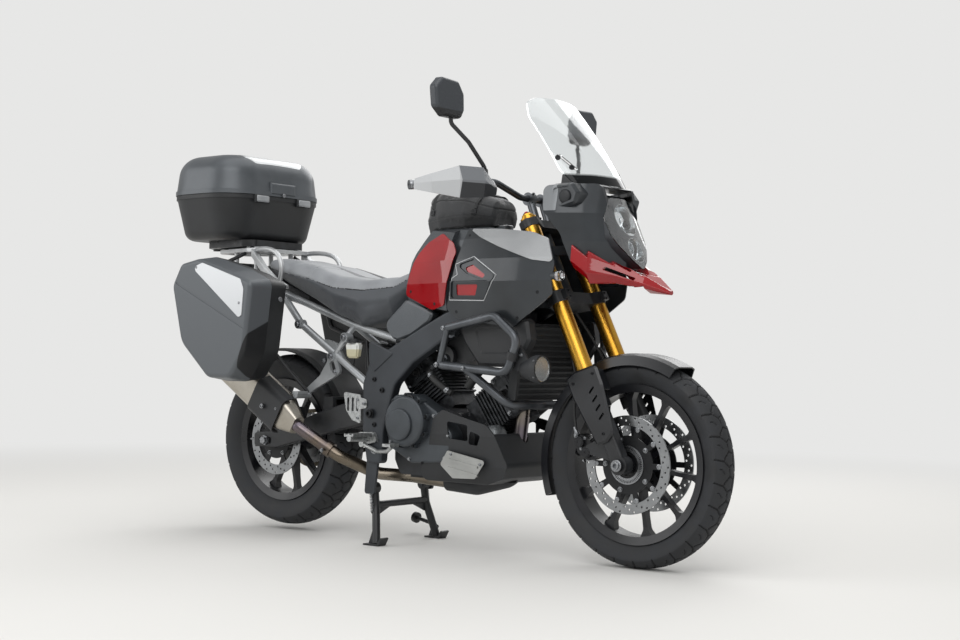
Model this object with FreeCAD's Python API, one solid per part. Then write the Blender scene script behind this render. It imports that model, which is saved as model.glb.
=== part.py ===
import FreeCAD, Part
import math
import os

# Adventure motorcycle on its centre stand, with side cases, top case and tank bag.
# Millimetres. +X is forward, +Y is the rider's left, +Z is up, and the floor is Z = 0.
# Lengths along X are first measured from the front axle, and the finished pieces are
# moved so that the origin lies on the floor under the middle of the whole machine.

V = FreeCAD.Vector
UP = V(0, 0, 1)
ACROSS = V(0, 1, 0)
AHEAD = V(1, 0, 0)

# Running gear
WHEELBASE = 1555.0
RAKE = 25.5
TRAIL = 109.0
FRONT_TYRE_R = 329.0
FRONT_TYRE_W = 110.0
FRONT_RIM_R = 241.0
REAR_TYRE_R = 321.0
REAR_TYRE_W = 150.0
REAR_RIM_R = 216.0
REAR_LIFT = 18.0
FRONT_DISC_R = 155.0
REAR_DISC_R = 130.0
DISC_T = 5.0
RUN_GAP = 0.05
SEAT_GAP = 0.3

# Fork and steering
FORK_Y = 107.0
FORK_TUBE_R = 27.0
STANCHION_R = 21.5
STEM_R = 15.0
AXLE_R = 10.0
LOWER_YOKE_S = 560.0
LOWER_YOKE_T = 40.0
TOP_YOKE_S = 836.0
TOP_YOKE_T = 28.0
FORK_TOP_S = 872.0
GOLD_LOW_S = 300.0

# Body widths, each from the centre plane
FRAME_IN_Y = 150.0
FRAME_OUT_Y = 186.0
CASE_IN_Y = 286.0
CASE_SEAM_Y = 370.0
CASE_OUT_Y = 462.0
CASE_WALL = 4.0

# Luggage
TOP_CASE_LEN = 400.0
TOP_CASE_W = 540.0
TOP_CASE_CORNER_R = 146.0
TOP_CASE_FRONT_X = -1635.0
TOP_CASE_FLOOR_Z = 1092.0
TOP_CASE_SEAM_Z = 1262.0
TOP_CASE_TOP_Z = 1416.0

# Stands
STAND_PIVOT = (-1012.0, 196.0)
STAND_FOOT_X = -972.0
STAND_HALF_W = 172.0

FRONT_AXLE = V(0, 0, FRONT_TYRE_R)
REAR_AXLE = V(-WHEELBASE, 0, REAR_TYRE_R + REAR_LIFT)
REAR_END_X = TOP_CASE_FRONT_X - TOP_CASE_LEN
ORIGIN_X = (FRONT_TYRE_R + REAR_END_X) / 2

# The steering axis lies behind the legs' line by this much.
rake = math.radians(RAKE)
STEM_N = -abs(TRAIL * math.cos(rake) - FRONT_TYRE_R * math.sin(rake))

NODES = {}


def node(name, *shapes):
    """Keeps the finished solids of one named piece."""
    solids = [s for shape in shapes for s in shape.Solids]
    NODES[name] = solids[0] if len(solids) == 1 else Part.makeCompound(solids)


def mirror(shape):
    return shape.mirror(V(0, 0, 0), ACROSS)


def pair(shape):
    return [shape, mirror(shape)]


def fuse(*shapes):
    whole = shapes[0]
    if len(shapes) > 1:
        whole = whole.fuse(list(shapes[1:]))
    return whole.removeSplitter()


def main_solid(shape):
    """The largest solid that a cut leaves."""
    return max(shape.Solids, key=lambda solid: solid.Volume)


def box(x0, x1, y0, y1, z0, z1):
    low = V(min(x0, x1), min(y0, y1), min(z0, z1))
    return Part.makeBox(abs(x1 - x0), abs(y1 - y0), abs(z1 - z0), low)


def rod(start, end, radius):
    start, end = V(*start), V(*end)
    return Part.makeCylinder(radius, (end - start).Length, start, end - start)


def along(a, b, t):
    return tuple(p + (q - p) * t for p, q in zip(a, b))


def corner(before, at, after, radius):
    """The start, middle and end of the arc that rounds a corner, or None where it is straight."""
    into, out = (before - at), (after - at)
    angle = into.getAngle(out)
    if radius < 0.01 or angle > math.pi - 0.002:
        return None
    reach = min(radius / math.tan(angle / 2), 0.48 * into.Length, 0.48 * out.Length)
    radius = reach * math.tan(angle / 2)
    into.normalize()
    out.normalize()
    bisector = (into + out).normalize()
    middle = at + bisector * (radius / math.sin(angle / 2) - radius)
    return at + into * reach, middle, at + out * reach


def outline(points, radii):
    """A closed wire of straight runs with rounded corners. radii is one number or one for each point."""
    points = [V(*p) for p in points]
    count = len(points)
    if not isinstance(radii, (list, tuple)):
        radii = [radii] * count
    edges, last, first = [], None, None
    for i in range(count):
        arc = corner(points[i - 1], points[i], points[(i + 1) % count], radii[i])
        begin, finish = (points[i], points[i]) if arc is None else (arc[0], arc[2])
        if last is not None and (begin - last).Length > 1e-4:
            edges.append(Part.LineSegment(last, begin).toShape())
        if arc is not None:
            edges.append(Part.Arc(arc[0], arc[1], arc[2]).toShape())
        first = begin if first is None else first
        last = finish
    if (last - first).Length > 1e-4:
        edges.append(Part.LineSegment(last, first).toShape())
    return Part.Wire(edges)


def prism(points, radii, y0, y1):
    """A side outline in X and Z, as thick as y0 to y1."""
    wire = outline([(x, y0, z) for x, z in points], radii)
    return Part.Face(wire).extrude(V(0, y1 - y0, 0))


def plan_prism(points, radii, z0, z1):
    """An outline in X and Y, as high as z0 to z1."""
    wire = outline([(x, y, z0) for x, y in points], radii)
    return Part.Face(wire).extrude(V(0, 0, z1 - z0))


def front_prism(points, radii, x0, x1):
    """An outline in Y and Z, as long as x0 to x1."""
    wire = outline([(x0, y, z) for y, z in points], radii)
    return Part.Face(wire).extrude(V(x1 - x0, 0, 0))


def loft(wires, ruled=True):
    return Part.makeLoft(wires, True, ruled)


def slab(points, radii, slices):
    """A panel lofted across the machine through (y, inset) slices of one side outline."""
    wires = []
    for y, inset in slices:
        face = Part.Face(outline([(x, y, z) for x, z in points], radii))
        wire = face.OuterWire
        if inset > 0:
            wire = wire.makeOffset2D(-inset, 0, False, False, True)
        wires.append(wire)
    return loft(wires)


def soften(shape, radius, axis, at):
    """Rounds the edges that lie in the plane where that axis reads at, such as a cover's rim."""
    rim = []
    for edge in shape.Edges:
        marks = [vertex.Point for vertex in edge.Vertexes] + [edge.CenterOfMass]
        if all(abs(getattr(mark, axis) - at) < 0.01 for mark in marks):
            rim.append(edge)
    return shape.makeFillet(radius, rim)


def tube(points, radius, bend):
    """A round bar along straight runs joined by bends of one radius, or of one for each inner point."""
    points = [V(*p) for p in points]
    bends = bend if isinstance(bend, list) else [bend] * (len(points) - 2)
    pieces, last = [], points[0]
    for i in range(1, len(points)):
        arc = None
        if i < len(points) - 1:
            arc = corner(points[i - 1], points[i], points[i + 1], bends[i - 1])
        finish = points[i] if arc is None else arc[0]
        run = finish - last
        if run.Length > 0.01:
            pieces.append(Part.makeCylinder(radius, run.Length, last, run))
        last = finish
        if arc is not None:
            into, out = points[i] - arc[0], arc[2] - points[i]
            turn = into.getAngle(out)
            axis = into.cross(out).normalize()
            reach = into.Length / math.tan(turn / 2)
            centre = arc[0] + axis.cross(into).normalize() * reach
            ring = Part.Face(Part.Wire(Part.Circle(arc[0], into, radius).toShape()))
            pieces.append(ring.revolve(centre, axis, math.degrees(turn)))
            last = arc[2]
    return pieces[0].fuse(pieces[1:]) if len(pieces) > 1 else pieces[0]


def turned(profile, centre, radii=0.0):
    """A ring turned about the Y axis through centre, from its (radius, y) outline."""
    wire = outline([(centre.x + r, centre.y + y, centre.z) for r, y in profile], radii)
    return Part.Face(wire).revolve(centre, ACROSS, 360)


def turned_part(profile, centre, start, sweep, radii=0.0):
    """As turned, but only from the angle start, in degrees above +X, on through sweep."""
    wire = outline([(centre.x + r, centre.y + y, centre.z) for r, y in profile], radii)
    face = Part.Face(wire)
    face.rotate(centre, ACROSS, -start)
    return face.revolve(centre, ACROSS, -sweep)


def ring(centre, inner_r, outer_r, y0, y1):
    return turned([(inner_r, y0), (outer_r, y0), (outer_r, y1), (inner_r, y1)], centre)


def wheel_disc(centre, radius, y0, y1):
    return Part.makeCylinder(radius, abs(y1 - y0), V(centre.x, min(y0, y1), centre.z), ACROSS)


def round_wheel(shape, centre, degrees):
    """Turns a shape drawn along +X from the origin about a wheel's axle, and moves it there."""
    shape = shape.copy()
    shape.rotate(V(0, 0, 0), ACROSS, degrees)
    shape.translate(V(centre.x, 0, centre.z))
    return shape


def on_fork(shape):
    """Moves a shape drawn upright at the origin onto the fork: X to its front, Z up its legs."""
    shape = shape.copy()
    shape.rotate(V(0, 0, 0), ACROSS, -RAKE)
    shape.translate(FRONT_AXLE)
    return shape


def fork_point(n, y, s):
    """A point given ahead of the legs' line, across, and up the legs from the axle."""
    return (
        FRONT_AXLE.x + n * math.cos(rake) - s * math.sin(rake),
        y,
        FRONT_AXLE.z + n * math.sin(rake) + s * math.cos(rake),
    )


def body(rows, radii):
    """A body lofted along X through sections that are the same on both sides.

    Each row is x, then the half outline's (y, z) corners from the bottom to the top.
    """
    wires = []
    for x, *half in rows:
        loop = [(x, y, z) for y, z in half] + [(x, -y, z) for y, z in reversed(half)]
        wires.append(outline(loop, radii))
    return loft(wires)


def level_body(stations, rows, radius, grow=0.0):
    """A body lofted upwards through level sections that are the same on both sides.

    Each row is z, then the half widths at the stations along X, all widened by grow.
    """
    wires = []
    inner = [radius] * (len(stations) - 2)
    for z, *halves in rows:
        left = [(x, y + grow, z) for x, y in zip(stations, halves)]
        right = [(x, -y, z) for x, y, z in reversed(left)]
        wires.append(outline(left + right, [0] + inner + [0, 0] + inner + [0]))
    return loft(wires)


# Front wheel: tyre, cast rim with its spokes, and two drilled brake discs
FRONT_HUB_R = 34.0
FRONT_HUB_HALF = 62.0
FRONT_DISC_Y = 70.0
SPOKES = 10


TYRE_SIDES = 80
BEAD_FIT = 0.5


def faceted_ring(profile, centre, sides):
    """A ring of flat facets about the Y axis, from its closed (radius, y) outline."""
    loops = []
    for i in range(sides):
        turn = 2 * math.pi * i / sides
        across, up = math.cos(turn), math.sin(turn)
        loops.append([V(centre.x + r * across, centre.y + y, centre.z + r * up) for r, y in profile])
    facets = []
    for i in range(sides):
        near, far = loops[i], loops[(i + 1) % sides]
        for j in range(len(profile)):
            k = (j + 1) % len(profile)
            facets.append(Part.Face(Part.makePolygon([near[j], near[k], far[k], far[j], near[j]])))
    solid = Part.makeSolid(Part.makeShell(facets))
    if solid.Volume < 0:
        solid.reverse()
    return solid


def tyre(centre, radius, width, rim_radius, rim_half):
    """A hollow tyre, open at the rim, in few flats: the road tread is left to the finish."""
    half = width / 2
    wall = 9.0
    seat_y = rim_half - 7 - BEAD_FIT
    half_profile = [
        (rim_radius + BEAD_FIT, -seat_y),
        (rim_radius + 13, -rim_half + 3 + BEAD_FIT),
        (radius - 26, -half),
        (radius, -half * 0.42),
    ]
    inside = [(radius - wall - 16, -half * 0.7), (rim_radius + BEAD_FIT, -seat_y + wall)]
    outer = half_profile + [(r, -y) for r, y in reversed(half_profile)]
    return faceted_ring(outer + [(r, -y) for r, y in reversed(inside)] + inside, centre, TYRE_SIDES)


def spoke(hub_radius, inner_r):
    """One spoke along +X: slim at its middle, flared at the rim, and thinner there across."""
    face = [
        (hub_radius - 8, -13),
        (hub_radius + 40, -8),
        (inner_r - 60, -6.5),
        (inner_r - 22, -9),
        (inner_r + 2, -24),
        (inner_r + 2, 24),
        (inner_r - 22, 9),
        (inner_r - 60, 6.5),
        (hub_radius + 40, 8),
        (hub_radius - 8, 13),
    ]
    depth = [
        (hub_radius - 8, -21),
        (inner_r - 30, -12),
        (inner_r + 2, -15),
        (inner_r + 2, 15),
        (inner_r - 30, 12),
        (hub_radius - 8, 21),
    ]
    upright = prism(face, [0, 60, 60, 20, 0, 0, 20, 60, 60, 0], -30, 30)
    return upright.common(plan_prism(depth, 0, -40, 40))


def rim(centre, rim_radius, half_width, hub_radius, hub_half, bore):
    """A cast rim: barrel with two flanges, hub, and spokes by a loop."""
    edge = half_width + 3
    half_profile = [(rim_radius - 14, -half_width + 4), (rim_radius + 12, -edge)]
    half_profile.append((rim_radius + 12, -edge + 6))
    half_profile += [(rim_radius, -half_width + 7), (rim_radius - 6, -half_width + 14)]
    barrel = turned(half_profile + [(r, -y) for r, y in reversed(half_profile)], centre)
    hub = wheel_disc(centre, hub_radius, -hub_half, hub_half)
    arm = spoke(hub_radius, rim_radius - 12)
    spokes = [round_wheel(arm, centre, i * 360.0 / SPOKES + 9) for i in range(SPOKES)]
    whole = fuse(barrel, hub, *spokes)
    return whole.cut(wheel_disc(centre, bore, -hub_half - 1, hub_half + 1))


def brake_disc(centre, radius, band, y, carrier_r, hub_r, arms, holes):
    """A drilled brake ring on a spidered carrier that bolts to the hub."""
    y0, y1 = y - DISC_T / 2, y + DISC_T / 2
    band_ring = ring(centre, radius - band, radius, y0, y1)
    drills = []
    for i in range(holes):
        for reach, step in ((0.22, 0.0), (0.5, 0.34), (0.78, 0.68)):
            drill = rod((radius - band * reach, y0 - 1, 0), (radius - band * reach, y1 + 1, 0), 3.6)
            drills.append(round_wheel(drill, centre, (i + step) * 360.0 / holes))
    band_ring = band_ring.cut(Part.makeCompound(drills))
    carrier = ring(centre, hub_r, carrier_r, y0, y1)
    link = box(carrier_r - 2, radius - band + 2, y0, y1, -9, 9)
    links = [round_wheel(link, centre, i * 360.0 / arms) for i in range(arms)]
    return fuse(band_ring, carrier, *links)


FRONT_RIM_HALF = 38.0
REAR_RIM_HALF = 54.0
front_rim = rim(FRONT_AXLE, FRONT_RIM_R, FRONT_RIM_HALF, FRONT_HUB_R, FRONT_HUB_HALF, AXLE_R + RUN_GAP)
front_tyre = tyre(FRONT_AXLE, FRONT_TYRE_R, FRONT_TYRE_W, FRONT_RIM_R, FRONT_RIM_HALF)
front_disc = brake_disc(FRONT_AXLE, FRONT_DISC_R, 32.0, FRONT_DISC_Y, 92.0, FRONT_HUB_R, 10, 18)
disc_boss = ring(FRONT_AXLE, FRONT_HUB_R, 62, FRONT_HUB_HALF - 8, FRONT_DISC_Y - DISC_T / 2)
front_disc = fuse(front_disc, disc_boss)
node("front_rim", front_rim)
node("front_tyre", front_tyre)
node("front_discs", *pair(front_disc.cut(front_rim)))

# Rear wheel: tyre, rim, disc on the right and sprocket on the left
REAR_HUB_R = 42.0
REAR_HUB_HALF = 78.0
REAR_DISC_Y = 88.0
REAR_BORE_R = 30.0
CHAIN_Y = 97.0
REAR_SPROCKET_R = 103.6
FRONT_SPROCKET_R = 43.0

rear_rim = rim(REAR_AXLE, REAR_RIM_R, REAR_RIM_HALF, REAR_HUB_R, REAR_HUB_HALF, AXLE_R + RUN_GAP)
node("rear_rim", rear_rim)
node("rear_tyre", tyre(REAR_AXLE, REAR_TYRE_R, REAR_TYRE_W, REAR_RIM_R, REAR_RIM_HALF))
rear_disc = brake_disc(REAR_AXLE, REAR_DISC_R, 36.0, REAR_DISC_Y, 70.0, REAR_BORE_R, 6, 16)
rear_boss = ring(REAR_AXLE, REAR_BORE_R, 60.0, REAR_HUB_HALF, REAR_DISC_Y - DISC_T / 2)
node("rear_disc", mirror(fuse(rear_disc, rear_boss)))

# The sprocket's teeth end just inside the chain's rollers.
SPROCKET_T = 7.0
TEETH = 41
ROLLER_R = 5.1
TOOTH_DEPTH = 5.0
tooth_tip = REAR_SPROCKET_R - ROLLER_R - 1.0
sprocket_points = []
for i in range(TEETH):
    for share, depth in ((0.0, TOOTH_DEPTH), (0.3, TOOTH_DEPTH), (0.45, 0.0), (0.85, 0.0)):
        turn = 2 * math.pi * (i + share) / TEETH
        reach = tooth_tip - depth
        across, up = reach * math.cos(turn), reach * math.sin(turn)
        sprocket_points.append(V(REAR_AXLE.x + across, CHAIN_Y - SPROCKET_T / 2, REAR_AXLE.z + up))
sprocket_points.append(sprocket_points[0])
sprocket = Part.Face(Part.makePolygon(sprocket_points)).extrude(V(0, SPROCKET_T, 0))
lightening = [round_wheel(rod((84, 90, 0), (84, 104, 0), 7), REAR_AXLE, i * 45.0) for i in range(8)]
carrier = wheel_disc(REAR_AXLE, 72.0, REAR_HUB_HALF, CHAIN_Y + SPROCKET_T / 2)
sprocket = fuse(sprocket.cut(Part.makeCompound(lightening)), carrier)
node("rear_sprocket", sprocket.cut(wheel_disc(REAR_AXLE, REAR_BORE_R, 60, 120)))

# Fork: yokes with the stem, outer tubes, lower castings and calipers
YOKE_HALF = (  # ahead of the legs' line, across, corner radius
    (34, FORK_Y, 12),
    (8, FORK_Y + 36, 20),
    (-30, FORK_Y + 20, 16),
    (STEM_N - 26, 36, 18),
)


def yoke(s, thick):
    """A clamp plate across both legs, bored for them."""
    left = [(n, y) for n, y, r in YOKE_HALF]
    right = [(n, -y) for n, y in reversed(left)]
    rounds = [r for n, y, r in YOKE_HALF]
    front = [(14, -60), (14, 60)]
    flat = plan_prism(left + right + front, rounds + rounds[::-1] + [30, 30], s, s + thick)
    for y in (-FORK_Y, FORK_Y):
        flat = flat.cut(Part.makeCylinder(FORK_TUBE_R, thick, V(0, y, s), UP))
    return flat


stem = Part.makeCylinder(STEM_R, TOP_YOKE_S - LOWER_YOKE_S, V(STEM_N, 0, LOWER_YOKE_S), UP)
stem_nut = Part.makeCylinder(18, 12, V(STEM_N, 0, TOP_YOKE_S + TOP_YOKE_T), UP)
pinch = box(24, 44, FORK_Y - 12, FORK_Y + 12, LOWER_YOKE_S + 5, LOWER_YOKE_S + LOWER_YOKE_T - 5)
yokes = fuse(yoke(LOWER_YOKE_S, LOWER_YOKE_T), yoke(TOP_YOKE_S, TOP_YOKE_T), stem, stem_nut)
pinch = pinch.cut(rod((0, FORK_Y, 500), (0, FORK_Y, 700), FORK_TUBE_R))
yokes = fuse(yokes, *pair(pinch))
node("fork_yokes", on_fork(yokes))

tube_long = Part.makeCylinder(FORK_TUBE_R, FORK_TOP_S - GOLD_LOW_S, V(0, FORK_Y, GOLD_LOW_S), UP)
tube_cap = Part.makeCylinder(20, 8, V(0, FORK_Y, FORK_TOP_S), UP)
tube_screw = Part.makeCylinder(8, 6, V(0, FORK_Y, FORK_TOP_S + 8), UP)
node("fork_tubes", *pair(on_fork(fuse(tube_long, tube_cap, tube_screw))))

CASTING_IN_Y = 84.0
CASTING_OUT_Y = 130.0
CASTING_TOP_S = 240.0
LEG_ROWS = (  # s, back, front, outer y
    (0.0, -24.0, 24.0, CASTING_OUT_Y - 4),
    (110.0, -27.0, 25.0, CASTING_OUT_Y),
    (CASTING_TOP_S, -25.0, 24.0, CASTING_OUT_Y),
)


def fork_lower():
    """The left stanchion with the casting that holds the axle, and the caliper's bracket."""
    stanchion = Part.makeCylinder(STANCHION_R, GOLD_LOW_S - 60, V(0, FORK_Y, 60), UP)
    wires = []
    for s, back, front, outer in LEG_ROWS:
        loop = [(back, CASTING_IN_Y, s), (front, CASTING_IN_Y, s), (front, outer, s), (back, outer, s)]
        wires.append(outline(loop, 10))
    foot = Part.makeCylinder(30, CASTING_OUT_Y - 4 - CASTING_IN_Y, V(0, CASTING_IN_Y, 0), ACROSS)
    lug = prism([(-20, 20), (-96, 78), (-100, 106), (-20, 108)], 8, CASTING_IN_Y + 4, CASTING_IN_Y + 26)
    return fuse(stanchion, loft(wires), foot, lug)


lower = fork_lower()
axle = Part.makeCylinder(AXLE_R, 2 * CASTING_OUT_Y + 6, V(0, -CASTING_OUT_Y - 3, 0), ACROSS)
axle_head = Part.makeCylinder(17, 8, V(0, -CASTING_OUT_Y - 4, 0), ACROSS)
axle = fuse(axle, axle_head).cut(Part.makeCylinder(6, 14, V(0, -CASTING_OUT_Y - 6, 0), ACROSS))
spacer = Part.makeCylinder(16, CASTING_IN_Y - FRONT_HUB_HALF - 0.6, V(0, FRONT_HUB_HALF + 0.6, 0), ACROSS)
lowers = fuse(lower, mirror(lower), axle, spacer, mirror(spacer))
node("fork_lowers", on_fork(lowers))

# Calipers: a bridged block over the disc with two piston bosses on each face
CALIPER = [(-68, 58), (-112, 62), (-140, 100), (-140, 146), (-112, 156), (-82, 122)]
caliper = prism(CALIPER, 8, FRONT_DISC_Y - 22, FRONT_DISC_Y + 30)
pistons = []
for n, s in ((-104, 88), (-116, 128)):
    pistons.append(rod((n, FRONT_DISC_Y - 30, s), (n, FRONT_DISC_Y + 40, s), 17))
caliper = fuse(caliper, *pistons)
slot = ring(V(0, 0, 0), 40, FRONT_DISC_R + 4, FRONT_DISC_Y - 6, FRONT_DISC_Y + 6)
caliper = main_solid(caliper.cut(slot).cut(lower))
node("front_calipers", *pair(on_fork(caliper)))

# Front mudguard: an arched strip over the tyre, with the guards that shield both legs
FENDER_R = 346.0
FENDER_T = 4.0
FENDER_HALF = 64.0
FENDER_FROM = 62.0
FENDER_SWEEP = 138.0
SHIELD_Y = FORK_Y + FORK_TUBE_R + SEAT_GAP
SHIELD_T = 6.0
outer_side = [
    (FENDER_R - 34, FENDER_HALF + FENDER_T),
    (FENDER_R - 3, FENDER_HALF - 4),
    (FENDER_R + FENDER_T, FENDER_HALF - 24),
]
inner_side = [(FENDER_R, FENDER_HALF - 26), (FENDER_R - 6, FENDER_HALF - 8), (FENDER_R - 34, FENDER_HALF)]
half_arch = outer_side + [(r, -y) for r, y in reversed(outer_side)]
half_arch += [(r, -y) for r, y in reversed(inner_side)] + inner_side
fender = turned_part(half_arch, FRONT_AXLE, FENDER_FROM, FENDER_SWEEP)
tongue = box(-24, 20, FENDER_HALF, FENDER_HALF + FENDER_T, CASTING_TOP_S - 44, FENDER_R - 20)
tongue_boss = box(-20, 16, FENDER_HALF + FENDER_T, CASTING_IN_Y, CASTING_TOP_S - 44, CASTING_TOP_S)
SHIELD = [(-40, 84), (-62, 250), (-62, 322), (-20, 330), (44, 322), (62, 312), (60, 250), (34, 96), (0, 80)]
shield = slab(SHIELD, [8, 20, 12, 20, 20, 16, 20, 16, 12], ((SHIELD_Y, 0), (SHIELD_Y + SHIELD_T, 7)))
for s in (150, 180, 210, 240):
    louvre = prism([(4, s), (28, s + 12), (28, s + 20), (4, s + 8)], 3, SHIELD_Y - 1, SHIELD_Y + 20)
    shield = shield.cut(louvre)
web = box(FORK_TUBE_R + 4, FORK_TUBE_R + 10, FENDER_HALF, SHIELD_Y + 3, CASTING_TOP_S + 4, GOLD_LOW_S + 14)
guards = fuse(tongue, tongue_boss, shield, web)
front_fender = fuse(fender, on_fork(guards), on_fork(mirror(guards)))
node("front_fender", front_fender.cut(NODES["fork_lowers"]).cut(NODES["fork_tubes"]))

# Handlebar with its risers, controls, hand guards and mirrors
BAR_R = 11.0
GRIP_R = 16.5
BAR_MIDDLE = (-424.0, 0.0, 1188.0)
BAR_KINK = (-426.0, 84.0, 1190.0)
BAR_RISE = (-446.0, 196.0, 1232.0)
BAR_END = (-588.0, 432.0, 1208.0)

half_bar = tube([BAR_MIDDLE, BAR_KINK, BAR_RISE, BAR_END], BAR_R, 60)
bar_clamps = []
for y in (-34.0, 34.0):
    foot_at = fork_point(STEM_N + 22, y, TOP_YOKE_S + TOP_YOKE_T)
    bar_clamps.append(rod(foot_at, (BAR_MIDDLE[0], y, BAR_MIDDLE[2]), 14))
    bar_clamps.append(Part.makeCylinder(22, 26, V(BAR_MIDDLE[0], y - 13, BAR_MIDDLE[2]), ACROSS))
handlebar = fuse(half_bar, mirror(half_bar), *bar_clamps).cut(on_fork(yokes))
node("handlebar", handlebar)

GRIP_START = 0.46
grip = rod(along(BAR_RISE, BAR_END, GRIP_START), along(BAR_RISE, BAR_END, 0.97), GRIP_R)
weight = rod(along(BAR_RISE, BAR_END, 0.97), along(BAR_RISE, BAR_END, 1.07), 15)
flange = rod(along(BAR_RISE, BAR_END, GRIP_START), along(BAR_RISE, BAR_END, GRIP_START + 0.02), 21)
switch = rod(along(BAR_RISE, BAR_END, 0.27), along(BAR_RISE, BAR_END, GRIP_START - 0.01), 22)
perch_at = along(BAR_RISE, BAR_END, 0.16)
perch = rod(along(BAR_RISE, BAR_END, 0.08), along(BAR_RISE, BAR_END, 0.23), 18)
LEVER = (  # ahead, outward and up from the perch
    (0, 0, 0),
    (46, 26, -4),
    (-10, 120, -10),
    (-66, 206, -18),
)
lever = tube([tuple(p + q for p, q in zip(perch_at, step)) for step in LEVER], 6, 16)
px, py, pz = perch_at
cup = soften(box(px - 22, px + 14, py, py + 36, pz + 12, pz + 40), 6, "z", pz + 40)
controls = fuse(grip, flange, weight, switch, perch, lever, cup).cut(half_bar)
node("hand_controls", *pair(controls))

HAND_GUARD = (  # x, y, low z, high z, bulge, turn
    (-570.0, 456.0, 1190.0, 1224.0, 1.0, 80),
    (-500.0, 450.0, 1176.0, 1238.0, 5.0, 58),
    (-424.0, 404.0, 1160.0, 1262.0, 10.0, 38),
    (-392.0, 322.0, 1166.0, 1262.0, 10.0, 14),
    (-396.0, 252.0, 1180.0, 1214.0, 3.0, -6),
)
HAND_GUARD_T = 6.0


def guard_section(x, y, low, high, bulge, turn):
    """An upright strip of the hand guard, with a crease, standing across the line that it follows."""
    c, s = math.cos(math.radians(turn)), math.sin(math.radians(turn))
    crease = low + (high - low) * 0.55
    loop = [(-HAND_GUARD_T, low), (0, low), (bulge, crease), (-4, high), (-4 - HAND_GUARD_T, high)]
    loop.append((bulge - HAND_GUARD_T - 2, crease))
    return outline([(x + a * c, y + a * s, z) for a, z in loop], 0)


hand_guard = loft([guard_section(*row) for row in HAND_GUARD])
tip = along(BAR_RISE, BAR_END, 1.0)
guard_arm = rod(tip, (tip[0] - 2, 452, tip[2]), 9)
guard_root = rod(along(BAR_RISE, BAR_END, 0.04), (-398, 258, 1200), 8)
hand_guard = main_solid(fuse(hand_guard, guard_arm, guard_root).cut(fuse(half_bar, controls)))
node("hand_guards", *pair(hand_guard))

MIRROR_X = -484.0
MIRROR_T = 30.0
MIRROR = [(324, 1424), (406, 1424), (444, 1452), (452, 1516)]
MIRROR += [(420, 1548), (338, 1544), (310, 1506), (308, 1452)]
STALK = ((-438, 262, 1272), (-466, 312, 1350), (-504, 356, 1408), (-502, 360, 1452))
stalk_foot = (perch_at[0], perch_at[1] - 14, perch_at[2] + 6)
stalk = tube((stalk_foot,) + STALK, 7, 26)
stalk_nut = rod(along(stalk_foot, STALK[0], 0.1), along(stalk_foot, STALK[0], 0.75), 11)
mirror_head = front_prism(MIRROR, 16, MIRROR_X - MIRROR_T, MIRROR_X)
mirror_head = soften(mirror_head, 12, "x", MIRROR_X)
MIRROR_MID = (380.0, 1486.0)
GLASS_SHARE = 0.9
glass_edge = [tuple(m + (v - m) * GLASS_SHARE for m, v in zip(MIRROR_MID, point)) for point in MIRROR]
glass_room = front_prism(glass_edge, 12, MIRROR_X - MIRROR_T - 1, MIRROR_X - MIRROR_T + 3)
mirrors = fuse(stalk, stalk_nut, mirror_head).cut(glass_room).cut(fuse(controls, half_bar))
node("mirrors", *pair(main_solid(mirrors)))

# Brake hoses: one from each caliper up behind its leg to the lower clamp
HOSE_R = 4.5
HOSE = (  # ahead of the legs' line, across, up the legs
    (-119, 98, 158),
    (-104, 99, 214),
    (-74, 100, 270),
    (-48, 96, 330),
    (-41, 86, 394),
    (-42, 70, 458),
    (-44, 50, 516),
    (-46, 34, LOWER_YOKE_S),
)
hose_points = [V(*p) for p in HOSE]
hose_bends = []
for before, at, after in zip(hose_points, hose_points[1:], hose_points[2:]):
    turn = (at - before).getAngle(after - at)
    hose_bends.append(0.45 * min((at - before).Length, (after - at).Length) / math.tan(turn / 2))
print("hose bend radii", [round(bend) for bend in hose_bends])
hose = on_fork(tube(HOSE, HOSE_R, hose_bends))
hose = main_solid(hose.cut(NODES["front_calipers"]).cut(NODES["fork_yokes"]))
node("brake_hoses", *pair(hose))

# Main frame: two side beams, pivot plates, steering head, engine bosses and the stands' brackets
SPAR = [
    (-455, 905),
    (-650, 812),
    (-735, 772),
    (-880, 700),
    (-1000, 640),
    (-1030, 560),
    (-1028, 400),
    (-1006, 286),
    (-940, 286),
    (-930, 400),
    (-880, 560),
    (-800, 634),
    (-640, 728),
    (-470, 812),
]
SPAR_ROUND = [10, 60, 60, 60, 40, 40, 60, 16, 16, 90, 60, 60, 60, 10]
spar = prism(SPAR, SPAR_ROUND, FRAME_IN_Y, FRAME_OUT_Y)
spar = soften(spar, 9, "y", FRAME_OUT_Y)
HEAD_R = 32.0
STEM_CLEAR = 5.0
head_low, head_high = LOWER_YOKE_S + LOWER_YOKE_T + STEM_CLEAR, TOP_YOKE_S - STEM_CLEAR
head = on_fork(Part.makeCylinder(HEAD_R, head_high - head_low, V(STEM_N, 0, head_low), UP))
head_bore = on_fork(Part.makeCylinder(STEM_R + RUN_GAP, 400, V(STEM_N, 0, LOWER_YOKE_S - 20), UP))
spar_end = [(-462, FRAME_IN_Y, 822), (-462, FRAME_OUT_Y, 822)]
spar_end += [(-462, FRAME_OUT_Y, 898), (-462, FRAME_IN_Y, 898)]
head_end = [(-372, 4, 908), (-362, 34, 908), (-396, 34, 1010), (-406, 4, 1010)]
arm = loft([outline(spar_end, 6), outline(head_end, 6)])
tie = box(-480, -448, -FRAME_IN_Y, FRAME_IN_Y, 830, 860)
rear_tie = box(-1016, -985, -FRAME_IN_Y, FRAME_IN_Y, 570, 610)
PIVOT = (-985.0, 458.0)
PIVOT_TUBE_R = 18.0
PIVOT_BOLT_R = 12.0
ENGINE_BOLTS = ((-968, 330), (-935, 540))
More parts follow.
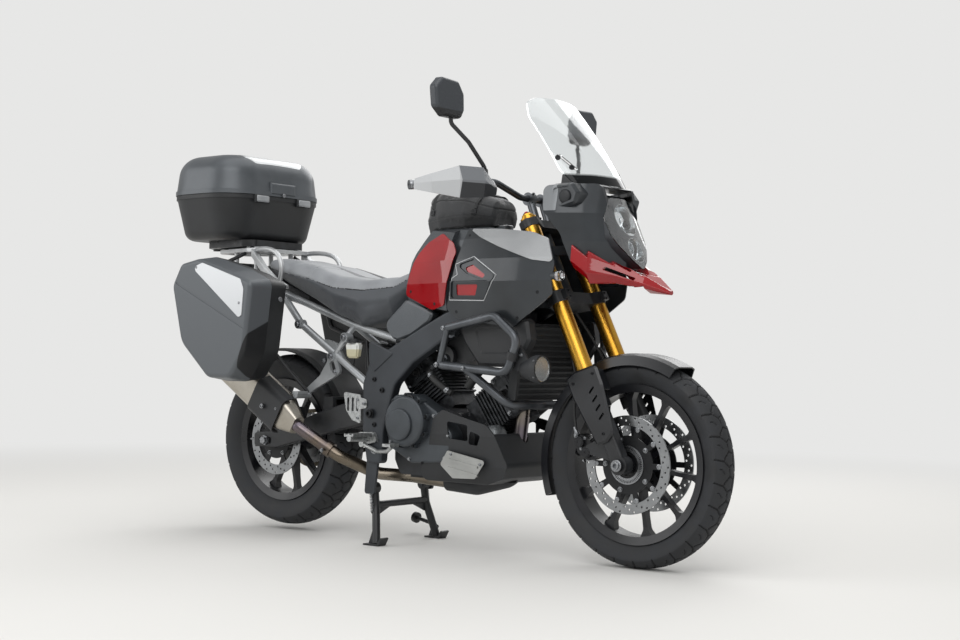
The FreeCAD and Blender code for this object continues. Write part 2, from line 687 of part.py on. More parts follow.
bosses = [rod((x, FRAME_IN_Y, z), (x, 126, z), 16) for x, z in ENGINE_BOLTS]
hanger = prism([(-560, 770), (-520, 790), (-470, 640), (-500, 630)], 10, 92, FRAME_IN_Y + 12)
PIVOT_COVER = [(-1000, 712), (-880, 668), (-972, 600), (-1000, 640)]
pivot_cover = slab(PIVOT_COVER, 8, ((FRAME_OUT_Y - 1, 0), (FRAME_OUT_Y + 4, 4)))

# The centre stand's lugs carry its pivot pins inboard, and the side stand's lug stands on the left.
PX, PZ = STAND_PIVOT
PIN_R = 8.0
STAND_LUG = [(PX - 22, PZ - 20), (PX + 22, PZ - 20), (PX + 40, 300), (PX + 10, 330), (PX - 10, 330)]
stand_lug = fuse(prism(STAND_LUG, 10, 151, 161), rod((PX, 116, PZ), (PX, 161, PZ), PIN_R))
SX, SY, SZ = -905.0, 208.0, 300.0
SIDE_LUG = [(-1000, 330), (-960, 350), (SX + 10, SZ + 18)]
SIDE_LUG += [(SX + 18, SZ - 10), (SX - 10, SZ - 18), (-1000, 296)]
side_lug = fuse(
    prism(SIDE_LUG, 8, FRAME_OUT_Y - 10, FRAME_OUT_Y + 10),
    rod((SX, FRAME_OUT_Y, SZ), (SX, SY + 14, SZ), PIN_R),
    rod((SX, SY + 11.4, SZ), (SX, SY + 16, SZ), 13),
)

# The stay that holds up the nose and the instruments, ahead of the steering head
stay = fuse(box(-372, -180, -13, 13, 1000, 1030), box(-194, -174, -40, 40, 1000, 1196))
stay = fuse(stay, box(-194, -174, -150, 150, 1172, 1196))

frame_half = fuse(spar, arm, *bosses, hanger, pivot_cover, stand_lug)
frame = fuse(frame_half, mirror(frame_half), head, tie, rear_tie, side_lug, stay)
bolt_hole = rod((PIVOT[0], -200, PIVOT[1]), (PIVOT[0], 200, PIVOT[1]), PIVOT_BOLT_R)
frame = frame.cut(head_bore).cut(bolt_hole)

# Swingarm with the rear axle and brake caliper
ARM_IN_Y = 116.0
ARM_OUT_Y = 146.0
AX, AZ = REAR_AXLE.x, REAR_AXLE.z
ARM_SIDE = [
    (-952, 500),
    (-952, 440),
    (-1190, 388),
    (AX + 60, AZ - 24),
    (AX - 60, AZ - 26),
    (AX - 62, AZ + 26),
    (AX + 60, AZ + 38),
    (-1300, 446),
    (-1100, 504),
]
arm_side = prism(ARM_SIDE, [20, 20, 60, 40, 12, 12, 40, 60, 60], ARM_IN_Y, ARM_OUT_Y)
arm_side = soften(arm_side, 6, "y", ARM_OUT_Y)
slot_loop = [(AX - 34, AZ - 12), (AX + 34, AZ - 12), (AX + 34, AZ + 12), (AX - 34, AZ + 12)]
block_loop = [(AX - 22, AZ - 11), (AX + 22, AZ - 11), (AX + 22, AZ + 11), (AX - 22, AZ + 11)]
adjuster_slot = prism(slot_loop, 11, ARM_OUT_Y - 4, ARM_OUT_Y + 2)
adjuster = prism(block_loop, 4, ARM_OUT_Y - 5, ARM_OUT_Y + 4)
arm_side = fuse(arm_side.cut(adjuster_slot), adjuster)
arm_tie = box(-1180, -1085, -ARM_IN_Y, ARM_IN_Y, 396, 460)
pivot_tube = rod((PIVOT[0], -ARM_IN_Y, PIVOT[1]), (PIVOT[0], ARM_IN_Y, PIVOT[1]), PIVOT_TUBE_R)
pivot_end = FRAME_OUT_Y + 6
pivot_bolt = rod((PIVOT[0], -pivot_end, PIVOT[1]), (PIVOT[0], pivot_end, PIVOT[1]), PIVOT_BOLT_R)
rear_spindle = rod((AX, -ARM_OUT_Y - 16, AZ), (AX, ARM_OUT_Y + 16, AZ), AXLE_R)
rear_spacer = rod((AX, -ARM_IN_Y, AZ), (AX, -REAR_HUB_HALF - 0.6, AZ), 18)
CALIPER_REAR = [
    (AX + 30, AZ - 20),
    (AX + 96, AZ + 58),
    (AX + 150, AZ + 66),
    (AX + 130, AZ + 128),
    (AX + 76, AZ + 120),
    (AX - 10, AZ + 30),
]
caliper_rear = prism(CALIPER_REAR, 10, -ARM_IN_Y, -60)
caliper_rear = caliper_rear.cut(ring(REAR_AXLE, 24, REAR_DISC_R + 5, -REAR_DISC_Y - 6, -REAR_DISC_Y + 6))
caliper_rear = caliper_rear.cut(ring(REAR_AXLE, 5, 80, -REAR_DISC_Y + 4, -50))
caliper_rear = caliper_rear.cut(ring(REAR_AXLE, 150, 400, -76, -30))
swingarm = fuse(arm_side, mirror(arm_side), arm_tie, pivot_tube, pivot_bolt, rear_spindle)
swingarm = fuse(swingarm, rear_spacer, mirror(rear_spacer), caliper_rear)
swingarm = swingarm.cut(fuse(spar, mirror(spar)).cut(bolt_hole))
node("main_frame", frame)
node("swingarm", swingarm)

# Inner mudguard over the rear tyre, seated on the swingarm on both sides of the chain
HUGGER_R = 338.0
hugger_half = [(HUGGER_R - 4, 84), (HUGGER_R, 84), (HUGGER_R + 6, 60)]
hugger_arch = hugger_half + [(r, -y) for r, y in reversed(hugger_half)]
hugger_arch += [(HUGGER_R + 2, -60), (HUGGER_R + 2, 60)]
hugger = turned_part(hugger_arch, REAR_AXLE, 22, 80)
hugger_shelf = box(-1262, -1215, -ARM_OUT_Y + 6, ARM_OUT_Y - 6, 499, 508)
hugger_foot = box(-1262, -1215, ARM_IN_Y + 6, ARM_OUT_Y - 6, 440, 502)
hugger = fuse(hugger, hugger_shelf, hugger_foot, mirror(hugger_foot))
node("rear_hugger", hugger.cut(fuse(arm_side, mirror(arm_side))))

# Chain: one closed loop of side plates and rollers
FRONT_SPROCKET = V(-905.0, CHAIN_Y, 452.0)


def chain_loop(grow):
    """The belt line round both sprockets, moved out by grow."""
    big, small = REAR_SPROCKET_R + grow, FRONT_SPROCKET_R + grow
    a, b = V(REAR_AXLE.x, 0, REAR_AXLE.z), V(FRONT_SPROCKET.x, 0, FRONT_SPROCKET.z)
    d = b - a
    base = math.atan2(d.z, d.x)
    lean = math.acos((big - small) / d.Length)

    def at(c, r, t):
        return V(c.x + r * math.cos(t), 0, c.z + r * math.sin(t))

    top_a, top_b = at(a, big, base + lean), at(b, small, base + lean)
    low_a, low_b = at(a, big, base - lean), at(b, small, base - lean)
    edges = [
        Part.LineSegment(top_a, top_b).toShape(),
        Part.Arc(top_b, at(b, small, base), low_b).toShape(),
        Part.LineSegment(low_b, low_a).toShape(),
        Part.Arc(low_a, at(a, big, base + math.pi), top_a).toShape(),
    ]
    return Part.Wire(edges)


PLATE_H = 7.0
ROW_T = 2.2
ROW_GAP = 5.0
chain_rows = []
row_face = Part.Face(chain_loop(PLATE_H)).cut(Part.Face(chain_loop(-PLATE_H)))
for y in (CHAIN_Y - ROW_GAP - ROW_T, CHAIN_Y + ROW_GAP):
    row = row_face.extrude(V(0, ROW_T, 0))
    row.translate(V(0, y, 0))
    chain_rows.append(row)
bridge = Part.Face(chain_loop(ROLLER_R)).cut(Part.Face(chain_loop(0.8))).extrude(V(0, 2 * ROW_GAP, 0))
bridge.translate(V(0, CHAIN_Y - ROW_GAP, 0))
node("drive_chain", fuse(chain_rows[0], chain_rows[1], bridge))

# Engine: crankcase, side covers, and two finned cylinders at 90 degrees
CRANK = V(-700.0, 0, 385.0)
FRONT_CYL_DEG = 35.0
V_ANGLE = 90.0
CASE_HALF = 125.0
CRANKCASE = [(-925, 300), (-900, 252), (-640, 248), (-575, 300)]
CRANKCASE += [(-570, 400), (-640, 470), (-800, 505), (-925, 480)]
crankcase = prism(CRANKCASE, [20, 20, 30, 20, 20, 20, 20, 20], -CASE_HALF, CASE_HALF)
SPROCKET_COVER = [(-960, 500), (-960, 420), (-900, 390), (-850, 420), (-850, 500), (-900, 520)]
sprocket_cover = soften(prism(SPROCKET_COVER, 20, CASE_HALF, 148), 5, "y", 148)
sump_ribs = [box(-880, -660, y - 2, y + 2, 240, 262) for y in (-90, -60, -30, 0, 30, 60, 90)]
oil_filter = rod((-575, -58, 372), (-500, -58, 356), 38)
filter_flats = rod((-500, -58, 356), (-494, -58, 354.7), 20)
OUTPUT = (FRONT_SPROCKET.x, FRONT_SPROCKET.z)
output_shaft = rod((OUTPUT[0], 70, OUTPUT[1]), (OUTPUT[0], CHAIN_Y + 14, OUTPUT[1]), 14)
output_sprocket = wheel_disc(FRONT_SPROCKET, FRONT_SPROCKET_R + 0.5, CHAIN_Y - 3.5, CHAIN_Y + 3.5)
output_nut = rod((OUTPUT[0], CHAIN_Y, OUTPUT[1]), (OUTPUT[0], CASE_HALF, OUTPUT[1]), 14)
chain_room = Part.Face(chain_loop(14)).extrude(V(0, 28, 0))
chain_room.translate(V(0, CHAIN_Y - 14, 0))
engine_case = fuse(crankcase, sprocket_cover, *sump_ribs, oil_filter, filter_flats).cut(chain_room)
engine_case = fuse(engine_case, output_shaft, output_sprocket, output_nut)
engine_case = engine_case.cut(frame).cut(swingarm)
node("engine_case", engine_case)

# Clutch cover on the right in three steps with its bolt bosses, generator cover on the left
CLUTCH = (-808.0, 438.0)
CLUTCH_OUT_Y = 219.0
HOUSING_OUT_Y = 186.0
DISC_STEP = 9.0
CLUTCH_HOUSING = [(-915, 470), (-905, 350), (-800, 296), (-640, 306)]
CLUTCH_HOUSING += [(-620, 400), (-690, 474), (-790, 530), (-880, 526)]
clutch_housing = prism(CLUTCH_HOUSING, 30, -HOUSING_OUT_Y, -CASE_HALF)
clutch_housing = soften(clutch_housing, 8, "y", -HOUSING_OUT_Y)
clutch_drum = rod((CLUTCH[0], -HOUSING_OUT_Y, CLUTCH[1]), (CLUTCH[0], -CLUTCH_OUT_Y, CLUTCH[1]), 86)
clutch_drum = soften(clutch_drum, 9, "y", -CLUTCH_OUT_Y)
disc_x, disc_z = CLUTCH[0] - 16, CLUTCH[1] - 12
clutch_disc = rod((disc_x, -CLUTCH_OUT_Y, disc_z), (disc_x, -CLUTCH_OUT_Y - DISC_STEP, disc_z), 54)
clutch_disc = soften(clutch_disc, 5, "y", -CLUTCH_OUT_Y - DISC_STEP)
BOSS_COUNT = 9
clutch_bosses = []
for i in range(BOSS_COUNT):
    turn = math.radians(i * 360.0 / BOSS_COUNT + 12)
    x, z = CLUTCH[0] + 88 * math.cos(turn), CLUTCH[1] + 88 * math.sin(turn)
    clutch_bosses.append(rod((x, -170, z), (x, -204, z), 9))
oil_cap = rod((-790, -HOUSING_OUT_Y, 512), (-790, -HOUSING_OUT_Y - 20, 512), 17)
cover_right = fuse(clutch_housing, clutch_drum, clutch_disc, *clutch_bosses, oil_cap)
GENERATOR = [(-780, 420), (-760, 330), (-640, 320), (-610, 400), (-660, 470), (-740, 475)]
cover_left = prism(GENERATOR, 30, CASE_HALF, 190)
cover_left = soften(cover_left, 12, "y", 190)
generator_cap = rod((-700, 190, 392), (-700, 196, 392), 30)
cover_left = fuse(cover_left, generator_cap)
node("engine_covers", cover_right.cut(frame).cut(engine_case), cover_left.cut(frame).cut(engine_case))


def cylinder(deg, y_shift):
    """A cylinder, its fins, head and cam cover, drawn upright and leaned forward by 90 - deg."""
    y0, y1 = y_shift - 66, y_shift + 66
    barrel = box(-66, 66, y0, y1, 90, 236)
    fins = [box(-74, 74, y0 - 8, y1 + 8, z, z + 5) for z in range(140, 232, 13)]
    head_block = plan_prism([(-78, y0 - 18), (78, y0 - 18), (78, y1 + 18), (-78, y1 + 18)], 14, 236, 296)
    cover = []
    for z, half_x, grow in ((296, 80, 16), (302, 80, 16), (330, 62, 8)):
        low, high = y0 - grow, y1 + grow
        loop = [(-half_x, low, z), (half_x, low, z), (half_x, high, z), (-half_x, high, z)]
        cover.append(outline(loop, 14))
    plug = box(-24, 24, y0 - 24, y0 - 17, 250, 286)
    port = rod((60, y_shift, 262), (98, y_shift, 262), 27)
    whole = fuse(barrel, *fins, head_block, loft(cover), plug, port)
    whole.rotate(V(0, 0, 0), ACROSS, 90 - deg)
    whole.translate(CRANK)
    return whole


engine_parts = [engine_case, frame, cover_right, cover_left]
front_cylinder = cylinder(FRONT_CYL_DEG, 8)
rear_cylinder = cylinder(FRONT_CYL_DEG + V_ANGLE, -8)
for part in engine_parts:
    front_cylinder = front_cylinder.cut(part)
    rear_cylinder = rear_cylinder.cut(part)
front_cylinder = main_solid(front_cylinder)
rear_cylinder = main_solid(rear_cylinder.cut(front_cylinder))
node("cylinders", front_cylinder, rear_cylinder)

# Air box under the tank, over both cylinders, with the throttle body's spigot on its right
AIRBOX = [(-790, 700), (-640, 626), (-560, 660), (-500, 760), (-500, 826), (-790, 826)]
airbox = prism(AIRBOX, 20, -118, 118)
throttle = rod((-690, -118, 660), (-690, -140, 660), 34)
airbox = fuse(airbox, throttle).cut(frame).cut(rear_cylinder).cut(front_cylinder)
node("airbox", main_solid(airbox))

# Exhaust: header from the front cylinder, round under the engine and up to the muffler
PIPE_R = 22.0
MUFFLER_Y = -228.0
HEADER = (
    (-470, -20, 560),
    (-438, -30, 490),
    (-448, -34, 400),
    (-466, -38, 262),
    (-620, -46, 222),
    (-900, -60, 240),
    (-1060, -66, 240),
    (-1150, -170, 300),
    (-1300, MUFFLER_Y, 400),
    (-1340, MUFFLER_Y, 425),
)
header = tube(HEADER, PIPE_R, 60)
clamp_at = [along(HEADER[7], HEADER[8], t) for t in (0.18, 0.3)]
pipe_clamp = rod(clamp_at[0], clamp_at[1], PIPE_R + 6)
exhaust = fuse(header, pipe_clamp)
for part in (engine_case, front_cylinder, frame, swingarm, cover_right):
    exhaust = exhaust.cut(part)
exhaust = main_solid(exhaust)
node("exhaust_pipes", exhaust)

MUFFLER_LEN = 350.0
NOSE_LEN = 90.0
MUFFLER_LEAN = 32.0
MUFFLER_END = [(-46, -62), (30, -70), (50, -30), (46, 56), (10, 74), (-50, 60)]
MUFFLER_ROUND = 24.0


def muffler_section(x, scale):
    """The canister's six-sided section at x, drawn level before it is leaned and moved."""
    return outline([(x, y * scale, z * scale) for y, z in MUFFLER_END], MUFFLER_ROUND * scale)


def on_muffler(shape):
    shape = shape.copy()
    shape.rotate(V(0, 0, 0), ACROSS, MUFFLER_LEAN)
    shape.translate(V(-1382, MUFFLER_Y, 452))
    return shape


can = loft([muffler_section(-MUFFLER_LEN, 1.0), muffler_section(0, 1.0)])
can_nose = loft([muffler_section(0, 1.0), muffler_section(NOSE_LEN, 0.5)])
bead = loft([muffler_section(-MUFFLER_LEN + 26, 1.06), muffler_section(-MUFFLER_LEN + 16, 1.06)])
muffler = on_muffler(fuse(can, can_nose, bead)).cut(exhaust)
node("muffler", muffler)
cap = loft([muffler_section(-MUFFLER_LEN - 34, 0.84), muffler_section(-MUFFLER_LEN, 0.98)])
outlet = rod((-MUFFLER_LEN - 40, 4, 8), (-MUFFLER_LEN - 6, 4, 8), 20)
cap = cap.cut(rod((-MUFFLER_LEN - 60, 4, 8), (-MUFFLER_LEN - 10, 4, 8), 26))
shield_outer = loft([muffler_section(-120, 1.10), muffler_section(30, 1.10)])
shield_inner = loft([muffler_section(-130, 1.04), muffler_section(40, 1.04)])
heat_shield = shield_outer.cut(shield_inner).common(box(-130, 40, -80, -8, -80, 80))
shield_boss = rod((-46, -62, -6), (-46, -46, -6), 9)
cap = fuse(cap, outlet.cut(rod((-MUFFLER_LEN - 60, 4, 8), (-MUFFLER_LEN - 16, 4, 8), 17)))
node("muffler_covers", on_muffler(cap), on_muffler(main_solid(fuse(heat_shield, shield_boss).cut(can))))

# Radiator: a framed core with slats across its front
RADIATOR = [(-404, 530), (-372, 518), (-346, 762), (-378, 774)]
RADIATOR_HALF = 168.0
SLATS = 13
radiator = prism(RADIATOR, 4, -RADIATOR_HALF, RADIATOR_HALF)
front_low, front_high = RADIATOR[1], RADIATOR[2]
slots = []
for i in range(SLATS):
    x, z = along(front_low, front_high, (i + 0.7) / (SLATS + 0.6))
    slots.append(box(x - 9, x + 12, -RADIATOR_HALF + 14, RADIATOR_HALF - 14, z - 5.5, z + 5.5))
radiator = radiator.cut(Part.makeCompound(slots)).cut(front_cylinder).cut(exhaust)
node("radiator", main_solid(radiator))

# Front body: tank, tank panels and cowls are cut from one skin that is lofted upwards
SKIN_X = (-900, -780, -650, -500, -340, -180)
SKIN = (  # z, then half widths at SKIN_X
    (740, 128, 148, 192, 212, 214, 184),
    (840, 150, 172, 206, 228, 232, 204),
    (905, 152, 178, 214, 238, 242, 216),
    (980, 148, 176, 205, 222, 224, 198),
    (1050, 122, 150, 180, 194, 192, 170),
    (1110, 92, 122, 146, 162, 160, 146),
)
SKIN_BEND = 400.0
TANK_PANEL_T = 4.0
COWL_T = 5.0
ROOF_HALF = [(-230, 700), (-230, 980), (-168, 1074), (-118, 1094)]
ROOF = ROOF_HALF + [(0, 1100)] + [(-y, z) for y, z in reversed(ROOF_HALF)]


SKINS_MADE = {}


def skin(grow):
    if grow not in SKINS_MADE:
        SKINS_MADE[grow] = level_body(SKIN_X, SKIN, SKIN_BEND, grow)
    return SKINS_MADE[grow]


def skin_panel(points, radii, outer, inner):
    """The left piece of skin inside a side outline, between two distances out from the skin."""
    core = skin(outer).common(prism(points, radii, 40, 300))
    return main_solid(core.cut(skin(inner)))


def swelled(points, grow):
    """A side outline's corners, moved out from their middle by about grow."""
    mid_x = sum(x for x, z in points) / len(points)
    mid_z = sum(z for x, z in points) / len(points)
    moved = []
    for x, z in points:
        reach = math.hypot(x - mid_x, z - mid_z)
        moved.append((x + (x - mid_x) * grow / reach, z + (z - mid_z) * grow / reach))
    return moved


TANK_REAR = [(-864, 890), (-838, 838), (-640, 812), (-640, 1110), (-760, 1096), (-820, 1010)]
TANK_FRONT = [(-650, 820), (-474, 834), (-474, 1062), (-520, 1092), (-650, 1110)]
tank_rear = skin(-TANK_PANEL_T - SEAT_GAP).common(prism(TANK_REAR, [20, 30, 0, 0, 40, 60], -300, 300))
tank_front = skin(-24).common(prism(TANK_FRONT, [0, 20, 30, 40, 0], -300, 300))
tank_roof = front_prism(ROOF, [0, 40, 60, 60, 200, 60, 60, 40, 0], -900, -400)
tank = fuse(tank_rear, tank_front).common(tank_roof)
filler = Part.makeCylinder(34, 12, V(-560, 0, 1092), UP)
tank = main_solid(fuse(tank, filler).cut(frame).cut(NODES["airbox"]))
node("fuel_tank", tank)

RED_PANEL = [
    (-698, 1076),
    (-628, 1040),
    (-603, 1006),
    (-622, 930),
    (-650, 830),
    (-718, 815),
    (-858, 868),
    (-842, 930),
    (-800, 1010),
    (-762, 1046),
]
red_panel = skin_panel(RED_PANEL, [16, 30, 20, 200, 14, 60, 16, 80, 60, 60], 0, -TANK_PANEL_T)

COWL = [
    (-574, 1088),
    (-300, 1064),
    (-236, 1040),
    (-196, 958),
    (-200, 860),
    (-296, 794),
    (-350, 756),
    (-588, 786),
    (-638, 816),
    (-606, 900),
    (-586, 1000),
]
COWL_ROUND = [12, 40, 30, 20, 24, 30, 24, 30, 20, 160, 160]
UPPER_VENT = [(-584, 962), (-512, 980), (-416, 924), (-436, 902), (-532, 932)]
LOWER_VENT = [(-602, 909), (-428, 908), (-464, 850), (-610, 854)]
UPPER_INSERT = [(-548, 952), (-512, 962), (-452, 926), (-462, 916), (-534, 938)]
LOWER_INSERT = [(-582, 898), (-482, 896), (-496, 860), (-584, 862)]
RECESS = 2.5
INSERT_LAP = 5.0
COWL_BOSSES = ((-545, 1030), (-600, 840))
cowl = skin_panel(COWL, COWL_ROUND, 0, -COWL_T)
bosses = [rod((x, 120, z), (x, 280, z), 8).common(skin(-2)) for x, z in COWL_BOSSES]
cowl = main_solid(fuse(cowl, *bosses).cut(tank).cut(frame))
inserts = []
for vent, window in ((UPPER_VENT, UPPER_INSERT), (LOWER_VENT, LOWER_INSERT)):
    cowl = cowl.cut(skin_panel(vent, 8, 6, -RECESS))
    cowl = cowl.cut(prism(window, 5, 100, 300))
    bead = skin_panel(swelled(vent, 7), 11, 2.0, -RECESS).cut(prism(vent, 8, 100, 300))
    cowl = fuse(cowl, main_solid(bead))
    backing = skin_panel(swelled(window, INSERT_LAP), 8, -COWL_T - SEAT_GAP, -COWL_T - SEAT_GAP - 3)
    inserts.append(main_solid(backing.cut(tank).cut(frame)))
cowl = main_solid(cowl)
node("side_cowls", *pair(cowl))
tank_side = main_solid(red_panel.cut(cowl).cut(frame))
node("tank_panels", *pair(tank_side), *pair(inserts[0]), *pair(inserts[1]))

SPEAR = [(-566, 1085), (-420, 1078), (-300, 1064), (-236, 1040)]
SPEAR += [(-197, 962), (-276, 972), (-420, 1020), (-506, 1054)]
SPEAR_T = 4.0
spear = skin_panel(SPEAR, [4, 200, 60, 24, 10, 30, 200, 60], SPEAR_T, SEAT_GAP)
node("spear_panels", *pair(main_solid(spear.cut(tank))))

# Shroud panels beside the radiator, inside the cowls' lower edges
SHROUD = [(-600, 782), (-300, 786), (-288, 716), (-340, 628), (-500, 628), (-560, 700)]
SHROUD_Y = RADIATOR_HALF
SHROUD_OUT_Y = 204.0
SHROUD_ROUND = [20, 20, 24, 24, 30, 20]
SHROUD_DISH = [(-520, 760), (-340, 760), (-330, 716), (-370, 668), (-490, 668)]
shroud_slices = ((SHROUD_Y, 0), (SHROUD_OUT_Y - 8, 2), (SHROUD_OUT_Y, 12))
shroud = slab(SHROUD, SHROUD_ROUND, shroud_slices)
shroud_dish = slab(SHROUD_DISH, 16, ((SHROUD_OUT_Y - 4, 8), (SHROUD_OUT_Y + 1, 0)))
shroud_room = slab(SHROUD, SHROUD_ROUND, ((SHROUD_Y - 1, 6), (SHROUD_OUT_Y - 12, 10)))
shroud_fixing = rod((-420, SHROUD_Y, 690), (-420, SHROUD_OUT_Y - 10, 690), 10)
shroud = fuse(shroud.cut(shroud_dish).cut(shroud_room), shroud_fixing)
shroud = main_solid(shroud.cut(frame).cut(cowl))
node("radiator_shrouds", *pair(shroud))

SIDE_PANEL = [(-942, 768), (-842, 852), (-716, 806), (-734, 776), (-812, 730), (-874, 712), (-902, 720)]
SIDE_PANEL_Y = 140.0
SIDE_PANEL_OUT_Y = 182.0
side_slices = ((SIDE_PANEL_Y, 0), (SIDE_PANEL_OUT_Y - 8, 0), (SIDE_PANEL_OUT_Y, 7))
side_panel = slab(SIDE_PANEL, [30, 16, 12, 12, 60, 16, 30], side_slices)
side_panel = main_solid(side_panel.cut(tank).cut(frame).cut(red_panel))
panel_peg = rod((-912, SIDE_PANEL_Y + 1, 748), (-912, 118, 748), 7)
side_panel = fuse(side_panel, panel_peg)
node("side_panels", *pair(side_panel))

# Nose: a hollow cowl round the headlamp, with raised ears beside the screen
NOSE_X = (-262, -200, -140, -96, -40)
NOSE = (  # z, then half widths at NOSE_X
    (946, 150, 146, 128, 96, 30),
    (1030, 186, 176, 148, 112, 44),
    (1120, 206, 192, 156, 112, 40),
    (1216, 184, 172, 132, 88, 20),
)
NOSE_T = 5.0
NOSE_SIDE = [(-258, 1210), (-248, 1130), (-196, 1056), (-176, 960)]
NOSE_SIDE += [(-100, 948), (-22, 940), (-24, 968), (-100, 1216)]
nose_outer = level_body(NOSE_X, NOSE, 120.0)
nose_inner = level_body(tuple(x - 7 for x in NOSE_X), NOSE, 120.0, -NOSE_T)
LENS = ((0, 943), (40, 972), (76, 1012), (94, 1046), (99, 1104), (80, 1160), (42, 1176))
LENS_LEAN = 0.42
LAMP_DEPTH = 74.0
LAMP_FIT = 1.004
LENS_T = 4.0
lens_loop = list(LENS) + [(-y, z) for y, z in reversed(LENS[1:])]
LENS_ROUND = [14, 40, 50, 40, 60, 26, 20, 20, 26, 60, 40, 50, 40]


def lamp_bow(back):
    """Everything behind the headlamp's bowed, leaning front face, set back along X."""
    wires = []
    for z, bow in ((900, 20.0), (1060, 34.0), (1220, 40.0)):
        middle = 6 - back - (z - 943) * LENS_LEAN
        side_x = middle - bow
        arc = Part.Arc(V(side_x, -130, z), V(middle, 0, z), V(side_x, 130, z)).toShape()
        far = -420.0
        run = Part.makePolygon([V(side_x, 130, z), V(far, 130, z), V(far, -130, z), V(side_x, -130, z)])
        wires.append(Part.Wire([arc] + run.Edges))
    return loft(wires)


def lamp_block(grow, front, back):
    """The headlamp's front outline, from one depth behind its face to another."""
    scaled = [(y * grow, 1062 + (z - 1062) * grow) for y, z in lens_loop]
    block = front_prism(scaled, LENS_ROUND, -300, 60)
    return main_solid(block.common(lamp_bow(front)).cut(lamp_bow(back)))


lens = lamp_block(1.0, 0, LENS_T)
bowl = lamp_block(1.0, LENS_T + 0.1, LAMP_DEPTH)
PROJECTORS = ((1006.0, 38.0), (1104.0, 50.0))  # height, radius
for z, radius in PROJECTORS:
    middle = -(z - 943) * LENS_LEAN
    pocket = rod((middle - 62, 0, z), (middle + 20, 0, z), radius)
    barrel = rod((middle - 64, 0, z), (middle - 30, 0, z), radius * 0.62)
    ball = Part.makeSphere(radius * 0.9, V(middle - 30 - radius * 0.62, 0, z))
    eye = ball.common(rod((middle - 40, 0, z), (middle, 0, z), radius * 0.62))
    bowl = fuse(bowl.cut(pocket), barrel, eye)
bowl = main_solid(bowl.common(lamp_bow(LENS_T + 0.1)))
nose_side = prism(NOSE_SIDE, [20, 60, 60, 20, 20, 10, 30, 20], -300, 300)
hood = nose_outer.common(box(-205, -40, -200, 200, 1208, 1216))
nose = fuse(nose_outer.cut(nose_inner), hood).common(nose_side)
nose = main_solid(nose.cut(lamp_block(LAMP_FIT, -60, LAMP_DEPTH + 60)))
EAR = [(-236, 1214), (-150, 1216), (-124, 1182), (-136, 1148), (-216, 1126)]
ear = slab(EAR, [16, 12, 12, 12, 30], ((120, 0), (172, 0), (184, 8)))
ear_recess = prism([(-222, 1200), (-162, 1204), (-142, 1180), (-150, 1160), (-210, 1142)], 8, 178, 190)
ear = main_solid(ear.cut(ear_recess).cut(nose_inner))
nose = main_solid(fuse(nose, ear, mirror(ear)).cut(frame))
node("nose_cowl", nose)

# Beak: horns on both sides that meet in a low tip under the headlamp
BEAK = (  # x, then the half outline's (y, z): keel, lower fold, side crease, top edge, valley
    (-160, (70, 934), (148, 944), (170, 968), (164, 1020), (104, 1000)),
    (-110, (50, 896), (134, 896), (154, 930), (144, 1002), (84, 962)),
    (-40, (30, 884), (92, 898), (112, 922), (84, 974), (40, 938)),
    (40, (14, 868), (50, 882), (62, 896), (46, 924), (18, 904)),
    (108, (4, 862), (10, 865), (13, 869), (9, 877), (4, 875)),
)
beak = body(BEAK, 5)
BEAK_T = 6.0
BEAK_SLOTS = ([(-84, 984), (-78, 993), (6, 941), (2, 932)], [(-70, 940), (-64, 950), (20, 914), (16, 905)])
beak_room = body([(x, *[(y * 0.92, z - BEAK_T) for y, z in half]) for x, *half in BEAK[:4]], 5)
beak = beak.cut(beak_room).cut(nose_outer).cut(lamp_block(LAMP_FIT, -60, LAMP_DEPTH + 60))
for slot in BEAK_SLOTS:
    opening = prism(slot, 3, 62, 200)
    beak = beak.cut(opening).cut(mirror(opening))
beak = main_solid(beak)
node("beak", beak)

# Windscreen: one bowed sheet, trimmed to its outline, with adjusting slots
SCREEN_T = 4.0
SCREEN_ROWS = (  # z, x at the middle, half width, depth of the bow
    (1214, -100, 190.0, 150.0),
    (1300, -156, 196.0, 124.0),
    (1410, -240, 196.0, 92.0),
    (1520, -336, 190.0, 72.0),
)
SCREEN_OUTLINE = [(146, 1214), (163, 1260), (173, 1440), (152, 1492), (108, 1512), (0, 1516)]
SCREEN_SLOT = [(150, 1306), (126, 1264)]


def screen_section(z, x, half, bow):
    """A level section of the sheet: two arcs a wall apart."""
    outer = [V(x - bow, -half, z), V(x, 0, z), V(x - bow, half, z)]
    back = x - SCREEN_T
    inner = [V(back - bow, half - 1, z), V(back, 0, z), V(back - bow, -half + 1, z)]
    edges = [
        Part.Arc(*outer).toShape(),
        Part.LineSegment(outer[2], inner[0]).toShape(),
        Part.Arc(*inner).toShape(),
        Part.LineSegment(inner[2], outer[0]).toShape(),
    ]
    return Part.Wire(edges)


screen = loft([screen_section(*row) for row in SCREEN_ROWS], False)
screen_loop = SCREEN_OUTLINE + [(-y, z) for y, z in reversed(SCREEN_OUTLINE[:-1])]
screen = screen.common(front_prism(screen_loop, [20, 60, 60, 40, 60, 400, 60, 40, 60, 60, 20], -500, 0))
for side in (1, -1):
    ends = [(side * y, z) for y, z in SCREEN_SLOT]
    for y, z in ends:
        screen = screen.cut(rod((-420, y, z), (0, y, z), 5))
    (y0, z0), (y1, z1) = ends
    strip = [(y0 - 4.5, z0), (y0 + 4.5, z0), (y1 + 4.5, z1), (y1 - 4.5, z1)]
    screen = screen.cut(front_prism(strip, 0, -420, 0))
node("windscreen", main_solid(main_solid(screen).cut(nose)))

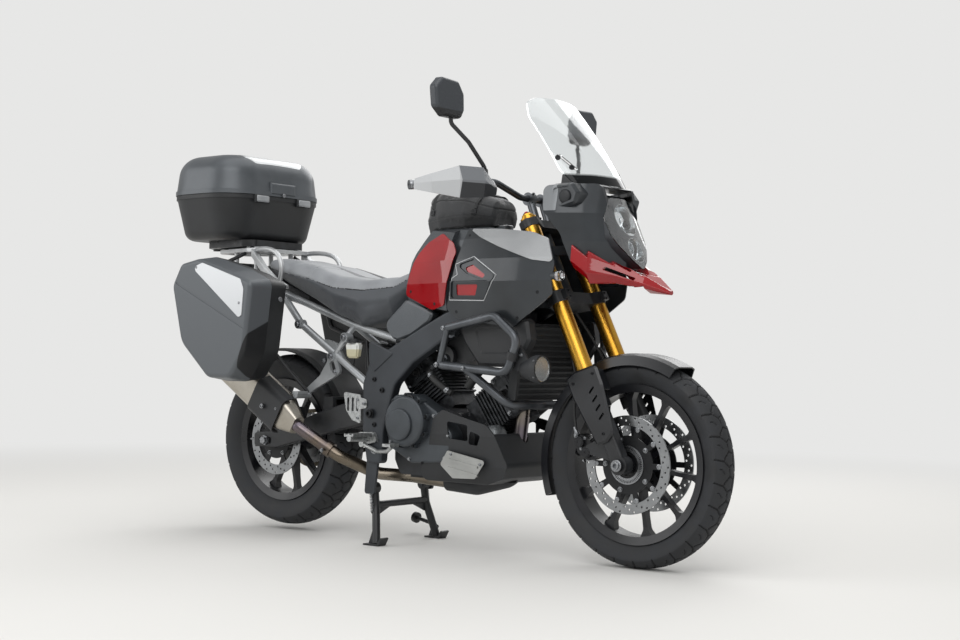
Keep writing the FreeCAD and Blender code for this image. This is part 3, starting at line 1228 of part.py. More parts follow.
# Instruments behind the screen, on the frame's stay
DASH = [(-262, 1184), (-214, 1184), (-214, 1236), (-250, 1262)]
dash = prism(DASH, 8, -92, 92)
display = front_prism([(-70, 1196), (-8, 1196), (-8, 1240), (-70, 1240)], 6, -272, -256)
dash_foot = box(-236, -194, -30, 30, 1176, 1190)
dash = fuse(dash, dash_foot).cut(display).cut(frame).cut(nose)
node("instrument_panel", main_solid(dash))

# Front indicators on stalks from the cowls, and all the clear lenses in front
INDICATOR = (-176.0, 212.0, 918.0)
INDICATOR_R = 15.0
stalk = rod((-214, 190, 916), (INDICATOR[0] - 22, INDICATOR[1] - 4, INDICATOR[2]), 8)
shell_end = V(INDICATOR[0] - 24, INDICATOR[1], INDICATOR[2])
indicator_back = Part.makeCone(10, INDICATOR_R, 20, shell_end, AHEAD)
indicator = fuse(stalk, indicator_back).cut(cowl).cut(spear).cut(shroud)
indicator = main_solid(indicator)
indicator_lens = Part.makeCylinder(INDICATOR_R, 24, shell_end + V(20, 0, 0), AHEAD)
indicator_lens = soften(indicator_lens, 9, "x", INDICATOR[0] + 20)
node("headlamp", main_solid(bowl.cut(nose).cut(frame)), *pair(indicator))
node("lamp_lenses", main_solid(lens.cut(nose)), *pair(indicator_lens))

# Subframe: upper rails, lower struts with bolt eyes, and the passenger peg hangers
RAIL_BAR_R = 13.0
UPPER_RAIL = ((-930, 112, 716), (-1150, 108, 768), (-1500, 100, 884), (-1800, 92, 968))
STRUT = ((-1012, 150, 546), (-1374, 146, 770), (-1500, 112, 872))
UPRIGHT = ((-1142, 150, 726), (-1204, 150, 654))
HANGER = [(-1190, 668), (-1160, 600), (-1186, 582), (-1284, 536), (-1330, 506)]
HANGER += [(-1352, 520), (-1262, 584), (-1222, 640), (-1232, 664)]
PEG_AT = (-1318.0, 512.0)
rail = tube(UPPER_RAIL, RAIL_BAR_R, 200)
strut = tube(STRUT, RAIL_BAR_R, 60)
upright = rod(*UPRIGHT, 10)
upright_top = rod(along(UPPER_RAIL[0], UPPER_RAIL[1], 0.96), UPRIGHT[0], 10)
eyes = [rod((x, 134, z), (x, 166, z), 17) for x, z in ((-1374, 770), (-1142, 722), (-1204, 654))]
peg_hanger = prism(HANGER, [10, 12, 12, 30, 10, 10, 40, 40, 10], 150, 162)
hanger_hole = prism([(-1196, 640), (-1180, 606), (-1206, 598), (-1216, 630)], 8, 140, 170)
hanger_bolts = [rod((x, 150, z), (x, 168, z), 9) for x, z in ((-1236, 639), (-1182, 598))]
PEG_TIP_Y = 228.0
peg = rod((PEG_AT[0], 156, PEG_AT[1]), (PEG_AT[0], PEG_TIP_Y, PEG_AT[1]), 11)
peg_rubber = box(PEG_AT[0] - 14, PEG_AT[0] + 14, 178, PEG_TIP_Y, PEG_AT[1] + 4, PEG_AT[1] + 15)
joint_plate = prism([(-1260, 720), (-1180, 650), (-1150, 640), (-1190, 700)], 4, 138, 152)
cross_bars = [rod((x, -104, z), (x, 104, z), 10) for x, z in ((-1300, 818), (-1700, 940))]
hanger_side = fuse(peg_hanger.cut(hanger_hole), *hanger_bolts, peg, peg_rubber)
subframe_half = fuse(rail, strut, upright, upright_top, *eyes, hanger_side, joint_plate)
subframe = fuse(subframe_half, mirror(subframe_half), *cross_bars)
subframe = main_solid(subframe.cut(frame).cut(side_panel).cut(mirror(side_panel)))
node("subframe", subframe)

# Seat: one soft body, low for the rider and stepped up for the passenger
SEAT = (  # x, then the half outline's (y, z) from the base to the top
    (-868, (50, 884), (92, 920), (62, 984)),
    (-950, (110, 790), (150, 860), (112, 938)),
    (-1080, (136, 758), (172, 850), (140, 930)),
    (-1210, (136, 800), (172, 880), (140, 946)),
    (-1330, (126, 856), (164, 930), (136, 984)),
    (-1500, (104, 926), (142, 970), (118, 1016)),
    (-1606, (76, 972), (110, 992), (86, 1022)),
)
seat = body(SEAT, [24, 30, 30, 30, 30, 24])
for part in (tank, subframe, side_panel, mirror(side_panel), frame, red_panel, mirror(red_panel)):
    seat = seat.cut(part)
seat = main_solid(seat)
node("seat", seat)

# Rear rack: a cast plate with windows and pads, and the grab arms down both sides
RACK_Z = 1046.0
RACK_T = 14.0
RACK_HALF = [(-1620, 132), (-1680, 140), (-1880, 96), (-1906, 60)]
rack_loop = RACK_HALF + [(x, -y) for x, y in reversed(RACK_HALF)]
rack_top = plan_prism(rack_loop, 16, RACK_Z, RACK_Z + RACK_T)
for x0 in (-1730, -1800, -1870):
    window = [(x0, -70), (x0 + 40, -70), (x0 + 40, 70), (x0, 70)]
    rack_top = rack_top.cut(plan_prism(window, 12, RACK_Z - 1, RACK_Z + 20))
GRAB = (  # x, inner y, outer y, low z, high z
    (-1440, 150, 158, 900, 914),
    (-1500, 151, 166, 918, 944),
    (-1560, 142, 166, 950, 984),
    (-1650, 118, 146, RACK_Z - 20, RACK_Z + 10),
)
grab = []
for x, y0, y1, z0, z1 in GRAB:
    grab.append(outline([(x, y0, z0), (x, y1, z0), (x, y1, z1), (x, y0, z1)], 3))
grab = loft(grab)
rack_legs = [rod((x, 90, z), (x, 90, RACK_Z + 2), 9) for x, z in ((-1680, 940), (-1790, 970))]
pads = [rod((x, 106, RACK_Z + RACK_T - 2), (x, 106, RACK_Z + RACK_T + 6), 13) for x in (-1660, -1700)]
rack_half = fuse(grab, *rack_legs, *pads)
rack = main_solid(fuse(rack_top, rack_half, mirror(rack_half)).cut(subframe).cut(seat))
node("rear_rack", rack)

TAIL = (  # x, then the half outline's (y, z) from the bottom to the top
    (-1400, (70, 830), (88, 850), (80, 880)),
    (-1620, (80, 890), (96, 930), (80, 968)),
    (-1800, (70, 930), (88, 970), (70, 1010)),
    (-1890, (50, 960), (64, 980), (50, 1006)),
)
PLATE_HOLDER = [(-1820, 940), (-1880, 950), (-1950, 760), (-1940, 640), (-1926, 640), (-1930, 750)]
tail = fuse(body(TAIL, 10), prism(PLATE_HOLDER, 10, -85, 85))
PLATE_WAIST = [(-200, 600), (-60, 620), (-84, 800), (-60, 960), (-200, 960)]
plate_taper = front_prism(PLATE_WAIST, 10, -1960, -1905)
tail = tail.cut(plate_taper).cut(mirror(plate_taper)).cut(subframe).cut(seat).cut(rack)
tail = main_solid(tail)
node("tail_unit", tail)

tail_lamp = prism([(-1880, 975), (-1906, 980), (-1912, 1008), (-1884, 1018)], 4, -60, 60)
tail_lamp = tail_lamp.cut(tail).cut(rack)
blinker_stem = rod((-1900, 60, 900), (-1902, 118, 900), 7)
blinker_form = front_prism([(112, 887), (176, 887), (184, 900), (176, 913), (112, 913)], 8, -1930, -1876)
blinkers = main_solid(fuse(blinker_stem, soften(blinker_form, 8, "x", -1930)).cut(tail))
node("tail_lamps", main_solid(tail_lamp), *pair(blinkers))

# Top case: base and hinged lid, both with the same rounded plan, and hinge ears at the front
CASE_BACK_X = TOP_CASE_FRONT_X - TOP_CASE_LEN
SEAM_GAP = 0.6
DOME_R = 84.0
FLOOR_R = 40.0
LID_LIP = 16.0


def case_block(z0, z1, inset):
    """The top case's plan outline between two heights, drawn in all round by inset."""
    x0, x1, y = CASE_BACK_X + inset, TOP_CASE_FRONT_X - inset, TOP_CASE_W / 2 - inset
    return plan_prism([(x1, -y), (x1, y), (x0, y), (x0, -y)], TOP_CASE_CORNER_R - inset, z0, z1)


def case_bowl(z0, z1, low, high):
    """A drafted block: its plan drawn in by low at z0 and by high at z1."""
    wires = []
    for z, inset in ((z0, low), (z1, high)):
        x0, x1, y = CASE_BACK_X + inset, TOP_CASE_FRONT_X - inset, TOP_CASE_W / 2 - inset
        wires.append(outline([(x1, -y, z), (x1, y, z), (x0, y, z), (x0, -y, z)], TOP_CASE_CORNER_R - inset))
    return loft(wires)


base_form = case_bowl(TOP_CASE_FLOOR_Z, TOP_CASE_SEAM_Z - LID_LIP, 44, 7)
base_form = soften(base_form, FLOOR_R, "z", TOP_CASE_FLOOR_Z)
base_rim = case_block(TOP_CASE_SEAM_Z - LID_LIP, TOP_CASE_SEAM_Z, 3)
base_room = case_bowl(TOP_CASE_FLOOR_Z + CASE_WALL, TOP_CASE_SEAM_Z + 1, 44 + CASE_WALL, 7 + CASE_WALL)
base_room = soften(base_room, FLOOR_R - CASE_WALL, "z", TOP_CASE_FLOOR_Z + CASE_WALL)
top_base = fuse(base_form, base_rim).cut(base_room)
latches = []
for y in (-110.0, 110.0):
    x0, x1 = TOP_CASE_FRONT_X - 6, TOP_CASE_FRONT_X + 5
    latch = box(x0, x1, y - 38, y + 38, TOP_CASE_SEAM_Z - 30, TOP_CASE_SEAM_Z)
    latches.append(soften(latch, 3, "x", x1))
top_base = main_solid(fuse(top_base, *latches).cut(base_room))
node("top_case_base", top_base)

lid_z0 = TOP_CASE_SEAM_Z + SEAM_GAP
lid_form = case_bowl(lid_z0 + LID_LIP, TOP_CASE_TOP_Z, 4, 22)
lid_form = soften(lid_form, DOME_R, "z", TOP_CASE_TOP_Z)
lid_band = case_block(lid_z0, lid_z0 + LID_LIP, 0)
lid_room = case_bowl(lid_z0 - 1, TOP_CASE_TOP_Z - CASE_WALL, 3 + CASE_WALL, 22 + CASE_WALL)
lid_room = soften(lid_room, DOME_R - CASE_WALL, "z", TOP_CASE_TOP_Z - CASE_WALL)
lid_shell = fuse(lid_form, lid_band).cut(lid_room)
handle = box(TOP_CASE_FRONT_X - 40, TOP_CASE_FRONT_X + 4, -66, 66, lid_z0 + 6, lid_z0 + 52)
handle = soften(handle, 10, "x", TOP_CASE_FRONT_X + 4)
lid_dish = case_block(TOP_CASE_TOP_Z - 1.5, TOP_CASE_TOP_Z + 5, 108)
top_lid = main_solid(fuse(lid_shell, handle).cut(lid_room).cut(lid_dish))
node("top_case_lid", top_lid)

# Side cases: base shell against the machine, and the outer lid hinged along its lower edge
CASE_OUTLINE = [
    (-1296, 916),
    (-1400, 958),
    (-1590, 1010),
    (-1690, 992),
    (-1742, 905),
    (-1686, 690),
    (-1536, 560),
    (-1404, 560),
    (-1330, 660),
]
CASE_ROUND = [36, 200, 60, 40, 60, 100, 60, 50, 120]
LID_EDGE_R = 16.0
DRAFT = 10.0
case_base = slab(CASE_OUTLINE, CASE_ROUND, ((CASE_IN_Y, DRAFT), (CASE_SEAM_Y, 0)))
case_base = soften(case_base, 12, "y", CASE_IN_Y)
base_slices = ((CASE_IN_Y + CASE_WALL, DRAFT + CASE_WALL), (CASE_SEAM_Y + 1, CASE_WALL))
case_base = main_solid(case_base.cut(slab(CASE_OUTLINE, CASE_ROUND, base_slices)))
lid_y0 = CASE_SEAM_Y + SEAM_GAP
case_lid = slab(CASE_OUTLINE, CASE_ROUND, ((lid_y0, 0), (CASE_OUT_Y, 14)))
case_lid = soften(case_lid, LID_EDGE_R, "y", CASE_OUT_Y)
lid_slices = ((lid_y0 - 1, CASE_WALL), (CASE_OUT_Y - CASE_WALL, 14 + CASE_WALL))
case_lid = case_lid.cut(slab(CASE_OUTLINE, CASE_ROUND, lid_slices))
CASE_PLATE = [(-1618, 966), (-1560, 984), (-1360, 922), (-1342, 886), (-1352, 772)]
PLATE_STEP = 2.0
case_plate = slab(CASE_PLATE, [16, 20, 20, 24, 16], ((CASE_OUT_Y - 4, 0), (CASE_OUT_Y + PLATE_STEP, 2)))
CASE_GROOVE = [(-1700, 916), (-1342, 752), (-1340, 744), (-1702, 908)]
groove = prism(CASE_GROOVE, 2, CASE_OUT_Y - 1.5, CASE_OUT_Y + 2)
case_lid = main_solid(fuse(case_lid.cut(groove), case_plate))
node("side_case_bases", *pair(case_base))
node("side_case_lid_left", case_lid)
node("side_case_lid_right", mirror(case_lid))

# Luggage carriers: the rails of the side cases, and the top case's adapter bars
CARRIER_R = 7.0
CARRIER_Y = CASE_IN_Y - CARRIER_R - SEAT_GAP
CARRIER = (
    (-1440, 170, 906),
    (-1440, CARRIER_Y - 8, 906),
    (-1446, CARRIER_Y, 880),
    (-1440, CARRIER_Y, 700),
    (-1640, CARRIER_Y, 770),
    (-1690, CARRIER_Y, 906),
    (-1700, CARRIER_Y - 30, 990),
    (-1700, 130, 1040),
)
carrier_arm = rod((PEG_AT[0], 160, PEG_AT[1] + 8), (-1445, CARRIER_Y, 720), CARRIER_R)
case_rail = fuse(tube(CARRIER, CARRIER_R, 24), carrier_arm)
for part in (subframe, rack, tail, seat):
    case_rail = case_rail.cut(part)
case_rail = main_solid(case_rail)
ADAPTER_Z = RACK_Z + RACK_T + 6
ADAPTER_HALF = [(-1650, 126), (-1700, 152), (-1910, 128), (-1952, 70)]
adapter_loop = ADAPTER_HALF + [(x, -y) for x, y in reversed(ADAPTER_HALF)]
adapter = plan_prism(adapter_loop, 20, ADAPTER_Z, TOP_CASE_FLOOR_Z - SEAT_GAP)
ADAPTER_ROOM = [(-1690, 96), (-1900, 96), (-1900, -96), (-1690, -96)]
adapter_room = plan_prism(ADAPTER_ROOM, 20, ADAPTER_Z - 1, TOP_CASE_FLOOR_Z - 8)
adapter_stub = rod((-1936, -60, ADAPTER_Z - 6), (-1936, -60, ADAPTER_Z + 2), 16)
adapter = fuse(adapter.cut(adapter_room), adapter_stub).cut(rack).cut(tail)
node("case_rails", *pair(case_rail), main_solid(adapter))

# Crash bars round the shrouds, with their braces and a cross bar under the nose of the engine
CRASH_R = 14.0
HOOP = (
    (-616, 190, 740),
    (-616, 232, 753),
    (-398, 250, 793),
    (-303, 250, 719),
    (-344, 250, 610),
    (-644, 230, 632),
    (-650, 190, 650),
)
BRACE = ((-640, 232, 634), (-608, 234, 752))
DOWN_BAR = ((-522, 241, 622), (-396, 172, 505), (-342, 60, 505), (-342, 0, 505))
hoop = tube(HOOP, CRASH_R, [18, 40, 40, 40, 40, 18])
brace = rod(*BRACE, 11)
down_bar = tube(DOWN_BAR, CRASH_R, [60, 40])
crash_feet = [rod((x, FRAME_OUT_Y, z), (x, 204, z), 20) for x, z in ((-616, 742), (-650, 648))]
crash_half = fuse(hoop, brace, down_bar, *crash_feet)
crash_bars = fuse(crash_half, mirror(crash_half))
for part in (frame, shroud, mirror(shroud), cowl, mirror(cowl), engine_case, front_cylinder, exhaust):
    crash_bars = crash_bars.cut(part)
crash_bars = main_solid(crash_bars)
node("crash_bars", crash_bars)

# Fog lamps: a round pod and its lens on a bracket from the bars' front corner
FOG = (-233.0, 210.0, 624.0)
FOG_R = 45.0
FOG_DEEP = 74.0
fog_back = V(FOG[0] - FOG_DEEP, FOG[1], FOG[2])
pod_body = Part.makeCone(27, FOG_R, FOG_DEEP - 22, fog_back, AHEAD)
pod_rim = Part.makeCylinder(FOG_R, 22, V(FOG[0] - 22, FOG[1], FOG[2]), AHEAD)
pod_dish = Part.makeCylinder(FOG_R - 5, 12, V(FOG[0] - 9, FOG[1], FOG[2]), AHEAD)
fog_arm = prism([(-330, 622), (-270, 606), (-262, 640), (-310, 700), (-334, 700)], 6, 222, 234)
fog_clamp = rod(along(HOOP[3], HOOP[4], 0.4), along(HOOP[3], HOOP[4], 0.62), CRASH_R + 5)
fog_pod = fuse(soften(pod_body, 8, "x", FOG[0] - FOG_DEEP), pod_rim, fog_arm, fog_clamp).cut(pod_dish)
fog_pod = main_solid(fog_pod.cut(crash_bars).cut(shroud))
fog_lens = Part.makeCylinder(FOG_R - 5 - SEAT_GAP, 7, V(FOG[0] - 8, FOG[1], FOG[2]), AHEAD)
fog_lens = soften(fog_lens, 3, "x", FOG[0] - 1)
node("fog_lamps", *pair(fog_pod))
NODES["lamp_lenses"] = Part.makeCompound(NODES["lamp_lenses"].Solids + pair(fog_lens))

# Belly pan: a tray under the engine with windows in its sides, and a ribbed bright plate on each
PAN_OUT_Y = 192.0
PAN_FLOOR_Z = 238.0
PAN_WALL = 5.0
PAN = [
    (-778, 262),
    (-720, 358),
    (-698, 452),
    (-658, 483),
    (-561, 457),
    (-470, 437),
    (-436, 404),
    (-392, 306),
    (-422, 262),
    (-498, PAN_FLOOR_Z),
    (-760, PAN_FLOOR_Z),
]
PAN_NARROW = ((PAN_FLOOR_Z, -150), (300, -176), (400, -PAN_OUT_Y), (500, -PAN_OUT_Y))
pan_side = prism(PAN, [12, 20, 20, 20, 30, 30, 30, 20, 20, 30, 20], -PAN_OUT_Y, PAN_OUT_Y)
half_front = [(y, z) for z, y in PAN_NARROW]
pan_form = front_prism(half_front + [(-y, z) for y, z in reversed(half_front)], 12, -800, -380)
room_half = [(y + PAN_WALL, z) for y, z in half_front]
room_half[0] = (room_half[0][0], PAN_FLOOR_Z + PAN_WALL)
room_half[-1] = (room_half[-1][0], 560)
PAN_ROOM = [
    (-830, PAN_FLOOR_Z + PAN_WALL),
    (-830, 560),
    (-442, 560),
    (-441, 404),
    (-399, 306),
    (-428, 268),
    (-499, PAN_FLOOR_Z + PAN_WALL),
]
pan_room = front_prism(room_half + [(-y, z) for y, z in reversed(room_half)], 8, -820, -300)
pan_room = pan_room.common(prism(PAN_ROOM, [0, 0, 0, 30, 30, 20, 30], -PAN_OUT_Y, PAN_OUT_Y))
# A channel in the floor lets the header pass under the engine with 4 mm round it.
PIPE_CLEAR = 4.0
pipe_room = tube(HEADER[1:7], PIPE_R + PIPE_CLEAR, 60)
channel = tube(HEADER[2:6], PIPE_R + PIPE_CLEAR + PAN_WALL, 60)
channel = channel.common(box(-740, -440, -120, 40, 190, PAN_FLOOR_Z + PAN_WALL))
pan = fuse(pan_side.common(pan_form).cut(pan_room), channel).cut(pipe_room)
for window in (
    [(-638, 445), (-550, 434), (-549, 381), (-631, 387)],
    [(-537, 415), (-494, 402), (-511, 368), (-549, 371)],
):
    pan = pan.cut(prism(window, 8, -300, 300))
for part in (engine_case, front_cylinder, exhaust, frame, crash_bars, cover_right, cover_left):
    pan = pan.cut(part)
pan = main_solid(pan)
node("belly_pan", pan)
PLATE = [(-631, 348), (-469, 320), (-514, 260), (-607, 257), (-662, 300)]
PLATE_T = 3.0
belly_plate = prism(PLATE, 8, PAN_OUT_Y, PAN_OUT_Y + PLATE_T)
for z in (318, 290):
    rib = prism([(-628, z + 5), (-500, z - 16), (-502, z - 24), (-630, z - 3)], 3, PAN_OUT_Y, PAN_OUT_Y + 7)
    belly_plate = fuse(belly_plate, rib)
# The pan's side leans in behind the plate, so each stud starts 0.3 mm out from where it meets the pan.
plate_studs = []
for x, z in ((-612, 334), (-512, 312)):
    pan_y = 176 + (z - 300) / 100 * (PAN_OUT_Y - 176)
    plate_studs.append(rod((x, pan_y + 1.3, z), (x, PAN_OUT_Y + 1, z), 6))
belly_plate = fuse(belly_plate, *plate_studs).cut(pan)
node("belly_plates", *pair(main_solid(belly_plate)))

# Centre stand: two legs with feet, gussets and a cross bar, and the tang to tread on
LEG_R = 14.0
stand_eye = rod((PX, 120, PZ), (PX, 146, PZ), 20)
leg = tube(((PX, 132, PZ), (PX + 10, 134, 130), (STAND_FOOT_X, STAND_HALF_W - 10, 6)), LEG_R, 60)
FOOT = [
    (STAND_FOOT_X - 44, 0),
    (STAND_FOOT_X + 26, 0),
    (STAND_FOOT_X + 40, 26),
    (STAND_FOOT_X + 34, 30),
    (STAND_FOOT_X + 20, 8),
    (STAND_FOOT_X - 44, 6),
]
foot = prism(FOOT, 2, STAND_HALF_W - 28, STAND_HALF_W + 12)
gusset = front_prism([(60, 128), (134, 96), (138, 150), (128, 150), (60, 144)], 6, PX + 6, PX + 12)
foot_gusset = prism([(STAND_FOOT_X - 36, 4), (STAND_FOOT_X - 14, 60), (STAND_FOOT_X - 4, 4)], 4, 158, 164)
BAR_Z = PZ - 58
stand_bar = rod((PX + 10, -134, BAR_Z), (PX + 10, 134, BAR_Z), 12)
TANG = (
    (STAND_FOOT_X - 4, STAND_HALF_W - 4, 40),
    (STAND_FOOT_X - 60, STAND_HALF_W + 36, 44),
    (STAND_FOOT_X - 150, STAND_HALF_W + 50, 58),
)
tang = tube(TANG, 7, 20)
tang_pad = rod(along(TANG[1], TANG[2], 1.09), along(TANG[1], TANG[2], 0.94), 20)
spring_post = rod((PX + 8, 134, 112), (PX + 8, 152, 112), 5)
stand_half = fuse(leg, foot, stand_eye, gusset, foot_gusset, spring_post)
centre_stand = fuse(stand_half, mirror(stand_half), stand_bar, tang, tang_pad)
centre_stand = centre_stand.cut(rod((PX, -200, PZ), (PX, 200, PZ), PIN_R + RUN_GAP))
node("centre_stand", main_solid(centre_stand))

side_leg = tube(((SX, SY, SZ), (SX - 95, SY, SZ + 6), (SX - 245, SY + 12, SZ + 18)), 11, 60)
side_eye = rod((SX, SY - 9, SZ), (SX, SY + 9, SZ), 16)
FOOT_PLAN = [(SX - 276, SY - 6), (SX - 238, SY - 6), (SX - 238, SY + 42), (SX - 276, SY + 42)]
side_foot = plan_prism(FOOT_PLAN, 10, SZ + 4, SZ + 12)
side_stand = fuse(side_leg, side_eye, side_foot)
side_stand = side_stand.cut(rod((SX, 0, SZ), (SX, 300, SZ), PIN_R + RUN_GAP))
node("side_stand", main_solid(side_stand))

# Rider's pegs on their mounts, slotted heel plates, the brake pedal and the shift lever
PEG_MOUNT = [(-1036, 392), (-962, 394), (-946, 362), (-1020, 346)]
peg_mount = prism(PEG_MOUNT, 8, FRAME_OUT_Y, FRAME_OUT_Y + 12)
peg_bar = rod((-988, FRAME_OUT_Y + 8, 370), (-982, 300, 374), 10)
peg_tread = front_prism([(206, 378), (300, 380), (300, 388), (206, 386)], 2, -1004, -962)
teeth = [box(x, x + 6, 206, 300, 386, 391) for x in (-1004, -986, -968)]
rider_peg = fuse(peg_mount, peg_bar, peg_tread, *teeth)
HEEL = [(-1115, 530), (-1033, 522), (-1031, 420), (-1073, 433), (-1102, 468)]
heel = prism(HEEL, 8, FRAME_OUT_Y, FRAME_OUT_Y + 4)
for x in (-1092, -1070, -1048):
    slot = prism([(x - 5, 512), (x + 5, 511), (x + 5, 462), (x - 5, 464)], 4, 180, 200)
    heel = heel.cut(slot)
heel_tab = prism([(-1050, 516), (-1004, 506), (-1004, 476), (-1050, 470)], 8, FRAME_OUT_Y, FRAME_OUT_Y + 4)
heel_bolt = rod((-1014, 150, 491), (-1014, FRAME_OUT_Y + 8, 491), 7)
heel = fuse(heel, heel_tab, heel_bolt)
PEDAL = ((-1010, 200, 352), (-930, 212, 330), (-866, 234, 334), (-838, 240, 350))
pedal_arm = tube(PEDAL, 6.5, 30)
pedal_pad = box(-852, -816, 230, 274, 352, 362)
pedal_boss = rod((-1010, FRAME_OUT_Y + 1, 352), (-1010, 208, 352), 11)
pedal = fuse(pedal_arm, pedal_pad, pedal_boss)
rider_peg = rider_peg.cut(frame)
heel = heel.cut(frame).cut(rider_peg)
pedal = main_solid(pedal.cut(rider_peg).cut(frame))
levers = [s for s in pair(pedal)]
levers[0] = main_solid(levers[0].cut(side_stand))
node("rider_pegs", *pair(main_solid(rider_peg)), *pair(main_solid(heel)), *levers)

# Tank bag: one soft body that follows the tank's top
BAG = (  # x, then the half outline's (y, z) from the base to the top
    (-800, (112, 1068), (128, 1120), (106, 1212)),
    (-740, (128, 1080), (140, 1130), (118, 1226)),
    (-640, (118, 1090), (128, 1140), (104, 1222)),
    (-552, (66, 1096), (76, 1132), (56, 1188)),
)
bag = body(BAG, [14, 30, 40, 40, 30, 14]).cut(tank).cut(red_panel).cut(mirror(red_panel))
node("tank_bag", main_solid(bag.cut(seat)))


def export():
    os.makedirs("parts", exist_ok=True)
    for name, shape in NODES.items():
        shape = shape.copy()
        shape.translate(V(-ORIGIN_X, 0, 0))
        for solid in shape.Solids:
            if not solid.isValid() or solid.Volume <= 0:
                print("bad solid in", name)
        shape.exportStep("parts/" + name + ".step")


export()
print(len(NODES), "nodes, origin", round(-ORIGIN_X, 2), "ahead of the front axle's zero")
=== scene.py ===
import bpy
import bmesh
import math
import numpy as np
from mathutils import Matrix, Vector
from mathutils.bvhtree import BVHTree


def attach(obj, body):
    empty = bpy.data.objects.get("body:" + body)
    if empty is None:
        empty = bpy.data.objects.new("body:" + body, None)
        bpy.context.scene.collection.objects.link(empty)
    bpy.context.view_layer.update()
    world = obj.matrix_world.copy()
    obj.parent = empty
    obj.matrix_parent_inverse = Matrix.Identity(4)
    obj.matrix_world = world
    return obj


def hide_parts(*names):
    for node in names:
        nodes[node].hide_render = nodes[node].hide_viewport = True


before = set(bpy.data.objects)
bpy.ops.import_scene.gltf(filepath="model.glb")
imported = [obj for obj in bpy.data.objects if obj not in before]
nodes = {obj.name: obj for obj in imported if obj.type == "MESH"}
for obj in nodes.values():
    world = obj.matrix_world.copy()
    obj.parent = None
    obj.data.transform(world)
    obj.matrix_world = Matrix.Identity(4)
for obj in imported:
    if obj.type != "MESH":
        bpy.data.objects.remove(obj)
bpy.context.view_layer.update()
scene = bpy.context.scene


# Studio: a pale floor that fades into a pale backdrop, lit by large soft lamps.
# The camera stands where the photograph was taken, ahead of the machine on its right, at seat height.
def linear(hex_colour):
    """An sRGB hex colour as linear RGBA."""
    parts = [int(hex_colour[i : i + 2], 16) / 255 for i in (1, 3, 5)]
    return [c / 12.92 if c <= 0.04045 else ((c + 0.055) / 1.055) ** 2.4 for c in parts] + [1.0]


def add(tree, kind, links=None, **settings):
    """Adds a node. Settings are its own or its inputs' values, and links maps an input to an output."""
    made = tree.nodes.new(kind)
    for name, value in settings.items():
        socket = made.inputs.get(name.replace("_", " "))
        if hasattr(made, name):
            setattr(made, name, value)
        elif socket is not None:
            socket.default_value = value
        else:
            raise KeyError(f"{kind} has no {name}")
    for name, output in (links or {}).items():
        tree.links.new(output, made.inputs[name])
    return made


def finish(name, **shader):
    """A new material with these values, its nodes, its shader, and the place on the object in metres."""
    material = bpy.data.materials.new(name)
    material.use_nodes = True
    tree = material.node_tree
    surface = tree.nodes["Principled BSDF"]
    for key, value in shader.items():
        colour = isinstance(value, str)
        surface.inputs[key.replace("_", " ")].default_value = linear(value) if colour else value
    return material, tree, surface, add(tree, "ShaderNodeTexCoord").outputs["Object"]


# The lens's focal length and the photograph's width are in pixels, and the sensor's width in millimetres.
LENS_PIXELS, PHOTO_PIXELS, SENSOR_WIDTH = 1526.2, 960, 36.0
CAMERA_AT = Vector((3.47167, -4.10308, 0.65663))
YAW, PITCH, ROLL = math.radians(-38.595), math.radians(-1.424), math.radians(0.886)
ahead = Vector((math.sin(YAW) * math.cos(PITCH), math.cos(YAW) * math.cos(PITCH), -math.sin(PITCH)))
side = ahead.cross(Vector((0, 0, 1))).normalized()
above = side.cross(ahead)
right = side * math.cos(ROLL) + above * math.sin(ROLL)
top = above * math.cos(ROLL) - side * math.sin(ROLL)
camera = bpy.data.objects.new("camera", bpy.data.cameras.new("camera"))
scene.collection.objects.link(camera)
camera.data.sensor_width = SENSOR_WIDTH
camera.data.lens = LENS_PIXELS / PHOTO_PIXELS * SENSOR_WIDTH
camera.data.clip_end = 100
camera.matrix_world = Matrix((
    (right.x, top.x, -ahead.x, CAMERA_AT.x),
    (right.y, top.y, -ahead.y, CAMERA_AT.y),
    (right.z, top.z, -ahead.z, CAMERA_AT.z),
    (0, 0, 0, 1),
))
scene.camera = camera
scene.view_settings.view_transform = "Standard"

# The floor's paint gives way to the backdrop's own light 2.4 to 6.5 m out, so no horizon line shows.
BACKDROP, BACKDROP_LEVEL = "#f2f2f1", 0.9
MIRRORED_SHARE = 0.2
FADE_BEGIN, FADE_END = 2.4, 6.5
FLOOR_REACH = 30
floor_mesh = bpy.data.meshes.new("floor")
floor_corners = [(x * FLOOR_REACH, y * FLOOR_REACH, 0) for x, y in ((-1, -1), (1, -1), (1, 1), (-1, 1))]
floor_mesh.from_pydata(floor_corners, [], [(0, 1, 2, 3)])
floor = bpy.data.objects.new("floor", floor_mesh)
scene.collection.objects.link(floor)
floor_paint, tree, surface, spot = finish("floor_paint_matt", Base_Color="#e4e3e0", Roughness=0.85)
reach = add(tree, "ShaderNodeVectorMath", {0: spot}, operation="LENGTH")
fade = add(
    tree, "ShaderNodeMapRange", {"Value": reach.outputs["Value"]}, From_Min=FADE_BEGIN, From_Max=FADE_END
)
fade.interpolation_type = "SMOOTHSTEP"
glow = add(tree, "ShaderNodeEmission", Color=linear(BACKDROP), Strength=BACKDROP_LEVEL)
both = add(
    tree, "ShaderNodeMixShader", {0: fade.outputs["Result"], 1: surface.outputs[0], 2: glow.outputs[0]}
)
tree.links.new(both.outputs[0], tree.nodes["Material Output"].inputs["Surface"])
floor_mesh.materials.append(floor_paint)

world = bpy.data.worlds.new("studio")
scene.world = world
world.use_nodes = True
sky = world.node_tree
rays = add(sky, "ShaderNodeLightPath").outputs
seen = add(
    sky, "ShaderNodeMath", {0: rays["Is Camera Ray"], 1: rays["Is Transmission Ray"]}, operation="MAXIMUM"
)
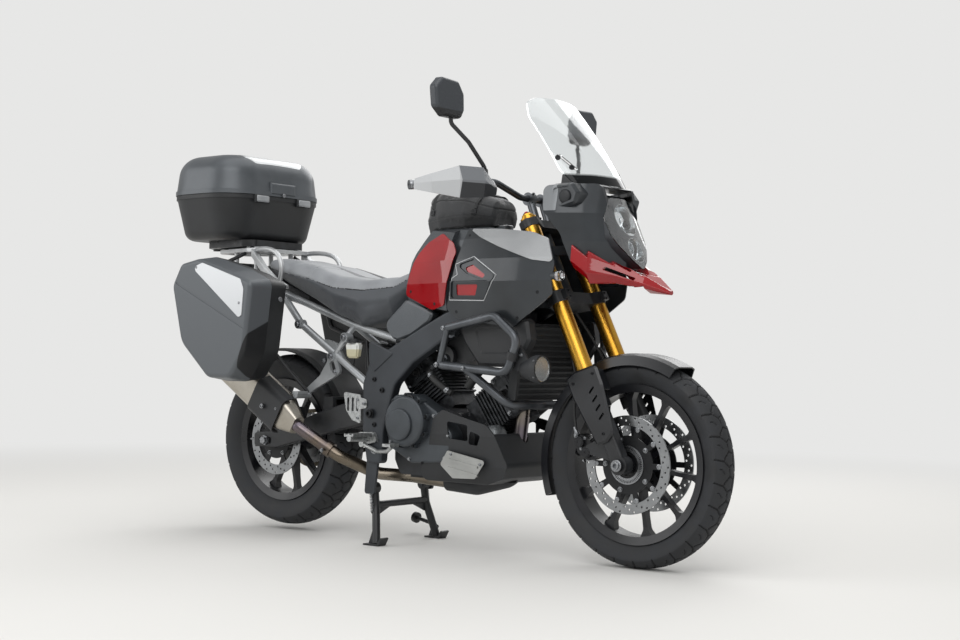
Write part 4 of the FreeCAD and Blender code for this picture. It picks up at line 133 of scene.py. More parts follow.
# Gloss and metal show the backdrop too, at a level that leaves dark plastics dark.
mirrored = add(sky, "ShaderNodeMath", {0: rays["Is Glossy Ray"]}, operation="MULTIPLY")
mirrored.inputs[1].default_value = MIRRORED_SHARE
seen = add(sky, "ShaderNodeMath", {0: seen.outputs[0], 1: mirrored.outputs[0]}, operation="MAXIMUM")
level = add(sky, "ShaderNodeMapRange", {"Value": seen.outputs[0]}, To_Min=0.5, To_Max=BACKDROP_LEVEL)
sky.nodes["Background"].inputs["Color"].default_value = linear(BACKDROP)
sky.links.new(level.outputs["Result"], sky.nodes["Background"].inputs["Strength"])

LAMPS_AIM = Vector((0, 0, 0.7))
LAMPS = (  # name, place, width, height, watts
    ("key_lamp", (2.6, -4.2, 4.4), 4.8, 3.6, 150.0),
    ("fill_lamp", (-4.2, -4.4, 2.8), 4.4, 3.6, 95.0),
    ("rim_lamp", (-1.5, 4.5, 4.0), 4.4, 3.2, 105.0),
    ("top_lamp", (0.2, 0.0, 5.4), 5.5, 4.2, 100.0),
)
for name, place, width, height, watts in LAMPS:
    lamp = bpy.data.lights.new(name, "AREA")
    lamp.shape = "RECTANGLE"
    lamp.size, lamp.size_y, lamp.energy = width, height, watts
    holder = bpy.data.objects.new(name, lamp)
    scene.collection.objects.link(holder)
    holder.location = place
    holder.rotation_euler = (LAMPS_AIM - Vector(place)).to_track_quat("-Z", "Y").to_euler()


# Tyres: vulcanised rubber on a cord carcass, moulded with deep zigzag grooves and a smooth sidewall.
# Each stands for the plain CAD ring of the same size: crown radius, section width and rim seat.
AXLE_AHEAD = 853.0  # how far the front axle is ahead of the model's origin, in millimetres


def at(x, y, z):
    """A place in millimetres from under the front axle, ahead, left and up, as metres in the frame."""
    return Vector(((x + AXLE_AHEAD) / 1000, y / 1000, z / 1000))


def relief(tree, surface, height, depth):
    """Lets a pattern of heights from 0 to 1 stand this many millimetres proud."""
    bump = add(tree, "ShaderNodeBump", {"Height": height}, Strength=1.0, Distance=depth / 1000)
    tree.links.new(bump.outputs["Normal"], surface.inputs["Normal"])


def shade(tree, surface, socket, share, first, second, begin=0.3, end=0.7):
    """Runs one input of the shader from a first value to a second as a pattern goes from begin to end."""
    ramp = add(tree, "ShaderNodeMapRange", {"Value": share}, From_Min=begin, From_Max=end)
    if isinstance(first, str):
        mix = add(tree, "ShaderNodeMixRGB", {"Fac": ramp.outputs["Result"]})
        mix.inputs["Color1"].default_value = linear(first)
        mix.inputs["Color2"].default_value = linear(second)
        tree.links.new(mix.outputs["Color"], surface.inputs[socket])
    else:
        ramp.inputs["To Min"].default_value = first
        ramp.inputs["To Max"].default_value = second
        tree.links.new(ramp.outputs["Result"], surface.inputs[socket])


def noise(tree, where, wide, detail):
    """A noise pattern with features this many millimetres wide."""
    return add(tree, "ShaderNodeTexNoise", {"Vector": where}, Scale=1000 / wide, Detail=detail)


def cells_of(tree, where, wide, feature="SMOOTH_F1"):
    """A pattern of cells this many millimetres wide, soft at their edges or sharp."""
    return add(tree, "ShaderNodeTexVoronoi", {"Vector": where}, Scale=1000 / wide, feature=feature)


def from_axle(tree, spot, axle):
    """How far a spot is from a wheel's axle line, in metres."""
    flat = add(tree, "ShaderNodeVectorMath", {0: spot}, operation="MULTIPLY")
    flat.inputs[1].default_value = (1, 0, 1)
    gap = add(tree, "ShaderNodeVectorMath", {0: flat.outputs[0]}, operation="DISTANCE")
    gap.inputs[1].default_value = at(axle[0], 0, axle[1])
    return gap.outputs["Value"]


def put(name, bm, body, slot, *materials, crease=35):
    """Ends a mesh drawn in millimetres: to metres, with its materials, fixed to a body."""
    bmesh.ops.recalc_face_normals(bm, faces=bm.faces)
    for vert in bm.verts:
        vert.co = at(*vert.co)
    for face in bm.faces:
        face.smooth = True
    for edge in bm.edges:
        edge.smooth = len(edge.link_faces) != 2 or edge.calc_face_angle(0) < math.radians(crease)
    mesh = bpy.data.meshes.new(name)
    bm.to_mesh(mesh)
    bm.free()
    for material in materials:
        mesh.materials.append(material)
    piece = bpy.data.objects.new(name, mesh)
    scene.collection.objects.link(piece)
    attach(piece, body)


FRONT_AXLE, REAR_AXLE = (0.0, 329.0), (-1555.0, 339.0)
TREAD_SIDES = 1080
CROWN_STEPS = 52
CROWN_DROP = 26.0
GROOVE_DEEP = 4.5
# A groove's ends, along the tread in pitches and across in half widths, and its half width in mm.
GROOVES = (
    (0.00, 0.46, 0.24, 0.14, 2.6),
    (0.24, 0.14, 0.60, 0.20, 2.6),
    (0.60, 0.20, 0.84, 0.52, 2.6),
    (0.84, 0.52, 1.00, 0.46, 2.6),
    (0.84, 0.52, 0.94, 0.97, 2.8),
    (0.24, 0.14, 0.16, -0.12, 2.2),
    (0.36, 0.52, 0.52, 0.66, 1.5),
    (0.52, 0.66, 0.54, 0.78, 1.5),
)


def tyre_outline(radius, half, rim_radius, rim_half):
    """The outside of the section, from bead to bead, as rows of (radius, across, on the crown)."""
    round_r = (half**2 + CROWN_DROP**2) / (2 * CROWN_DROP)
    reach = math.asin(half / round_r)
    seat_y = rim_half - 7.5
    wall = [(rim_radius + 0.5, seat_y - 9), (rim_radius + 0.5, seat_y), (rim_radius + 13, rim_half - 3.5)]
    low, high = (rim_radius + 13, rim_half - 3.5), (radius - CROWN_DROP, half)
    bulge = (rim_radius + 44, half * 1.01)
    for i in range(1, 13):
        t = i / 13
        a, b, c = (1 - t) ** 2, 2 * t * (1 - t), t * t
        wall.append((a * low[0] + b * bulge[0] + c * high[0], a * low[1] + b * bulge[1] + c * high[1]))
    rows = [(r, -y, 0.0) for r, y in wall]
    for i in range(CROWN_STEPS + 1):
        lean = (2 * i / CROWN_STEPS - 1) * reach
        rows.append((radius - round_r * (1 - math.cos(lean)), round_r * math.sin(lean), 1.0))
    return rows + [(r, y, 0.0) for r, y in reversed(wall)]


def groove_depth(along, across, pitch, half):
    """How deep the moulded grooves are at each point of the tread, from 0 to 1."""
    depth = np.zeros_like(along)
    for mirrored, shift in ((1, 0.0), (-1, 0.5)):
        u = along / pitch + shift
        v = across * mirrored
        for s0, y0, s1, y1, wide in GROOVES:
            start = np.array((s0 * pitch, y0 * half))
            run = np.array((s1 * pitch, y1 * half)) - start
            for wrap in (-1, 0, 1):
                dx, dy = (np.mod(u, 1.0) + wrap) * pitch - start[0], v - start[1]
                t = np.clip((dx * run[0] + dy * run[1]) / (run @ run), 0, 1)
                gap = np.hypot(dx - t * run[0], dy - t * run[1])
                depth = np.maximum(depth, np.clip((wide + 0.7 - gap) / 1.4, 0, 1))
    return depth


def tyre(name, node, body, axle, radius, width, rim_radius, rim_half, pitches):
    """A moulded tyre as one mesh, with its grooves pressed in and painted darker at their floors as painted
    shade.
    """
    rows = tyre_outline(radius, width / 2, rim_radius, rim_half)
    count = len(rows)
    r, y, crown = (np.array(values) for values in zip(*rows))
    turn = np.arange(TREAD_SIDES) * 2 * np.pi / TREAD_SIDES
    along = (turn * radius)[:, None] + np.zeros(count)[None, :]
    across = np.zeros(TREAD_SIDES)[:, None] + y[None, :]
    depth = groove_depth(along, across, 2 * np.pi * radius / pitches, width / 2) * crown[None, :]
    reach = r[None, :] - GROOVE_DEEP * depth
    x = axle[0] + reach * np.cos(turn)[:, None]
    z = axle[1] + reach * np.sin(turn)[:, None]
    points = np.stack(((x + AXLE_AHEAD) / 1000, across / 1000, z / 1000), axis=-1).reshape(-1, 3)
    ring, row = np.meshgrid(np.arange(TREAD_SIDES), np.arange(count - 1), indexing="ij")
    after = (ring + 1) % TREAD_SIDES
    faces = np.stack(
        (ring * count + row, ring * count + row + 1, after * count + row + 1, after * count + row), -1
    )
    mesh = bpy.data.meshes.new(name)
    mesh.from_pydata(points.tolist(), [], faces.reshape(-1, 4).tolist())
    mesh.polygons.foreach_set("use_smooth", np.ones(len(mesh.polygons), dtype=bool))
    # Faces at the grooves' floors take the darker rubber, as painted shade.
    low = (depth[ring, row] + depth[after, row + 1] > 1.0).astype(np.int32).reshape(-1)
    mesh.polygons.foreach_set("material_index", low)
    mesh.materials.append(tyre_rubber)
    mesh.materials.append(dark_rubber_and_groove_shade)
    piece = bpy.data.objects.new(name, mesh)
    scene.collection.objects.link(piece)
    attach(piece, body)
    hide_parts(node)


# Black rubber from a steel mould: matt, slightly greyed where it has run, with a fine cloth-like grain.
tyre_rubber, tree, surface, spot = finish(
    "rubber_moulded_tyre", Base_Color="#212326", Roughness=0.7, IOR=1.52
)
dust = noise(tree, spot, 60, 5.0)
shade(tree, surface, "Base Color", dust.outputs["Fac"], "#1b1c1e", "#2b2d31")
shade(tree, surface, "Roughness", dust.outputs["Fac"], 0.6, 0.8)
# The grain is drawn 0.9 mm wide, since the real 0.2 mm one is too fine to show.
pores = noise(tree, spot, 0.9, 2.0)
relief(tree, surface, pores.outputs["Fac"], 0.12)
# The darker rubber is painted shade on the tyres' groove floors, and plain dark rubber elsewhere.
dark_rubber_and_groove_shade, tree, surface, spot = finish(
    "rubber_moulded_dark_and_groove_shade", Base_Color="#0f1011", Roughness=0.85, IOR=1.52
)
grit = noise(tree, spot, 5, 4.0)
shade(tree, surface, "Base Color", grit.outputs["Fac"], "#0b0b0c", "#17181a")
tyre("front_tyre_tread", "front_tyre", "front_wheel", FRONT_AXLE, FRONT_AXLE[1], 110.0, 241.0, 38.0, 27)
tyre("rear_tyre_tread", "rear_tyre", "rear_wheel", REAR_AXLE, 321.0, 150.0, 216.0, 54.0, 24)


# Wheels: cast aluminium rims in black powder coat, with drilled discs of ground steel on black carriers.
# The discs are bolted to the hubs, and a slotted ring beside the hub gives the wheel's speed.
def dress(material, *names):
    """Gives every face of a CAD node one material."""
    for name in names:
        nodes[name].data.materials.clear()
        nodes[name].data.materials.append(material)


def turned(bm, start, direction, outline, sides=16, slot=0):
    """Adds a round solid along a direction from (distance along, radius) pairs, closed at radius 0."""
    axis = Vector(direction).normalized()
    u = axis.orthogonal().normalized()
    v = axis.cross(u)
    rings = []
    for along, radius in outline:
        centre = Vector(start) + axis * along
        if radius == 0:
            rings.append([bm.verts.new(centre)])
        else:
            turns = [2 * math.pi * i / sides for i in range(sides)]
            rings.append(
                [bm.verts.new(centre + (u * math.cos(a) + v * math.sin(a)) * radius) for a in turns]
            )
    for near, far in zip(rings, rings[1:]):
        for i in range(sides):
            j = (i + 1) % sides
            loop = [near[i], near[j]] if len(near) > 1 else [near[0]]
            loop += [far[j], far[i]] if len(far) > 1 else [far[0]]
            if len(loop) > 2:
                bm.faces.new(loop).material_index = slot


def socket_bolt(bm, place, direction, radius, slot=0):
    """A round socket head with a flange under it."""
    tall = radius * 0.9
    rim = [(-1.0, 0), (-1.0, radius * 1.3), (radius * 0.16, radius * 1.3), (radius * 0.2, radius)]
    head = [(tall * 0.86, radius), (tall, radius * 0.86), (tall, radius * 0.56), (tall * 0.4, radius * 0.5)]
    turned(bm, place, direction, rim + head + [(tall * 0.4, 0)], 18, slot)


def hex_bolt(bm, place, direction, radius, slot=0):
    """A six-sided head on a round washer."""
    washer = [(-1.0, 0), (-1.0, radius * 1.35), (1.4, radius * 1.35), (1.4, radius * 0.9)]
    turned(bm, place, direction, washer, 18, slot)
    head = [(1.0, radius), (radius * 0.95, radius), (radius * 1.1, radius * 0.86), (radius * 1.1, 0)]
    turned(bm, place, direction, head, 6, slot)


# Zinc-plated steel: bright grey with a slight blur, a little darker where dirt stays.
zinc_steel, tree, surface, spot = finish(
    "steel_zinc_plated", Base_Color="#b4b6b8", Metallic=1.0, Roughness=0.3
)
film = noise(tree, spot, 4, 4.0)
shade(tree, surface, "Base Color", film.outputs["Fac"], "#7f8184", "#a0a2a5")
shade(tree, surface, "Roughness", film.outputs["Fac"], 0.22, 0.42)
# Black-oxide steel: near black, with a soft metal glint along its edges.
black_steel, tree, surface, spot = finish(
    "steel_black_oxide", Base_Color="#2c2d2f", Metallic=0.8, Roughness=0.42
)
film = noise(tree, spot, 3, 4.0)
shade(tree, surface, "Roughness", film.outputs["Fac"], 0.34, 0.55)

# Powder coat on cast aluminium: deep black and softly glossy, with an orange-skin ripple 1.6 mm across.
rim_coat, tree, surface, spot = finish(
    "powder_coat_black_gloss", Base_Color="#16171a", Roughness=0.3, IOR=1.5
)
ripple = noise(tree, spot, 1.6, 1.0)
relief(tree, surface, ripple.outputs["Fac"], 0.05)
haze = noise(tree, spot, 90, 4.0)
shade(tree, surface, "Roughness", haze.outputs["Fac"], 0.24, 0.4)
shade(tree, surface, "Base Color", haze.outputs["Fac"], "#141518", "#1d1e22")
dress(rim_coat, "front_rim", "rear_rim")

# Ground stainless discs: concentric grinding marks 1.2 mm apart, drawn wider than the real 0.1 mm ones.
# Inside the swept band the carrier is anodised black.
DISCS = (  # node, axle, inner radius of the swept band in metres
    ("front_discs", FRONT_AXLE, 0.1225),
    ("rear_disc", REAR_AXLE, 0.0935),
)
for name, axle, band in DISCS:
    disc_steel, tree, surface, spot = finish("stainless_ground_" + name, Metallic=1.0, Roughness=0.3)
    far = from_axle(tree, spot, axle)
    turns = add(tree, "ShaderNodeMath", {0: far}, operation="MULTIPLY")
    turns.inputs[1].default_value = 2 * math.pi / 0.0012
    marks = add(tree, "ShaderNodeMath", {0: turns.outputs[0]}, operation="SINE")
    relief(tree, surface, marks.outputs[0], 0.02)
    heat = noise(tree, spot, 60, 3.0)
    heated = add(tree, "ShaderNodeMapRange", {"Value": heat.outputs["Fac"]}, From_Min=0.3, From_Max=0.7)
    bright = add(tree, "ShaderNodeMixRGB", {"Fac": heated.outputs["Result"]})
    bright.inputs["Color1"].default_value = linear("#8a8c8e")
    bright.inputs["Color2"].default_value = linear("#9a9c9e")
    inside = add(tree, "ShaderNodeMath", {0: far}, operation="LESS_THAN")
    inside.inputs[1].default_value = band
    colour = add(tree, "ShaderNodeMixRGB", {"Fac": inside.outputs[0], "Color1": bright.outputs["Color"]})
    colour.inputs["Color2"].default_value = linear("#191a1c")
    tree.links.new(colour.outputs["Color"], surface.inputs["Base Color"])
    shade(tree, surface, "Metallic", inside.outputs[0], 1.0, 0.4, 0.0, 1.0)
    shade(tree, surface, "Roughness", inside.outputs[0], 0.28, 0.45, 0.0, 1.0)
    dress(disc_steel, name)

# Ten buttons fix each front disc to its carrier, and five bolts fix the carrier to the hub.
BUTTON_CIRCLE, HUB_CIRCLE = 116, 82
bm = bmesh.new()
for side in (1, -1):
    for i in range(10):
        turn = math.radians(i * 36.0)
        x, z = BUTTON_CIRCLE * math.cos(turn), FRONT_AXLE[1] + BUTTON_CIRCLE * math.sin(turn)
        button = [(-1.0, 0), (-1.0, 8.5), (1.6, 8.5), (2.2, 7.6), (2.2, 4.4), (1.2, 4.0), (1.2, 0)]
        turned(bm, (x, side * 72.5, z), (0, side, 0), button, 18)
        if i % 2:
            x, z = HUB_CIRCLE * math.cos(turn), FRONT_AXLE[1] + HUB_CIRCLE * math.sin(turn)
            socket_bolt(bm, (x, side * 72.5, z), (0, side, 0), 6.5)
put("front_disc_buttons", bm, "front_wheel", "disc_steel", zinc_steel)

# The speed ring is a stamped steel disc with 60 slots.
bm = bmesh.new()
for i in range(60):
    a, b = math.radians(i * 6.0), math.radians(i * 6.0 + 3.4)
    corners = [(r * math.cos(t), r * math.sin(t)) for r, t in ((48, a), (58, a), (58, b), (48, b))]
    low = [bm.verts.new((x, -73.0, FRONT_AXLE[1] + z)) for x, z in corners]
    high = [bm.verts.new((x, -76.0, FRONT_AXLE[1] + z)) for x, z in corners]
    bm.faces.new(low)
    bm.faces.new(high)
    for j in range(4):
        k = (j + 1) % 4
        bm.faces.new((low[j], low[k], high[k], high[j]))
for inner, outer in ((42.0, 49.0), (57.0, 61.0)):
    start = (0, -72.6, FRONT_AXLE[1])
    turned(bm, start, (0, -1, 0), [(0, inner), (0, outer), (3.6, outer), (3.6, inner), (0, inner)], 72)
put("front_speed_ring", bm, "front_wheel", "disc_steel", zinc_steel)

# The rear disc's socket bolts are on the right of the hub, and the sprocket's hex bolts on the left.
HUB_BOLTS = (  # side, how many, radius of their circle, how far out they sit
    (-1, 5, 60.0, 90.5),
    (1, 6, 56.0, 100.5),
)
bm = bmesh.new()
for side, count, radius, y in HUB_BOLTS:
    for i in range(count):
        turn = math.radians(i * 360.0 / count + 20)
        x, z = REAR_AXLE[0] + radius * math.cos(turn), REAR_AXLE[1] + radius * math.sin(turn)
        if side < 0:
            socket_bolt(bm, (x, side * y, z), (0, side, 0), 6.0)
        else:
            hex_bolt(bm, (x, side * y, z), (0, side, 0), 6.5)
put("rear_hub_bolts", bm, "rear_wheel", "disc_steel", zinc_steel)

# Valves: a rubber stem with a steel cap.
# Each is pushed through the well of its rim.
VALVES = (  # name, wheel, axle, radius of the rim's well, angle
    ("front_valve", "front_wheel", FRONT_AXLE, 227.0, -122.0),
    ("rear_valve", "rear_wheel", REAR_AXLE, 202.0, -122.0),
)
for name, body, axle, radius, angle in VALVES:
    turn = math.radians(angle)
    out = Vector((math.cos(turn), 0, math.sin(turn)))
    start = Vector((axle[0], 0, axle[1])) + out * (radius + 1)
    bm = bmesh.new()
    turned(bm, start, -out, [(0, 0), (0, 7.5), (5, 7.5), (8, 4.6), (22, 4.0), (22, 2.8)], 14, 0)
    turned(bm, start, -out, [(21, 2.8), (30, 2.8), (31, 4.2), (38, 4.2), (39, 3.4), (39, 0)], 14, 1)
    put(name, bm, body, "tyre", dark_rubber_and_groove_shade, zinc_steel)


# Final drive: a roller chain of oiled steel on a 41-tooth steel sprocket, bolted to the rear hub.
# Its stamped plates and turned rollers are dark where dust sticks to the oil.
chain_steel, tree, surface, spot = finish(
    "steel_oiled_chain", Base_Color="#5e5a52", Metallic=1.0, Roughness=0.38
)
oil = noise(tree, spot, 7, 5.0)
shade(tree, surface, "Base Color", oil.outputs["Fac"], "#3a3732", "#857e70")
shade(tree, surface, "Roughness", oil.outputs["Fac"], 0.28, 0.6)
dress(chain_steel, "drive_chain")
sprocket_steel, tree, surface, spot = finish("steel_ground_sprocket", Base_Color="#8c8d8e", Metallic=1.0)
wear = noise(tree, spot, 18, 5.0)
shade(tree, surface, "Base Color", wear.outputs["Fac"], "#77787a", "#a0a1a2")
shade(tree, surface, "Roughness", wear.outputs["Fac"], 0.3, 0.5)
dress(sprocket_steel, "rear_sprocket")


# Fork: gold anodised outer tubes over steel stanchions, in black cast clamps and axle castings.
# Radial calipers bolt to the castings, and a rubber hose runs up from each.
RAKE = math.radians(25.5)
gold_tube, tree, surface, spot = finish(
    "aluminium_anodised_gold", Base_Color="#d8a136", Metallic=1.0, Roughness=0.3
)
tone = noise(tree, spot, 120, 3.0)
shade(tree, surface, "Base Color", tone.outputs["Fac"], "#bf8d31", "#d6a545")
# The tube is drawn down its length, which leaves lines 1.5 mm apart along the fork's lean.
drawn = add(tree, "ShaderNodeMapping", {"Vector": spot}, vector_type="POINT")
drawn.inputs["Rotation"].default_value = (0, RAKE, 0)
drawn.inputs["Scale"].default_value = (1, 1, 0.02)
lines = noise(tree, drawn.outputs[0], 1.5, 2.0)
shade(tree, surface, "Roughness", lines.outputs["Fac"], 0.24, 0.38)
dress(gold_tube, "fork_tubes")

# Sand-cast aluminium in black enamel: a satin black skin over a 0.8 mm sandy grain.
cast_black, tree, surface, spot = finish(
    "aluminium_cast_black_enamel", Base_Color="#1b1c1e", Roughness=0.45
)
sand = noise(tree, spot, 0.8, 3.0)
relief(tree, surface, sand.outputs["Fac"], 0.14)
worn = noise(tree, spot, 45, 5.0)
shade(tree, surface, "Base Color", worn.outputs["Fac"], "#17181a", "#26282b")
shade(tree, surface, "Roughness", worn.outputs["Fac"], 0.36, 0.55)
dress(cast_black, "fork_lowers", "fork_yokes", "swingarm")

caliper_black, tree, surface, spot = finish("aluminium_anodised_black", Base_Color="#121315", Metallic=0.35)
soot = noise(tree, spot, 12, 5.0)
shade(tree, surface, "Base Color", soot.outputs["Fac"], "#101113", "#232427")
shade(tree, surface, "Roughness", soot.outputs["Fac"], 0.3, 0.5)
dress(caliper_black, "front_calipers")

hose_rubber, tree, surface, spot = finish(
    "rubber_extruded_hose", Base_Color="#191a1b", Roughness=0.55, IOR=1.52
)
cloth = noise(tree, spot, 2, 3.0)
relief(tree, surface, cloth.outputs["Fac"], 0.1)
dress(hose_rubber, "brake_hoses")

# Fork caps: hexagonal gold plugs with a red adjuster, and bolts that pinch the clamps on the tubes.
FORK_Y = 107.0
TRAIL = 109.0
STEM_AHEAD = -(TRAIL * math.cos(RAKE) - FRONT_AXLE[1] * math.sin(RAKE))
PINCH_BOLTS = ((44.5, 568.0), (44.5, 588.0), (41, 850.0))  # ahead of the legs, up from the axle
fork_up = Vector((-math.sin(RAKE), 0, math.cos(RAKE)))
fork_ahead = Vector((math.cos(RAKE), 0, math.sin(RAKE)))


def on_fork(ahead_of_legs, across, up):
    """A place given along the fork: ahead of the legs' line, across, and up from the axle."""
    return Vector((0, across, FRONT_AXLE[1])) + fork_ahead * ahead_of_legs + fork_up * up


red_anodised, tree, surface, spot = finish(
    "aluminium_anodised_red", Base_Color="#b3161c", Metallic=1.0, Roughness=0.3
)
fine = noise(tree, spot, 2, 2.0)
shade(tree, surface, "Roughness", fine.outputs["Fac"], 0.24, 0.4)

bm = bmesh.new()
for side in (1, -1):
    place = on_fork(0, side * FORK_Y, 879.6)
    turned(bm, place, fork_up, [(0, 0), (0, 17.5), (5, 17.5), (6.5, 16), (6.5, 0)], 6, 0)
    turned(bm, place, fork_up, [(6, 12.5), (9.5, 12.5), (10.5, 11.5), (10.5, 0)], 24, 1)
    turned(bm, place, fork_up, [(10, 7.0), (14, 7.0), (15, 6), (15, 2.4), (13, 2.2), (13, 0)], 18, 2)
    for ahead_by, up in PINCH_BOLTS:
        socket_bolt(bm, on_fork(ahead_by, side * (FORK_Y - 4), up), fork_ahead, 3.4, 1)
    seal = [(0, 21.6), (0, 29.2), (9, 29.2), (11, 28.0), (11, 21.6)]
    turned(bm, on_fork(0, side * FORK_Y, 291.0), fork_up, seal, 36, 3)
    for up in (-16.0, 14.0):
        socket_bolt(bm, on_fork(-25, side * 112, up), -fork_ahead, 4.0, 1)
stem_top = on_fork(STEM_AHEAD, 0, 875.6)
turned(bm, stem_top, fork_up, [(0, 0), (0, 17), (7, 17), (8.5, 15.5), (8.5, 8), (4, 7.5), (4, 0)], 6, 1)
fork_parts = (gold_tube, black_steel, red_anodised, dark_rubber_and_groove_shade)
put("fork_caps_and_bolts", bm, "steering", "gold_anodised", *fork_parts)

# Each caliper's mounting and body bolts, its pistons' covers and the fitting of its hose.
bm = bmesh.new()
for side in (1, -1):
    for ahead_by, up in ((-126.0, 68.0), (-124.0, 150.0)):
        socket_bolt(bm, on_fork(ahead_by + 2, side * 104, up), -fork_ahead, 5.0, 0)
    for ahead_by, up in ((-84.0, 72.0), (-124.0, 108.0), (-96.0, 132.0), (-132.0, 128.0)):
        socket_bolt(bm, on_fork(ahead_by, side * 100, up), (0, side, 0), 4.0, 0)
    for ahead_by, up in ((-104.0, 88.0), (-116.0, 128.0)):
        cover = [(-1, 0), (-1, 13.5), (1.2, 13.5), (2.2, 12.4), (2.2, 5), (1.0, 4.4), (1.0, 0)]
        turned(bm, on_fork(ahead_by, side * 110, up), (0, side, 0), cover, 24, 1)
    fitting = on_fork(-119, side * 98, 158)
    turned(bm, fitting, fork_up, [(-4, 0), (-4, 8.5), (5, 8.5), (6, 6.4), (22, 5.6), (23, 4.6)], 14, 0)
    hex_bolt(bm, on_fork(-119, side * 104, 154), (0, side, 0), 6.0, 0)
put("caliper_bolts", bm, "steering", "cast_black", zinc_steel, caliper_black)

# The axle's end: a turned steel nut with a bored centre in the right casting.
# A hexagonal end shows on the left.
bm = bmesh.new()
nut = [(-1, 0), (-1, 19), (3, 19), (4.5, 17.5), (4.5, 13), (9, 12.4), (10, 11.4)]
nut += [(10, 7.6), (1, 7.2), (1, 0)]
turned(bm, (0, -134.4, FRONT_AXLE[1]), (0, -1, 0), nut, 36, 0)
turned(bm, (0, 130.4, FRONT_AXLE[1]), (0, 1, 0), [(-1, 0), (-1, 15), (3, 15), (4, 14), (4, 0)], 6, 0)
put("front_axle_nuts", bm, "steering", "disc_steel", zinc_steel)

# Front mudguard and leg guards: moulded ABS with a faint grain, screwed to the lower castings.
# The plastic is satin, a little paler and duller in broad patches where it has been wiped.
guard_plastic, tree, surface, spot = finish(
    "abs_moulded_satin_black", Base_Color="#1e2024", Roughness=0.4, IOR=1.53
)
crazed = cells_of(tree, spot, 1.1)
relief(tree, surface, crazed.outputs["Distance"], 0.04)
sheen = noise(tree, spot, 150, 3.0)
shade(tree, surface, "Base Color", sheen.outputs["Fac"], "#141518", "#1d1f23")
shade(tree, surface, "Roughness", sheen.outputs["Fac"], 0.26, 0.36)
dress(guard_plastic, "front_fender")

bm = bmesh.new()
for side in (1, -1):
    for ahead_by, up in ((-40.0, 296.0), (40.0, 296.0), (0.0, 108.0)):
        socket_bolt(bm, on_fork(ahead_by, side * 140.2, up), (0, side, 0), 4.2, 0)
put("leg_guard_bolts", bm, "steering", "black_plastic", black_steel)


# Engine: a V-twin of cast aluminium, enamelled black, with dark grey painted covers held by steel bolts.
# The cylinders carry machined fins, cam covers and a spark cap on the side of each head.
engine_black, tree, surface, spot = finish(
    "aluminium_cast_engine_black", Base_Color="#202224", Roughness=0.45
)
sand = noise(tree, spot, 1.1, 3.0)
relief(tree, surface, sand.outputs["Fac"], 0.2)
road_dust = noise(tree, spot, 60, 6.0)
shade(tree, surface, "Base Color", road_dust.outputs["Fac"], "#1a1b1d", "#34363a", 0.35, 0.75)
shade(tree, surface, "Roughness", road_dust.outputs["Fac"], 0.36, 0.62)
surface.inputs["Metallic"].default_value = 0.25
dress(engine_black, "engine_case")

# The fins are cut bare after the enamel, so their edges, 13 mm apart, catch the light.
fin_metal, tree, surface, spot = finish("aluminium_cast_finned", Base_Color="#2c2e31", Metallic=0.5)
patch = noise(tree, spot, 22, 6.0)
shade(tree, surface, "Base Color", patch.outputs["Fac"], "#1d1e20", "#55585c", 0.35, 0.8)
shade(tree, surface, "Roughness", patch.outputs["Fac"], 0.3, 0.55)
skin_grain = noise(tree, spot, 1.0, 3.0)
relief(tree, surface, skin_grain.outputs["Fac"], 0.16)
dress(fin_metal, "cylinders")

cover_paint, tree, surface, spot = finish("aluminium_cast_grey_paint", Base_Color="#3d4145", Roughness=0.4)
fleck = noise(tree, spot, 0.9, 2.0)
relief(tree, surface, fleck.outputs["Fac"], 0.07)
tone = noise(tree, spot, 110, 4.0)
shade(tree, surface, "Base Color", tone.outputs["Fac"], "#34383c", "#464b50")
shade(tree, surface, "Roughness", tone.outputs["Fac"], 0.34, 0.46)
surface.inputs["Metallic"].default_value = 0.3
dress(cover_paint, "engine_covers")

# Engine bolts, the oil filler's cap and the spark caps. Places are for the left or right cover they hold.
CLUTCH = (-808.0, 438.0)
CLUTCH_BOLT_CIRCLE = 88
CRANK = Vector((-700.0, 0, 385.0))
RIGHT_COVER_BOLTS = ((-898, 470), (-892, 364), (-806, 310), (-650, 320), (-636, 396), (-700, 460))
LEFT_COVER_BOLTS = ((-770, 416), (-752, 340), (-650, 330), (-622, 396), (-664, 460), (-738, 466))


def on_cylinder(lean, across, along, sideways, up):
    """A place drawn on an upright cylinder, leaned forward from the crank by an angle in degrees."""
    turn = math.radians(lean)
    x = along * math.cos(turn) + up * math.sin(turn)
    z = -along * math.sin(turn) + up * math.cos(turn)
    return CRANK + Vector((x, across + sideways, z))


bm = bmesh.new()
for i in range(9):
    turn = math.radians(i * 40.0 + 12)
    x = CLUTCH[0] + CLUTCH_BOLT_CIRCLE * math.cos(turn)
    z = CLUTCH[1] + CLUTCH_BOLT_CIRCLE * math.sin(turn)
    hex_bolt(bm, (x, -204.4, z), (0, -1, 0), 5.0, 1)
for x, z in RIGHT_COVER_BOLTS:
    hex_bolt(bm, (x, -186.4, z), (0, -1, 0), 5.0, 0)
for x, z in LEFT_COVER_BOLTS:
    hex_bolt(bm, (x, 190.4, z), (0, 1, 0), 5.0, 0)
